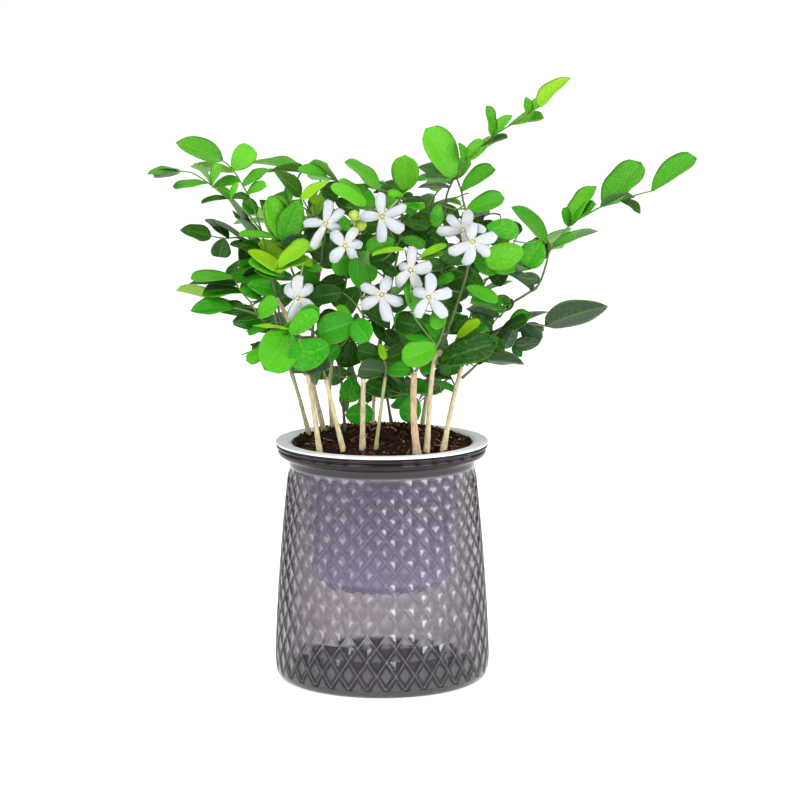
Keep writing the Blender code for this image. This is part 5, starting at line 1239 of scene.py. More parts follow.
def nearest_on_drawn(lines, x, z):
    """The point of a shoot's drawn lines that is nearest in the front view, as (x, z, depth)."""
    best = None
    for line in lines:
        for a, b in zip(line, line[1:]):
            run = Vector((b[0] - a[0], b[1] - a[1]))
            size = max(run.length_squared, 1e-9)
            t = min(1.0, max(0.0, ((x - a[0]) * run.x + (z - a[1]) * run.y) / size))
            spot = (a[0] + run.x * t, a[1] + run.y * t, a[2] + (b[2] - a[2]) * t)
            away = math.hypot(spot[0] - x, spot[1] - z)
            if best is None or away < best[0]:
                best = (away, spot)
    return best[1]


def rooted(start, following):
    """A side twig's first point, a little behind the line that it grows from."""
    return start + (start - following).normalized() * TWIG_SINK


print("a joint on the thick stem:", joint_on_stem(stems["stem_thick"], "top", EYE))

# %% [markdown]
# ## The twigs in space
# A twig's points are known in the front view, and only its depth is a guess. So a few depths at its tip are
# tried, and the first that crosses nothing is kept.

# %% The twigs in space
DEPTH_TRIES = (0, 3, -3, 6, -6, 9, -9, 12, -12, 16, -16, 20, -20)


def place_twigs(plant, owner, stem, height, twigs):
    """Draws a shoot's main twig from its stem and each side twig from the nearest drawn point."""
    lines = []
    for tip_depth, spots in twigs:
        if lines:
            base = nearest_on_drawn(lines, *spots[0])
            spots = spots[1:]
        else:
            base = None
            first_depth = seen_at(*STEMS[stem][1][-1]).y
        best = None
        for shift in DEPTH_TRIES:
            start_depth = base[2] if base else first_depth
            count = len(spots)
            line = [(x, z, start_depth + (tip_depth + shift - start_depth) * (i + 1) / count)
                    for i, (x, z) in enumerate(spots)]
            points = [seen_at(*spot) for spot in line]
            if base:
                points.insert(0, rooted(seen_at(*base), points[0]))
                line.insert(0, base)
            else:
                foot = joint_on_stem(stems[stem], height, points[0])
                points.insert(0, foot)
                line.insert(0, drawn_place(foot))
            radius = RACHIS_RADIUS if lines else TWIG_RADIUS
            clashes = plant.space.path_clashes(owner, points, radius, stem)
            if best is None or clashes < best[0]:
                best = (clashes, points, line, radius)
            if clashes == 0:
                break
        plant.add_tube(owner, best[1], best[3], 4)
        lines.append(best[2])
    plant.drawn[owner] = lines


for name, (stem, height, twigs, _) in SHOOTS.items():
    place_twigs(plant, name, stem, height, twigs)
twig_counts = {name: len(rows) for name, rows in plant.tubes.items()}
print("twigs placed:", sum(twig_counts[name] for name in SHOOTS))

# %% [markdown]
# ## Stalks of the flowers and the buds
# Each bloom and bud stands on a thin stalk that comes from the nearest twig of its shoot. The stalk sags or
# rises a little where something is in its way.

# %% Stalks of the flowers and the buds
PEDICEL_RADIUS, PEDICEL_REACH, STALK_TIP = 0.6, 8.0, 1.5
SAG_TRIES = (0, -4, 4, -8, 8, -12, 12)
NEAREST_STARTS = slice(0, 60, 3)


def place_stalk(plant, shoot, ends, flower):
    """Joins a shoot's nearest twig point to a flower, around what is in the way if need be."""
    starts = [spot for points, _, _ in plant.tubes[shoot] for spot in samples_along(points, 2.0)[1:-1]]
    best = None
    starts.sort(key=lambda spot: (spot - ends[0]).length)
    for start in starts[NEAREST_STARTS]:
        for sag in SAG_TRIES:
            bend = start.lerp(ends[0], 0.5) + Vector((0, sag * 0.5, sag))
            points = [rooted(start, bend), bend, *ends]
            clashes = plant.space.path_clashes(shoot, points, PEDICEL_RADIUS, flower, -1)
            if best is None or clashes < best[0]:
                best = (clashes, points)
            if clashes == 0:
                break
        if best[0] == 0:
            break
    plant.add_tube(shoot, best[1], PEDICEL_RADIUS, 4)


for name, (centre, facing, shoot, _) in blooms.items():
    back = centre - facing * (PETAL_THICKNESS / 2 + GAP)
    place_stalk(plant, shoot, [centre - facing * PEDICEL_REACH, back], name + "_petals")
buds = {}
for name, (shoot, (x, z), depth, radius) in BUDS.items():
    centre = seen_at(x, z, depth)
    below = centre - Vector((0, 0, radius + GAP))
    place_stalk(plant, shoot, [below - Vector((0, 0, STALK_TIP)), below], name)
    buds[name] = (centre, radius)
print("stalks:", len(blooms) + len(buds))

# %% [markdown]
# ## The shoots at the back
# Leaves stand round a twig in a spiral, each about 137 degrees on from the one before, so that none shades
# the next. The shoots at the back follow that rule and lean away from the plant's middle.

# %% The shoots at the back
SPIRAL_TURN = math.radians(137.5)
SPIRAL_SHIFTS = (0.0, 0.3, -0.3, 0.6, -0.6, 0.9, -0.9)
BACK_MIDDLE = (8.0, 5.0)
OUTWARD_SHARE, SPIN_SHARE, RISE_SHARE = 0.9, 0.75, 0.35
RACHIS_ARCH, RACHIS_DROP = 2.0, 1.0
TWIG_SEED = 100


def place_ruled_shoot(plant, owner, stem, height, path, seed):
    """A shoot at the back or the sides: pinnate leaves set in a spiral along its twig."""
    draw = random.Random(seed)
    spots = [Vector(p) for p in path]
    foot = joint_on_stem(stems[stem], height, spots[0])
    main = [foot] + spots
    plant.add_tube(owner, main, TWIG_RADIUS, 4)
    along = samples_along(main, 1.0)
    leaves = []
    turn = draw.uniform(0, 2 * math.pi)
    for i in range(RULED_LEAVES):
        share = RULED_LEAF_START + (1.0 - RULED_LEAF_START) * i / (RULED_LEAVES - 1)
        spot = along[round(share * (len(along) - 3))]
        outward = Vector((spot.x - BACK_MIDDLE[0], spot.y - BACK_MIDDLE[1], 0.0)).normalized()
        best = None
        for shift in SPIRAL_SHIFTS:
            angle = turn + shift
            spin = Vector((math.cos(angle), math.sin(angle), 0.0))
            run = (outward * OUTWARD_SHARE + spin * SPIN_SHARE + Vector((0, 0, RISE_SHARE))).normalized()
            size = draw.uniform(*RULED_LEAF_LENGTH)
            rachis = [spot - run * TWIG_SINK, spot + run * size * 0.5 + Vector((0, 0, RACHIS_ARCH)),
                      spot + run * size - Vector((0, 0, RACHIS_DROP))]
            clashes = plant.space.path_clashes(owner, rachis, RACHIS_RADIUS)
            if best is None or clashes < best[0]:
                best = (clashes, rachis)
            if clashes == 0:
                break
        turn += SPIRAL_TURN
        if best[0]:
            continue
        plant.add_tube(owner, best[1], RACHIS_RADIUS, 4)
        leaves.append(best[1])
    plant.drawn[owner] = leaves


for number, (name, (stem, height, path)) in enumerate(RULED_SHOOTS.items()):
    place_ruled_shoot(plant, name, stem, height, path, TWIG_SEED + number)
    twig_counts[name] = 1
for name, rows in plant.tubes.items():
    for points, radius, sides in rows:
        plant.space.add_body(name, *strand(points, radius, sides))
print("paths and bodies so far:", len(plant.space.paths), len(plant.space.bodies))

# %% [markdown]
# ## The pose of a leaflet
# A leaflet's seen width is often narrower than its true one, because it is turned about its axis. Its true
# width follows from its length, and the roll that makes it look as narrow as it was seen is worked out from
# both. It also bows a little, and its base sinks into the stalk.

# %% The pose of a leaflet
BLADE_THICKNESS = 0.62
LEAF_RATIO, WIDEST_LEAF_RATIO, LEAF_BOW = 0.56, 0.62, 0.07
LEAF_SINK, END_LEAF_SINK = 0.25, 0.9
LARGE_LEAF_WIDTH = 9.5
CROWN_MIDDLE_X, NEARLY_LEVEL = 5.0, 0.15
OTHER_WEIGHT = 100


def leaflet_pose(base, tip, seen_width, tone, turn=0.0, scale=1.0):
    """Control points, crosswise direction and width of a leaflet that looks as wide as it was seen."""
    end = base.lerp(tip, scale)
    axis = (end - base).normalized()
    length = (end - base).length
    view = (EYE - base.lerp(end, 0.5)).normalized()
    toward = (view - axis * view.dot(axis)).normalized()
    upward = axis.cross(toward)
    if upward.z < 0 or (abs(upward.z) < NEARLY_LEVEL and upward.x * (base.x - CROWN_MIDDLE_X) < 0):
        upward.negate()
    width = max(seen_width, LEAF_RATIO * length)
    roll = math.acos(min(1.0, seen_width / width)) + turn
    side = -1.0 if tone == "under" else 1.0
    normal = toward * (math.cos(roll) * side) + upward * math.sin(roll)
    across = normal.cross(axis).normalized()
    middle = base.lerp(end, 0.5) + normal * (LEAF_BOW * length)
    return (base, middle, end), across, width


def sunk(pose, depth):
    """The same leaflet with its base sunk into the stalk that it grows from."""
    (start, middle, end), across, width = pose
    return (start - (end - start).normalized() * depth, middle, end), across, width


def place_best_leaflet(plant, owner, poses, tone, at_end):
    """Keeps the first pose that is clear of the other nodes, if there is one."""
    best = None
    for pose in poses:
        path, across, width = sunk(pose, END_LEAF_SINK if at_end else LEAF_SINK)
        template = large_leaf if width > LARGE_LEAF_WIDTH else small_leaf
        shell = bent_blade(template, path, across, width, BLADE_THICKNESS, CLEARANCE)
        others, same = plant.space.clashes(owner, shell, template[1])
        score = others * OTHER_WEIGHT + same
        if best is None or score < best[0]:
            best = (score, template, (path, across, width))
        if score == 0:
            break
    if best[0] >= OTHER_WEIGHT:
        plant.dropped += 1
        return
    path, across, width = best[2]
    plant.add_blade(owner, best[1], (path, across, width, BLADE_THICKNESS), tone)


print("a leaflet 30 mm long is", round(30 * LEAF_RATIO, 1), "mm wide")

# %% [markdown]
# ## The leaflets of the drawn shoots
# Each leaflet of the table is tried in up to 84 poses: a little shorter, nearer or farther, and rolled. The
# first that is clear of all other pieces is kept. Where none is, the leaflet is left out.

# %% The leaflets of the drawn shoots
LEAF_TRIES = [(scale, lean, turn)
              for scale in (1.0, 0.9, 0.8)
              for lean in (0, -5, 5, -10, 10, -15, 15)
              for turn in (0.0, 0.35, -0.35, 0.7)]


def place_drawn_leaflets(plant, owner, leaflets):
    """Leaflets of the front view's tables: each leans until its true length fits its seen width."""
    lines = plant.drawn[owner]
    for base_x, base_z, tip_x, tip_z, width, lean, tone in leaflets:
        spot = nearest_on_drawn(lines, base_x, base_z)
        base = seen_at(*spot)
        seen = math.hypot(tip_x - base_x, tip_z - base_z)
        hidden = math.sqrt(max(0.0, (width / WIDEST_LEAF_RATIO) ** 2 - seen ** 2))
        reach = math.copysign(max(abs(lean), hidden), lean or -1.0)
        poses = (leaflet_pose(base, seen_at(tip_x, tip_z, spot[2] + reach + more), width, tone, turn, scale)
                 for scale, more, turn in LEAF_TRIES)
        at_end = any((base - points[-1]).length < TWIG_RADIUS for points, _, _ in plant.tubes[owner])
        place_best_leaflet(plant, owner, poses, tone, at_end)


for name, (_, _, _, leaflets) in SHOOTS.items():
    place_drawn_leaflets(plant, name, leaflets)
print("poses to try:", len(LEAF_TRIES), "leaflets left out:", plant.dropped)

# %% [markdown]
# ## The leaflets of the shoots at the back
# Here the leaflets alternate along each rachis, grow longer toward its tip, and one stands at the end.

# %% The leaflets of the shoots at the back
BACK_TONES = ("dark", "mid", "mid", "bright")
LEAN_STEP = 0.03
LEAFLET_SEED = 200


def place_ruled_leaflets(plant, owner, seed):
    """Alternate leaflets along each rachis, larger toward the tip, with one at its end."""
    draw = random.Random(seed)
    for rachis in plant.drawn[owner]:
        along = samples_along(rachis, 0.5)
        side = 1.0 if draw.random() < 0.5 else -1.0
        tone = draw.choice(BACK_TONES)
        for share, length, angle in RULED_LEAFLETS:
            base = along[round(share * (len(along) - 1))]
            run = (rachis[-1] - rachis[0]).normalized()
            level = run.cross(Vector((0, 0, 1))).normalized()
            top = level.cross(run).normalized()
            length *= draw.uniform(0.9, 1.12)
            lift = draw.uniform(-0.25, 0.15)
            tilt = draw.uniform(-0.5, 0.5)
            poses = []
            for scale, lean, twist in LEAF_TRIES:
                aim = run * math.cos(math.radians(angle)) + level * (side * math.sin(math.radians(angle)))
                aim = (aim + top * (lift + lean * LEAN_STEP)).normalized()
                normal = (top - aim * top.dot(aim)).normalized()
                across = normal.cross(aim)
                normal = normal * math.cos(tilt + twist) + across * math.sin(tilt + twist)
                across = normal.cross(aim).normalized()
                tip = base + aim * (length * scale)
                middle = base.lerp(tip, 0.5) + normal * (LEAF_BOW * length)
                poses.append(((base, middle, tip), across, length * scale * LEAF_RATIO))
            place_best_leaflet(plant, owner, poses, tone, share == 1.0)
            side = -side


for number, name in enumerate(RULED_SHOOTS):
    place_ruled_leaflets(plant, name, LEAFLET_SEED + number)
print("leaflets placed:", sum(len(rows) for rows in plant.blades.values()), "left out:", plant.dropped)

# %% [markdown]
# ## From the flat reading to the camera
# The tables were read off the picture with one scale for all of it. A camera that looks down a little draws
# the middle of the plant some pixels lower and the outer sprays wider, so the finished points are moved by
# up to four millimetres to where the camera's ray through their spot in the picture runs.

# %% From the flat reading to the camera
PICTURE_SIDE, PICTURE_SCALE, PICTURE_AXIS, PICTURE_FOOT = 800, 1.6356, 382.0, 671.8
camera_turn = camera.rotation_euler.to_matrix()


def settled(point):
    """Where a finished point must stand for the camera to see it at its spot in the photo."""
    x, z, depth = drawn_place(point)
    focal = LENS / SENSOR * PICTURE_SIDE
    right = PICTURE_AXIS + x * PICTURE_SCALE - PICTURE_SIDE / 2
    up = PICTURE_SIDE / 2 - PICTURE_FOOT + z * PICTURE_SCALE
    ray = camera_turn @ Vector((right, up, -focal))
    spot = EYE - ray * (EYE.y / ray.y)
    return seen_at(spot.x, spot.z, depth)


high_spot = Vector((0, 0, 200))
print("a point 200 mm up is moved by", tuple(round(c, 1) for c in settled(high_spot) - high_spot))

# %% [markdown]
# ## Where more leaves belong
# The solids hold only part of the leaves. More of them were read off the photo one by one, as base, tip,
# seen width, depth and tone, and the crown's outline bounds the leaves that a rule adds behind them.

# %% Where more leaves belong
CROWN_OUTLINE = [
    (-76, 189), (-81, 200), (-73, 214), (-98, 224), (-108, 236), (-88, 244), (-103, 260), (-92, 273),
    (-76, 281), (-65, 295), (-50, 303), (-26, 298), (-10, 297), (6, 303), (17, 312), (28, 306), (35, 302),
    (43, 291), (60, 285), (75, 275), (94, 264), (97, 251), (84, 237), (75, 227), (82, 218), (84, 204),
    (72, 194), (56, 196), (43, 183), (29, 169), (23, 152), (10, 152), (6, 171), (-4, 177), (-10, 154),
    (-23, 152), (-27, 171), (-40, 183), (-56, 187),
]
FRONT_LEAVES = [
    (-64, 247, -43, 262, 10, -30, "lime"), (-66, 244.5, -44.5, 252.5, 5.5, -33, "lime"),
    (-60, 244, -82.5, 257.5, 5, -30, "lime"), (-59.5, 241.5, -82, 251, 5.5, -28, "bright"),
    (-62.5, 241.5, -78.5, 245.5, 5.5, -24, "mid"), (-51.5, 247, -36.5, 245, 6, -20, "bright"),
    (-50, 289, -32, 300, 6.5, -22, "lime"), (-42, 285.5, -40.5, 296, 5.5, -20, "lime"),
    (-27.5, 289, -38, 296, 8.5, -10, "dark"), (-8.5, 285, -32, 297, 10, -22, "bright"),
    (-12, 290.5, -27, 300, 5.5, -12, "bright"), (-19.5, 270.5, -28.5, 278, 8.5, -24, "mid"),
    (-5, 282.5, -22.5, 284, 4.5, -16, "mid"), (8, 263.5, -10, 259, 11, -22, "mid"),
    (14, 258, -6.5, 254, 4.5, -34, "lime"), (-76.5, 280.5, -85, 288.5, 9, -6, "mid"),
    (-65, 265, -88, 266.5, 5, -22, "bright"), (-50, 260.5, -73.5, 259.5, 8.5, -2, "dark"),
    (-73.5, 257.5, -88, 262, 8, 4, "dark"), (-58.5, 252.5, -75, 256.5, 8, -10, "mid"),
    (-61, 260.5, -45.5, 266.5, 6.5, -18, "under"), (-60.5, 263.5, -69.5, 290.5, 14.5, -16, "bright"),
    (-60, 262, -50, 289, 15.5, -20, "mid"), (-73.5, 228.5, -88, 234, 6.5, -20, "mid"),
    (-61, 233, -83, 237, 10, -26, "mid"), (-72, 196, -83, 190, 8.5, -54, "bright"),
    (-32, 200, -56.5, 189, 18.5, -60, "mid"), (-57, 206.5, -38.5, 219.5, 11.5, -58, "bright"),
    (-56.5, 209.5, -79.5, 211.5, 2.5, -50, "lime"), (-18.5, 180, -20, 164.5, 13.5, 4, "mid"),
    (-22.5, 157, -5, 158, 13.5, 8, "mid"), (18.5, 170, 16.5, 152, 13.5, 4, "mid"),
    (13.5, 291, 3.5, 292.5, 5.5, 10, "bright"), (13, 290.5, 19, 292, 4.5, 2, "dark"),
    (12, 287, 25.5, 287, 3.5, 0, "under"), (13, 286.5, 26.5, 283.5, 6.5, 4, "bright"),
    (10, 260.5, 28, 266.5, 7.5, 4, "dark"), (12, 265, 26.5, 259.5, 5.5, -2, "mid"),
    (34.5, 286, 33, 271.5, 8.5, -2, "mid"), (43, 281.5, 38, 272.5, 6.5, 8, "dark"),
    (41, 259.5, 28, 266.5, 8.5, 4, "dark"), (23, 253.5, 40, 260.5, 5, -24, "lime"),
    (23, 252, 38, 255.5, 4.5, -22, "lime"), (39, 250, 25.5, 248.5, 8, -4, "dark"),
    (33, 237.5, 44.5, 242, 6, -14, "mid"), (46.5, 248, 61, 233, 12, -10, "dark"),
    (60, 250.5, 46, 237, 12, -4, "under"), (87, 258, 62.5, 250.5, 16.5, -18, "bright"),
    (84, 269, 63.5, 272.5, 13.5, -10, "mid"), (97, 264, 87.5, 247.5, 16.5, 0, "mid"),
    (76.5, 247.5, 62, 245, 4.5, -14, "mid"), (97, 239, 81.5, 241.5, 8, -8, "under"),
    (51.5, 235.5, 71, 226, 8.5, -26, "bright"), (75, 224.5, 54, 227.5, 5, -16, "mid"),
    (72, 216.5, 51.5, 222, 5.5, -20, "under"), (79, 225, 68.5, 229, 6, -8, "dark"),
    (81.5, 211, 74, 197.5, 9, -14, "under"), (80, 199, 96.5, 201, 9, -10, "under"),
    (34.5, 189, 69.5, 201, 13, -20, "dark"), (34.5, 188, 55.5, 192, 7.5, -24, "mid"),
    (25.5, 189.5, 28, 181.5, 8, -16, "mid"), (46, 171.5, 32, 177, 5, -12, "mid"),
    (23, 221, 13.5, 238.5, 10, -40, "bright"), (20, 206, 8.5, 219, 12, -22, "mid"),
    (40.5, 200, 22, 210, 11, -14, "mid"), (-18.5, 216.5, -28.5, 223, 6, -34, "bright"),
    (-6, 216.5, 1, 202, 7.5, -14, "dark"), (11, 198.5, 1, 208.5, 10, -6, "dark"),
    (6, 189.5, 12, 201, 10, -2, "dark"), (35.5, 227.5, 49, 220, 7.5, -12, "dark"),
    (52.5, 217.5, 43, 206.5, 7.5, -16, "dark"), (-32, 230, -19.5, 223.5, 10, -4, "dark"),
    (-50, 230, -36.5, 224.5, 8.5, -8, "dark"), (-22, 227.5, -11, 234.5, 8.5, -2, "dark"),
    (-18.5, 247, -6, 239.5, 8.5, -14, "mid"), (-1, 250.5, 8.5, 242, 7.5, -4, "dark"),
    (-10, 269, -18.5, 260.5, 8.5, -12, "dark"), (13.5, 275, 29.5, 271.5, 8, 2, "dark"),
    (22, 269, 34.5, 275, 7.5, 6, "dark"), (29.5, 244.5, 39, 237, 7.5, -2, "dark"),
    (23, 232, 13.5, 227.5, 8.5, -6, "dark"), (-6, 227.5, 1, 237, 8.5, 0, "dark"),
    (-19.5, 201.5, -27, 189.5, 11, -14, "dark"), (-25.5, 199, -39, 189.5, 10, -20, "mid"),
    (-39, 189.5, -36.5, 178.5, 11, -24, "dark"), (-6, 195.5, -14.5, 201.5, 8.5, -8, "mid"),
    (2.5, 187, 19.5, 182, 7.5, -10, "mid"), (2.5, 187, -13.5, 183.5, 12, -24, "mid"),
    (54, 199, 65, 189.5, 8.5, -10, "dark"), (67.5, 209, 56.5, 215, 7.5, -14, "dark"),
]
print("corners of the outline:", len(CROWN_OUTLINE), "more leaves:", len(FRONT_LEAVES))

# %% [markdown]
# ## What must stay in view
# A leaf that a rule adds must not stand in front of a leaf or bloom that was read off the photo. So these
# are listed as lines in the front view, each with a reach and a depth, and a new leaf is tried against
# them.

# %% What must stay in view
BLOOM_REACH, BUD_MARGIN, HOME_HEIGHT = 15.0, 4.0, 150


def inside(outline, x, z):
    """True if a point of the front view lies in a closed outline."""
    within = False
    for (x1, z1), (x2, z2) in zip(outline, outline[1:] + outline[:1]):
        if (z1 > z) != (z2 > z) and x < (x2 - x1) * (z - z1) / (z2 - z1) + x1:
            within = not within
    return within


def hides(spots, drawn):
    """True if any of the spots stands in front of a drawn leaf or bloom."""
    for spot in spots:
        x, z, y = drawn_place(spot)
        for ax, az, bx, bz, reach, depth in drawn:
            if y > depth:
                continue
            run = Vector((bx - ax, bz - az))
            t = min(1.0, max(0.0, ((x - ax) * run.x + (z - az) * run.y) / max(run.length_squared, 1e-6)))
            if math.hypot(ax + run.x * t - x, az + run.y * t - z) < reach:
                return True
    return False


def leaf_line(path, width, margin):
    """A leaf as a line of the front view, with the reach and the depth that it covers."""
    (ax, az, ay), (bx, bz, by) = drawn_place(path[0]), drawn_place(path[2])
    return ax, az, bx, bz, width * 0.35 + margin, (ay + by) / 2


def round_line(centre, reach, behind):
    """A bloom or a bud as a very short line of the front view."""
    x, z, y = drawn_place(centre)
    return x, z, x + 0.1, z, reach, y + behind


drawn = [leaf_line(path, width, 3.0) for rows in plant.blades.values() for (path, _, width, _), _ in rows]
drawn += [round_line(centre, BLOOM_REACH, 4.0) for centre, *_ in blooms.values()]
drawn += [round_line(centre, radius + BUD_MARGIN, 2.0) for centre, radius in buds.values()]
homes = [spot for owner, _, spots in plant.space.paths for spot in spots
         if not owner.startswith("bloom") and spot.z > HOME_HEIGHT]
print("lines to keep in view:", len(drawn), "places where leaves can start:", len(homes))

# %% [markdown]
# ## More leaves of the photo
# Each leaf of the second table gets the nearby depth and roll where it crosses the fewest others, and a
# stalk to the nearest twig, which hangs a little in its middle.

# %% More leaves of the photo
FRONT_LEAN, LEAF_SPACE = -4.0, 0.5
ROLL_TRIES = (0.0, 0.3, -0.3)
STALK_SAG, STALK_HOME = 0.08, 0.6


def clearest_pose(base_x, base_z, tip_x, tip_z, width, depth, tone):
    """The pose of a leaf of the table, at the nearby depth and roll where it crosses the fewest others."""
    best = None
    for more in DEPTH_TRIES:
        base, tip = seen_at(base_x, base_z, depth + more), seen_at(tip_x, tip_z, depth + more + FRONT_LEAN)
        for turn in ROLL_TRIES:
            path, across, wide = leaflet_pose(base, tip, width, tone, turn)
            shell = bent_blade(large_leaf, path, across, wide, LEAF_SPACE)
            score = sum(plant.space.clashes("fill", shell, large_leaf[1]))
            if best is None or score < best[0]:
                best = (score, (path, across, wide), shell)
            if score == 0:
                return best
    return best


front_leaves, front_stalks, crossings = [], [], 0
for row in FRONT_LEAVES:
    score, (path, across, wide), shell = clearest_pose(*row)
    crossings += score > 0
    plant.space.add_body("fill", shell, large_leaf[1])
    base = path[0]
    home = min(homes, key=lambda spot: (spot - base).length_squared)
    bend = home.lerp(base, 0.5) - Vector((0, 0, STALK_SAG * (home - base).length))
    front_stalks.append([home, bend, base])
    front_leaves.append((path, across, wide, row[-1]))
    homes.append(home.lerp(base, STALK_HOME))
    drawn.append(leaf_line(path, wide, 2.0))
print("leaves from the table:", len(front_leaves), "crossing another:", crossings,
      "longest stalk mm:", round(max((stalk[0] - stalk[2]).length for stalk in front_stalks), 1))

# %% [markdown]
# ## A leaflet of the fill
# The dense middle is filled with pinnate leaves that grow by rule. A leaflet is kept only where it stays
# inside the crown's outline, clears its neighbours and hides nothing that was read off the photo.

# %% A leaflet of the fill
FILL_POSES = ((1.0, 0.0), (0.9, 0.4), (0.85, -0.4), (0.7, 0.0))
FILL_BASE_FREE = 1.2
draw = random.Random(5)


def fill_leaflet(base, frame_of_leaf, side, length, angle, tone):
    """A leaflet in the first pose that is clear and hides nothing, or none."""
    run, level, top = frame_of_leaf
    for scale, tilt in FILL_POSES:
        aim = run * math.cos(angle) + level * (side * math.sin(angle)) + top * draw.uniform(-0.25, 0.3)
        aim.normalize()
        normal = (top - aim * top.dot(aim)).normalized()
        across = normal.cross(aim)
        normal = normal * math.cos(tilt) + across * math.sin(tilt)
        across = normal.cross(aim).normalized()
        end = base + aim * (length * scale)
        bend = base.lerp(end, 0.5) + normal * (LEAF_BOW * length)
        spots = [base.lerp(end, 0.7), end]
        within = all(inside(CROWN_OUTLINE, *drawn_place(spot)[:2]) for spot in spots)
        if not within or hides([base.lerp(end, 0.35), *spots], drawn):
            continue
        width = length * scale * draw.uniform(0.55, 0.68)
        shell = bent_blade(small_leaf, (base + aim * FILL_BASE_FREE, bend, end), across, width, LEAF_SPACE)
        if plant.space.clashes("fill", shell, small_leaf[1]) == (0, 0):
            plant.space.add_body("fill", shell, small_leaf[1])
            return (base, bend, end), across, width, tone
    return None


print("poses of a fill leaflet:", len(FILL_POSES))

# %% [markdown]
# ## The fill grows
# Seeded places are drawn inside the crown's outline. From the nearest twig a leaf grows toward each, with
# alternate leaflets along its rachis, darker the deeper and lower it sits, as less light gets there. A leaf
# that finds room for fewer than two leaflets is dropped.

# %% The fill grows
FILL_TRIES, FILL_HOME_HEIGHT = 2600, 165
FILL_X, FILL_Z, FILL_DEPTH = (-100, 105), (150, 312), (-40.0, 62.0)
FILL_REACH, FILL_LENGTH = (16.0, 48.0), (26.0, 38.0)
FILL_LEAFLETS = (
    (0.30, 15.0, 62.0), (0.50, 18.0, 60.0), (0.68, 21.0, 56.0), (0.85, 23.0, 50.0), (1.0, 26.0, 4.0),
)
RACHIS_STEPS, FILL_ARCH = 12, 3.0
OUTWARD_X, OUTWARD_Y, OUTWARD_PULL = 0.4, 10.0, 0.004
FACE_TURN, FACE_TO_EYE = 0.5, -0.75
SHADE_CHANCE, SHADE_MIDDLE, SHADE_RISE, DARK_FROM, MID_FROM = 18, 235, 0.35, 12, -22

homes = [spot for spot in homes if spot.z > FILL_HOME_HEIGHT]
fill_twigs, fill_leaves = [], []
for _ in range(FILL_TRIES):
    x, z, depth = draw.uniform(*FILL_X), draw.uniform(*FILL_Z), draw.uniform(*FILL_DEPTH)
    if not inside(CROWN_OUTLINE, x, z):
        continue
    aim = seen_at(x, z, depth)
    home = min(homes, key=lambda spot: (spot - aim).length_squared)
    far = (home - aim).length
    if not FILL_REACH[0] < far < FILL_REACH[1]:
        continue
    run = (aim - home).normalized()
    tip = home + run * draw.uniform(*FILL_LENGTH)
    middle = home.lerp(tip, 0.5) + Vector((0, 0, FILL_ARCH))
    steps = [k / RACHIS_STEPS for k in range(RACHIS_STEPS + 1)]
    rachis = [home.lerp(middle, t) * (1 - t) + middle.lerp(tip, t) * t for t in steps]
    outward = Vector((home.x * OUTWARD_X, home.y - OUTWARD_Y, 0.0))
    face = Vector((draw.uniform(-FACE_TURN, FACE_TURN), FACE_TO_EYE, 1.0)) + outward * OUTWARD_PULL
    level = run.cross(face).normalized()
    top = level.cross(run).normalized()
    shade = depth + draw.uniform(-SHADE_CHANCE, SHADE_CHANCE) - (z - SHADE_MIDDLE) * SHADE_RISE
    tone = "dark" if shade > DARK_FROM else "mid" if shade > MID_FROM else "bright"
    side = draw.choice((-1, 1))
    grown = []
    for share, length, angle in FILL_LEAFLETS:
        length *= draw.uniform(0.85, 1.15)
        angle = math.radians(angle + draw.uniform(-8, 8))
        side = -side
        base = rachis[round(share * RACHIS_STEPS)]
        grown.append(fill_leaflet(base, (run, level, top), side, length, angle, tone))
    grown = [leaflet for leaflet in grown if leaflet]
    if len(grown) >= 2:
        fill_twigs.append(rachis)
        fill_leaves += grown
        homes += rachis[3:9:2]
print("fill leaves:", len(fill_twigs), "leaflets:", len(fill_leaves))

# %% [markdown]
# ## Outlines of leaflets and petals
# A leaflet of orange jasmine is an egg shape, broadest past its middle. Slim leaflets at the outside of the
# crown end in a point, and a petal is a strap with nearly even sides and a blunt end. Each outline is a
# rule that gives the half width along the blade, which is easier to change than a row of points.

# %% Outlines of leaflets and petals


def leaf_share(t):
    """Half width of a leaflet along its length, as a share."""
    return max(0.04, 2.15 * t ** 0.66 * (1.0 - t) ** 0.47)


def pointed_share(t):
    """Half width of an outer leaflet, which is broadest nearer its base and ends in a point."""
    return max(0.03, 2.6 * t ** 0.6 * (1.0 - t) ** 0.8)


def petal_share(t):
    """Half width of a petal along its length, as a share: a strap with even sides and a blunt end."""
    grown = 0.5 + 0.5 * math.sin(min(1.0, t / 0.45) * math.pi / 2)
    closing = math.sqrt(max(0.0, 1 - max(0.0, (t - 0.84) / 0.16) ** 2.4))
    return grown * closing


print("half width in the middle of a leaflet:", round(leaf_share(0.5), 2))

# %% [markdown]
# ## A bent sheet
# A blade is folded a little along its midrib, curled at its sides, rippled and twisted. It is built as a
# closed lens: two grids over a bent middle line that meet at the edge. One sheet with a thickness modifier
# would do too, but the lens has its thin edge at once and can have another colour below.

# %% A bent sheet
RIPPLES, TWIST_FROM = 1.6, 0.3


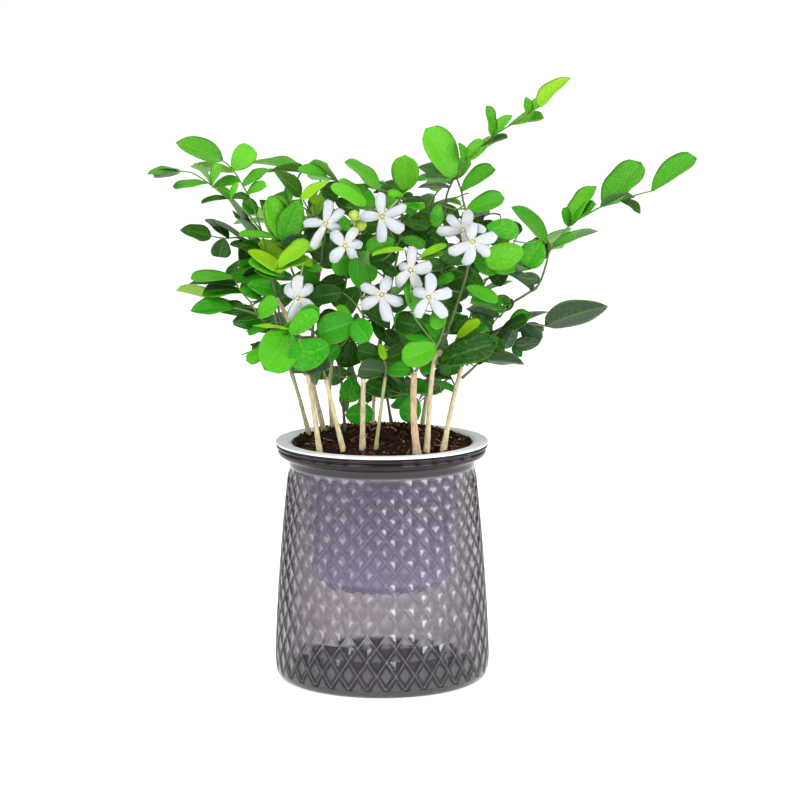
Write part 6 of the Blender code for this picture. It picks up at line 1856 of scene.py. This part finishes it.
def bent_sheet(shape, pose, share, rows, columns, fold, curl, wave, twist, upper, lower, edge, phase):
    """Adds one closed lens: an upper and a lower grid over a bent middle line that meet at the outline."""
    (start, middle, end), across, width = pose
    length = (end - start).length
    grids = ([], [])
    for r in range(rows + 1):
        t = r / rows
        centre = start * (1 - t) ** 2 + middle * (2 * t * (1 - t)) + end * t ** 2
        run = ((middle - start) * (1 - t) + (end - middle) * t).normalized()
        front = run.cross(across).normalized()
        turn = twist * (t - TWIST_FROM)
        side_way = across * math.cos(turn) + front * math.sin(turn)
        front = front * math.cos(turn) - across * math.sin(turn)
        half = width / 2 * share(t)
        for c in range(columns + 1):
            s = 2.0 * c / columns - 1.0
            swing = 2 * math.pi * (RIPPLES * t + phase) + s
            ripple = wave * length * math.sin(swing) * s * s * math.sin(math.pi * t)
            lift = fold * abs(s) * half + curl * s * s * half + ripple
            spot = centre + side_way * (s * half) + front * lift
            depth = edge / 2 * (1 - s * s) * min(1.0, 8 * t, 8 * (1 - t) + 0.2)
            grids[0].append((spot + front * depth, (t, s)))
            grids[1].append((spot - front * depth, (t, s)))
    wide = columns + 1
    upper_count = len(grids[0])
    points = [p for p, _ in grids[0]]
    places = [uv for _, uv in grids[0]]
    tints = [upper] * upper_count
    lower_index = {}
    for i, (p, uv) in enumerate(grids[1]):
        r, c = divmod(i, wide)
        if c in (0, columns) or r in (0, rows):
            lower_index[i] = i
        else:
            lower_index[i] = len(points)
            points.append(p)
            places.append(uv)
            tints.append(lower)
    faces = []
    for r in range(rows):
        for c in range(columns):
            a, b, d, e = r * wide + c, r * wide + c + 1, (r + 1) * wide + c, (r + 1) * wide + c + 1
            faces.append((a, b, e, d))
            faces.append(tuple(lower_index[i] for i in (a, d, e, b)))
    shape.add(points, faces, tints, places)


print("bent sheet ready")

# %% [markdown]
# ## A leaflet with its own shade
# Leaves of one tone still differ, so each gets a little chance in its light and warmth, and those near the
# top are yellower where the light shines through them.

# %% A leaflet with its own shade
# The dark, mid and bright greens are partly the leaves' own and partly painted shade and painted light
LEAF_COLOURS = {
    "dark": ("#0d4c0c", "#375b3a"), "mid": ("#208a0e", "#568a3e"), "bright": ("#46a816", "#76a63a"),
    "lime": ("#86bf16", "#98bc40"), "under": ("#25582c", "#2b4733"),
}
SUN_COLOUR, SUN_FOOT, SUN_RISE = "#7cc43a", 225.0, 110.0
SUN_SHARE, SHADED_SUN_SHARE = 0.3, 0.1
LEAF_EDGE = 0.22
FOLDS, CURLS, WAVES, TWISTS = (0.15, 0.42), (-0.15, 0.05), (0.0, 0.03), (-0.35, 0.35)
SLIM_LEAF, LARGE_LEAF, LARGE_GRID, SMALL_GRID = 0.66, 9.0, (13, 8), (10, 6)
CROWN_MIDDLE, CROWN_REACH = (0.0, 232.0), (60.0, 70.0)


def varied(code, draw, spread=0.14):
    """The linear colour of a hex code, a little lighter or darker and a little yellower by chance."""
    colour = linear(code)
    light = 1.0 + draw.uniform(-spread, spread)
    warm = 1.0 + draw.uniform(-spread, spread)
    return [colour[0] * light * warm, colour[1] * light, colour[2] * light / warm, 1.0]


def add_leaflet(shape, pose, tone, draw):
    """One leaflet with its own fold, wave, twist and shade."""
    (start, middle, end), across, width = pose
    x, z, _ = drawn_place(middle)
    most = SHADED_SUN_SHARE if tone in ("dark", "under") else SUN_SHARE
    sun = min(1.0, max(0.0, (z - SUN_FOOT) / SUN_RISE)) * most
    gold = linear(SUN_COLOUR)
    above, below = (
        [c + (s - c) * sun for c, s in zip(varied(code, draw), gold)] for code in LEAF_COLOURS[tone])
    slim = width < SLIM_LEAF * (end - start).length and tone != "bright"
    aside, above_middle = (x - CROWN_MIDDLE[0]) / CROWN_REACH[0], (z - CROWN_MIDDLE[1]) / CROWN_REACH[1]
    outer = slim and aside ** 2 + above_middle ** 2 > 1.0
    rows, columns = LARGE_GRID if width > LARGE_LEAF else SMALL_GRID
    chances = [draw.uniform(*reach) for reach in (FOLDS, CURLS, WAVES, TWISTS)]
    bent_sheet(shape, pose, pointed_share if outer else leaf_share, rows, columns, *chances,
               above, below, LEAF_EDGE, draw.random())


print("tones:", list(LEAF_COLOURS))

# %% [markdown]
# ## The leaf's skin
# A leaf has a waxy skin: it is glossy, but its gloss is broken by fine unevenness. The midrib, the slanted
# side veins and a pale edge, which is a painted highlight, are painted by the material from the place along
# and across the blade, because veins cut in the mesh would cost far more than they show. The mottling, partly
# the leaf's own and partly painted shade, is 4.5 mm wide, and painted sunlight makes yellower patches about
# 13 mm.

# %% The leaf's skin
leaf_skin = new_material("leaf_blade", "#159004", 0.36, 0.12)
leaf_tint = node(leaf_skin, "Attribute", attribute_name="tint")
leaf_place = node(leaf_skin, "UVMap", uv_map="places")
leaf_axes = node(leaf_skin, "SeparateXYZ", [leaf_place])
leaf_along, leaf_across = leaf_axes.outputs[0], leaf_axes.outputs[1]
leaf_away = node(leaf_skin, "Math", [leaf_across], operation="ABSOLUTE")
# Partly the blade's own mottling and partly painted shade within the leaf
mottle_and_shade = node(leaf_skin, "TexNoise", {"Scale": per_mm(4.5), "Detail": 3.0})
mottle_and_shade_range = node(leaf_skin, "MapRange", [mottle_and_shade, 0.3, 0.7, 0.72, 1.2])
mottled_and_shaded = node(leaf_skin, "MixRGB", [1.0, leaf_tint, mottle_and_shade_range], blend_type="MULTIPLY")
# Painted light: yellower sun patches screened over the green
sun_patches = node(leaf_skin, "TexNoise", {"Scale": per_mm(13), "Detail": 2.0})
sun_patch_range = node(leaf_skin, "MapRange", [sun_patches, 0.48, 0.68, 0.0, 0.45])
sun_patch_tone = node(leaf_skin, "MixRGB", [0.12, mottled_and_shaded, linear("#ffe070")], blend_type="SCREEN")
leaf_base = node(leaf_skin, "MixRGB", [sun_patch_range, mottled_and_shaded, sun_patch_tone])
print("the leaf's ground has", len(leaf_skin.node_tree.nodes), "nodes")

# %% [markdown]
# ## Veins and edge of the leaf
# Nine pairs of side veins leave the midrib at a slant. A wave along the blade, shifted toward the edge,
# gives them their even spacing. They are a little sunk, and a painted highlight makes the edge paler.

# %% Veins and edge of the leaf
VEIN_PAIRS, VEIN_SLANT = 9.0, 0.16
midrib = node(leaf_skin, "MapRange", [leaf_away, 0.02, 0.11, 1.0, 0.0])
vein_slant = node(leaf_skin, "Math", [leaf_away, VEIN_SLANT], operation="MULTIPLY")
vein_step = node(leaf_skin, "Math", [leaf_along, vein_slant], operation="SUBTRACT")
vein_count = node(leaf_skin, "Math", [vein_step, VEIN_PAIRS], operation="MULTIPLY")
vein_wave = node(leaf_skin, "Math", [vein_count, 0.5], operation="PINGPONG")
side_vein = node(leaf_skin, "MapRange", [vein_wave, 0.0, 0.09, 1.0, 0.0])
vein_tone = node(leaf_skin, "MixRGB", [0.4, leaf_base, linear("#7fc040")])
side_amount = node(leaf_skin, "Math", [side_vein, 0.14], operation="MULTIPLY")
side_mix = node(leaf_skin, "MixRGB", [side_amount, leaf_base, vein_tone])
rib_amount = node(leaf_skin, "Math", [midrib, 0.4], operation="MULTIPLY")
rib_mix = node(leaf_skin, "MixRGB", [rib_amount, side_mix, vein_tone])
# Painted highlight: the edge is lightened toward a pale green
edge_highlight = node(leaf_skin, "MapRange", [leaf_away, 0.86, 1.0, 0.0, 0.3])
edge_highlight_mix = node(leaf_skin, "MixRGB", [edge_highlight, rib_mix, linear("#a9cf5a")])
vein_height = node(leaf_skin, "Math", [midrib, side_vein], operation="MAXIMUM")
leaf_bump = node(leaf_skin, "Bump", {"Strength": 0.35, "Distance": 0.4 * MM, "Height": vein_height},
                 invert=True)
gloss = node(leaf_skin, "MapRange", [mottle_and_shade, 0.3, 0.7, 0.3, 0.46])
finish(leaf_skin, {"Base Color": edge_highlight_mix, "Normal": leaf_bump, "Roughness": gloss})
print("the leaf's skin has", len(leaf_skin.node_tree.nodes), "nodes")

# %% [markdown]
# ## Twigs with young bark
# A young twig is green to brown, dull and finely rough. It is a thin tube along a path that is smoothed
# through the table's points, because a real twig has no kinks.

# %% Twigs with young bark
twig_bark = new_material("young_bark", "#5d6140", 0.6)
twig_tint = node(twig_bark, "Attribute", attribute_name="tint")
twig_grain = node(twig_bark, "TexNoise", {"Scale": per_mm(1.5), "Detail": 4.0})
twig_range = node(twig_bark, "MapRange", [twig_grain, 0.3, 0.7, 0.65, 1.3])
twig_mix = node(twig_bark, "MixRGB", [1.0, twig_tint, twig_range], blend_type="MULTIPLY")
twig_bump = node(twig_bark, "Bump", {"Strength": 0.4, "Distance": 0.3 * MM, "Height": twig_grain})
finish(twig_bark, {"Base Color": twig_mix, "Normal": twig_bump})


def smooth_path(points, step=3.0):
    """A path through the same points with rounded bends."""
    ends = [points[0] * 2 - points[1], *points, points[-1] * 2 - points[-2]]
    path = []
    for a, b, c, d in zip(ends, ends[1:], ends[2:], ends[3:]):
        count = max(1, round((c - b).length / step))
        for i in range(count):
            t = i / count
            path.append(0.5 * (2 * b + (c - a) * t + (2 * a - 5 * b + 4 * c - d) * t ** 2
                               + (3 * b - a - 3 * c + d) * t ** 3))
    path.append(points[-1])
    return path


def add_twig(shape, points, start_radius, end_radius, code, slot=1):
    made, faces = strand(smooth_path(points), start_radius, 7, end_radius, carried=True)
    shape.add(made, faces, code, slot=slot)


print("points of a smoothed twig:", len(smooth_path(plant.tubes["shoot_left_crown"][0][0])))

# %% [markdown]
# ## The leafy shoots are built
# Each shoot becomes one object that stands for its solid: a browner main twig, green side twigs, pale
# stalks and its leaflets, which are a little wider than the solid's.

# %% The leafy shoots are built
FINE_LEAF_WIDTH, WIDEST_FINE_LEAF = 1.2, 0.78
MAIN_TWIG = (1.0, 0.6, "#5f6640")
SIDE_TWIG = (0.62, 0.4, "#5d8038")
FLOWER_STALK = (0.55, 0.5, "#a3b677")
slots = {row["node"]: row["material_slot"] for row in frame["record"]["subparts"]}
draw = random.Random(21)
for name in [*SHOOTS, *RULED_SHOOTS]:
    leaves = Shape()
    for i, (points, *_) in enumerate(plant.tubes[name]):
        side_twig = i < twig_counts[name] or name in RULED_SHOOTS
        add_twig(leaves, points, *(MAIN_TWIG if i == 0 else SIDE_TWIG if side_twig else FLOWER_STALK))
    for (path, across, width, _), tone in plant.blades[name]:
        widest = WIDEST_FINE_LEAF * (path[2] - path[0]).length
        add_leaflet(leaves, (path, across, min(width * FINE_LEAF_WIDTH, widest)), tone, draw)
    leaves.make(name + "_fine", [leaf_skin, twig_bark], slots[name], [name], move=settled)
print("leafy shoots:", len(SHOOTS) + len(RULED_SHOOTS))

# %% [markdown]
# ## The further leaves are built
# They stand for no solid, so they are kept in three objects by tone, and one object holds their stalks.

# %% The further leaves are built
LEAF_GROUPS = {
    "shaded_leaves": ("leaf_dark", ("dark", "under")),
    "green_leaves": ("leaf_green", ("mid",)),
    "bright_leaves": ("leaf_bright", ("bright", "lime")),
}
for name, (slot, tones) in LEAF_GROUPS.items():
    leaves = Shape()
    for *pose, tone in front_leaves + fill_leaves:
        if tone in tones:
            add_leaflet(leaves, pose, tone, draw)
    leaves.make(name, [leaf_skin, twig_bark], slot, move=settled)
FILL_RACHIS, FRONT_STALK = (0.6, 0.35, "#4f7436"), (0.55, 0.4, "#557a38")
stalks = Shape()
for rachis in fill_twigs:
    add_twig(stalks, rachis, *FILL_RACHIS, 0)
for stalk in front_stalks:
    add_twig(stalks, stalk, *FRONT_STALK, 0)
stalks.make("leaf_stalks", [twig_bark], "leaf_dark", move=settled)
print("further leaves:", len(front_leaves) + len(fill_leaves))

# %% [markdown]
# ## The bark of the stems
# The stems are seedlings' wood: pale, dry and dull, with streaks along the stem, leaf scars and brown
# specks, the lenticels. The streaks are 1.1 mm wide and stretched four to five times along the stem.

# %% The bark of the stems
bark = new_material("stem_bark", "#d2bd8c", 0.75, 0.3)
bark_tint = node(bark, "Attribute", attribute_name="tint")
bark_place = node(bark, "TexCoord")
bark_stretch = node(bark, "Mapping", {"Vector": bark_place.outputs["Object"], "Scale": (1.0, 1.0, 0.22)})
streaks = node(bark, "TexNoise", {"Vector": bark_stretch, "Scale": per_mm(1.1), "Detail": 5.0})
streak_range = node(bark, "MapRange", [streaks, 0.3, 0.7, 0.62, 1.25])
bark_base = node(bark, "MixRGB", [1.0, bark_tint, streak_range], blend_type="MULTIPLY")
specks = node(bark, "TexNoise", {"Scale": per_mm(1.7), "Detail": 2.0})
speck_mask = node(bark, "MapRange", [specks, 0.57, 0.64, 0.0, 0.8])
bark_mix = node(bark, "MixRGB", [speck_mask, bark_base, linear("#6b5232")])
bark_bump = node(bark, "Bump", {"Strength": 0.6, "Distance": 0.4 * MM, "Height": streaks})
finish(bark, {"Base Color": bark_mix, "Normal": bark_bump})
print("bark nodes:", len(bark.node_tree.nodes))

# %% [markdown]
# ## The stems are built
# A stem is a tube whose thickness changes along it: it flares where it enters the soil, swells at each leaf
# scar and thins toward its top. A plain rod would read as a drawn bar.

# %% The stems are built
BARK_COLOURS = {
    "wood": "#d0c29c", "reddish wood": "#bba284", "green wood": "#a3a678", "dark wood": "#565340",
}
SCAR_STEP, SCAR_SWELLING, SCAR_SHARPNESS, SCAR_SHIFT = 17.0, 0.11, 9.0, 0.37
FOOT_FLARE, FLARE_HEIGHT, TOP_THINNING = 0.28, 5.0, 0.16


def stem_thickness(radius, length, phase):
    """A rule that gives a stem's radius at a share of its length."""
    def thickness(share):
        along = share * length
        flare = FOOT_FLARE * math.exp(-max(0.0, along - STEM_DEPTH) / FLARE_HEIGHT)
        scar = math.exp(-(((along / SCAR_STEP + phase) % 1.0 - 0.5) * SCAR_SHARPNESS) ** 2)
        return radius * (1.0 - TOP_THINNING * share + flare + SCAR_SWELLING * scar)
    return thickness


for number, name in enumerate(STEMS):
    points, radius, _ = plant.tubes[name][0]
    path = smooth_path(points, 1.5)
    length = sum((b - a).length for a, b in zip(path, path[1:]))
    made, faces = strand(path, stem_thickness(radius, length, number * SCAR_SHIFT), 12, carried=True)
    stem = Shape()
    stem.add(made, faces, BARK_COLOURS[STEM_WOOD.get(name, "wood")])
    stem.make(name + "_fine", [bark], slots[name], [name], move=settled)
print("stems built:", len(STEMS))

# %% [markdown]
# ## The petal's skin
# A petal is soft, white and slightly translucent, with fine ridges along it, painted grey shade in soft
# patches and yellower in the throat. It is dull, so its roughness is high and its shine low. Seven ridges
# run across its width.

# %% The petal's skin
petal_skin = new_material("petal", "#efecf3", 0.5, 0.3)
petal_tint = node(petal_skin, "Attribute", attribute_name="tint")
petal_place = node(petal_skin, "UVMap", uv_map="places")
petal_axes = node(petal_skin, "SeparateXYZ", [petal_place])
ridge_count = node(petal_skin, "Math", [petal_axes.outputs[1], 3.5], operation="MULTIPLY")
ridges = node(petal_skin, "Math", [ridge_count, 0.5], operation="PINGPONG")
petal_bump = node(petal_skin, "Bump", {"Strength": 0.6, "Distance": 0.7 * MM, "Height": ridges})
# Painted shade: grey patches mixed into the white
petal_shade_noise = node(petal_skin, "TexNoise", {"Scale": per_mm(3.2), "Detail": 3.0})
petal_shade = node(petal_skin, "MapRange", [petal_shade_noise, 0.4, 0.68, 0.0, 0.5])
shaded_petal_tone = node(petal_skin, "MixRGB", [petal_shade, petal_tint, linear("#a2a6ae")])
throat = node(petal_skin, "MapRange", [petal_axes.outputs[0], 0.0, 0.22, 0.55, 0.0])
petal_mix = node(petal_skin, "MixRGB", [throat, shaded_petal_tone, linear("#d8d4b4")])
finish(petal_skin, {"Base Color": petal_mix, "Normal": petal_bump})
print("petal nodes:", len(petal_skin.node_tree.nodes))

# %% [markdown]
# ## The heart of a bloom
# Ten stamens stand round a stout style. Their filaments are thin threads, and pollen makes the anthers matt
# and grainy. Anthers and the style's head are small spindles.

# %% The heart of a bloom
STAMENS, FILAMENT_RADIUS, FILAMENT_LENGTH, FILAMENT_LEANS = 10, 0.16, (3.4, 5.0), (0.42, 0.22)
HEART_LIFT, STYLE_LENGTH, STYLE_RADIUS, STYLE_TIP_RADIUS = 0.8, 4.6, 0.45, 0.4
ANTHER, STYLE_HEAD, HEART_FOOT = (1.5, 0.42), (1.3, 0.6, "#d2cb96"), (1.8, 1.1, "#d3d2a6")
ANTHER_COLOURS = ("#e6dfbc", "#d9cfa0", "#efe9d2")
heart_skin = new_material("stamens_and_style", "#d8cf9a", 0.6)
heart_tint = node(heart_skin, "Attribute", attribute_name="tint")
pollen = node(heart_skin, "TexNoise", {"Scale": per_mm(0.5), "Detail": 2.0})
pollen_bump = node(heart_skin, "Bump", {"Strength": 0.3, "Distance": 0.2 * MM, "Height": pollen})
finish(heart_skin, {"Base Color": heart_tint, "Normal": pollen_bump})


def add_knob(shape, centre, axis, length, radius, code):
    """A small rounded spindle, for an anther or the head of a style."""
    path = [centre + axis * (length * (k / 5 - 0.5)) for k in range(6)]
    made, faces = strand(path, lambda share: radius * (0.25 + 0.75 * math.sin(math.pi * share)), 6)
    shape.add(made, faces, code)


def bloom_heart(centre, facing):
    """The stamens and the style of one bloom."""
    heart = Shape()
    side = facing.cross(Vector((0, 0, 1))).normalized()
    top = side.cross(facing)
    foot = centre + facing * HEART_LIFT
    for k in range(STAMENS):
        angle = 2 * math.pi * k / STAMENS + draw.uniform(-0.15, 0.15)
        around = side * math.cos(angle) + top * math.sin(angle)
        way = (facing + around * FILAMENT_LEANS[k % 2]).normalized()
        root = foot + around
        end = root + way * draw.uniform(*FILAMENT_LENGTH)
        heart.add(*strand([root, root.lerp(end, 0.5) + facing * 0.2, end], FILAMENT_RADIUS, 5), "#f0eedd")
        add_knob(heart, end, way, *ANTHER, draw.choice(ANTHER_COLOURS))
    style = [foot - facing * 0.6, foot + facing * STYLE_LENGTH]
    heart.add(*strand(style, STYLE_RADIUS, 8, STYLE_TIP_RADIUS), "#d8dbb0")
    add_knob(heart, foot + facing * 4.8, facing, *STYLE_HEAD)
    add_knob(heart, foot, facing, *HEART_FOOT)
    return heart


print("stamens of a bloom:", STAMENS)

# %% [markdown]
# ## The blooms are built
# The petals follow the tips that the photo shows, a little wider than their solids, and each bends, curls
# and twists by its own chance.

# %% The blooms are built
FINE_PETAL_WIDTH, FINE_PETAL_START, PETAL_EDGE, PETAL_WAVE, PETAL_WHITE = 7.0, 0.7, 0.35, 0.02, "#c3c7ca"
PETAL_SWAY, PETAL_LIFT, TIP_SWAY, TIP_DROP = (-1.5, 1.5), (-0.5, 1.5), (-1.2, 1.2), (0.0, 3.5)
PETAL_WIDTHS, PETAL_CURL, PETAL_TWIST = (0.85, 1.15), (-0.9, -0.35), (-0.5, 0.5)
draw = random.Random(31)
for name, (centre, facing, _, poses) in blooms.items():
    petals = Shape()
    for (start, middle, end), across, *_ in poses:
        run = (start - centre).normalized()
        middle = middle + across * draw.uniform(*PETAL_SWAY) + facing * draw.uniform(*PETAL_LIFT)
        end = end + across * draw.uniform(*TIP_SWAY) - facing * draw.uniform(*TIP_DROP)
        width = FINE_PETAL_WIDTH * draw.uniform(*PETAL_WIDTHS)
        white = varied(PETAL_WHITE, draw, 0.03)
        curl, twist = draw.uniform(*PETAL_CURL), draw.uniform(*PETAL_TWIST)
        pose = ((centre + run * FINE_PETAL_START, middle, end), across, width)
        bent_sheet(petals, pose, petal_share, 14, 8, 0.0, curl, PETAL_WAVE, twist, white, white, PETAL_EDGE,
                   draw.random())
    petals.make(name + "_petals_fine", [petal_skin], "petal_white", [name + "_petals"], move=settled)
    heart = bloom_heart(centre, facing)
    heart.make(name + "_heart_fine", [heart_skin], "heart_cream", [name + "_heart"], move=settled)
print("blooms built:", len(blooms))

# %% [markdown]
# ## The buds
# A bud of orange jasmine is a small lime egg with a smooth, faintly cloudy skin. It is turned, a little
# narrower toward its tip.

# %% The buds
BUD_RINGS, BUD_SIDES, BUD_TIP, BUD_TAPER = 14, 20, 1.06, 0.05
bud_skin = new_material("bud_skin", "#b8cf3e", 0.42)
bud_noise = node(bud_skin, "TexNoise", {"Scale": per_mm(1.3), "Detail": 3.0})
bud_mix = node(bud_skin, "MixRGB", [bud_noise, linear("#a3bf2a"), linear("#d3e067")])
bud_bump = node(bud_skin, "Bump", {"Strength": 0.25, "Distance": 0.3 * MM, "Height": bud_noise})
finish(bud_skin, {"Base Color": bud_mix, "Normal": bud_bump})
for name, (centre, radius) in buds.items():
    angles = [math.pi * k / BUD_RINGS for k in range(1, BUD_RINGS)]
    sides = [(radius * math.sin(a) * (1.0 - BUD_TAPER * math.cos(a)), -radius * math.cos(a))
             for a in angles]
    made, faces = turned([(0.0, -radius), *sides, (0.0, radius * BUD_TIP)], BUD_SIDES)
    bud = Shape()
    bud.add([centre + p for p in made], faces, "#b8cf3e")
    bud.make(name + "_fine", [bud_skin], "bud_lime", [name], move=settled)
print("buds built:", len(buds))

# %% [markdown]
# ## Sizes and the end
# Both boxes, round the solids and round the dressed plant, are printed in millimetres. The dressed plant
# has to stay as large as its solids.

# %% Sizes and the end
dressed_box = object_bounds()
boxes = {"cad": [list(corner) for corner in cad_box], "dressed": [list(corner) for corner in dressed_box]}
for which, box in boxes.items():
    print(which, "box mm:", [[round(c / MM, 1) for c in corner] for corner in box])
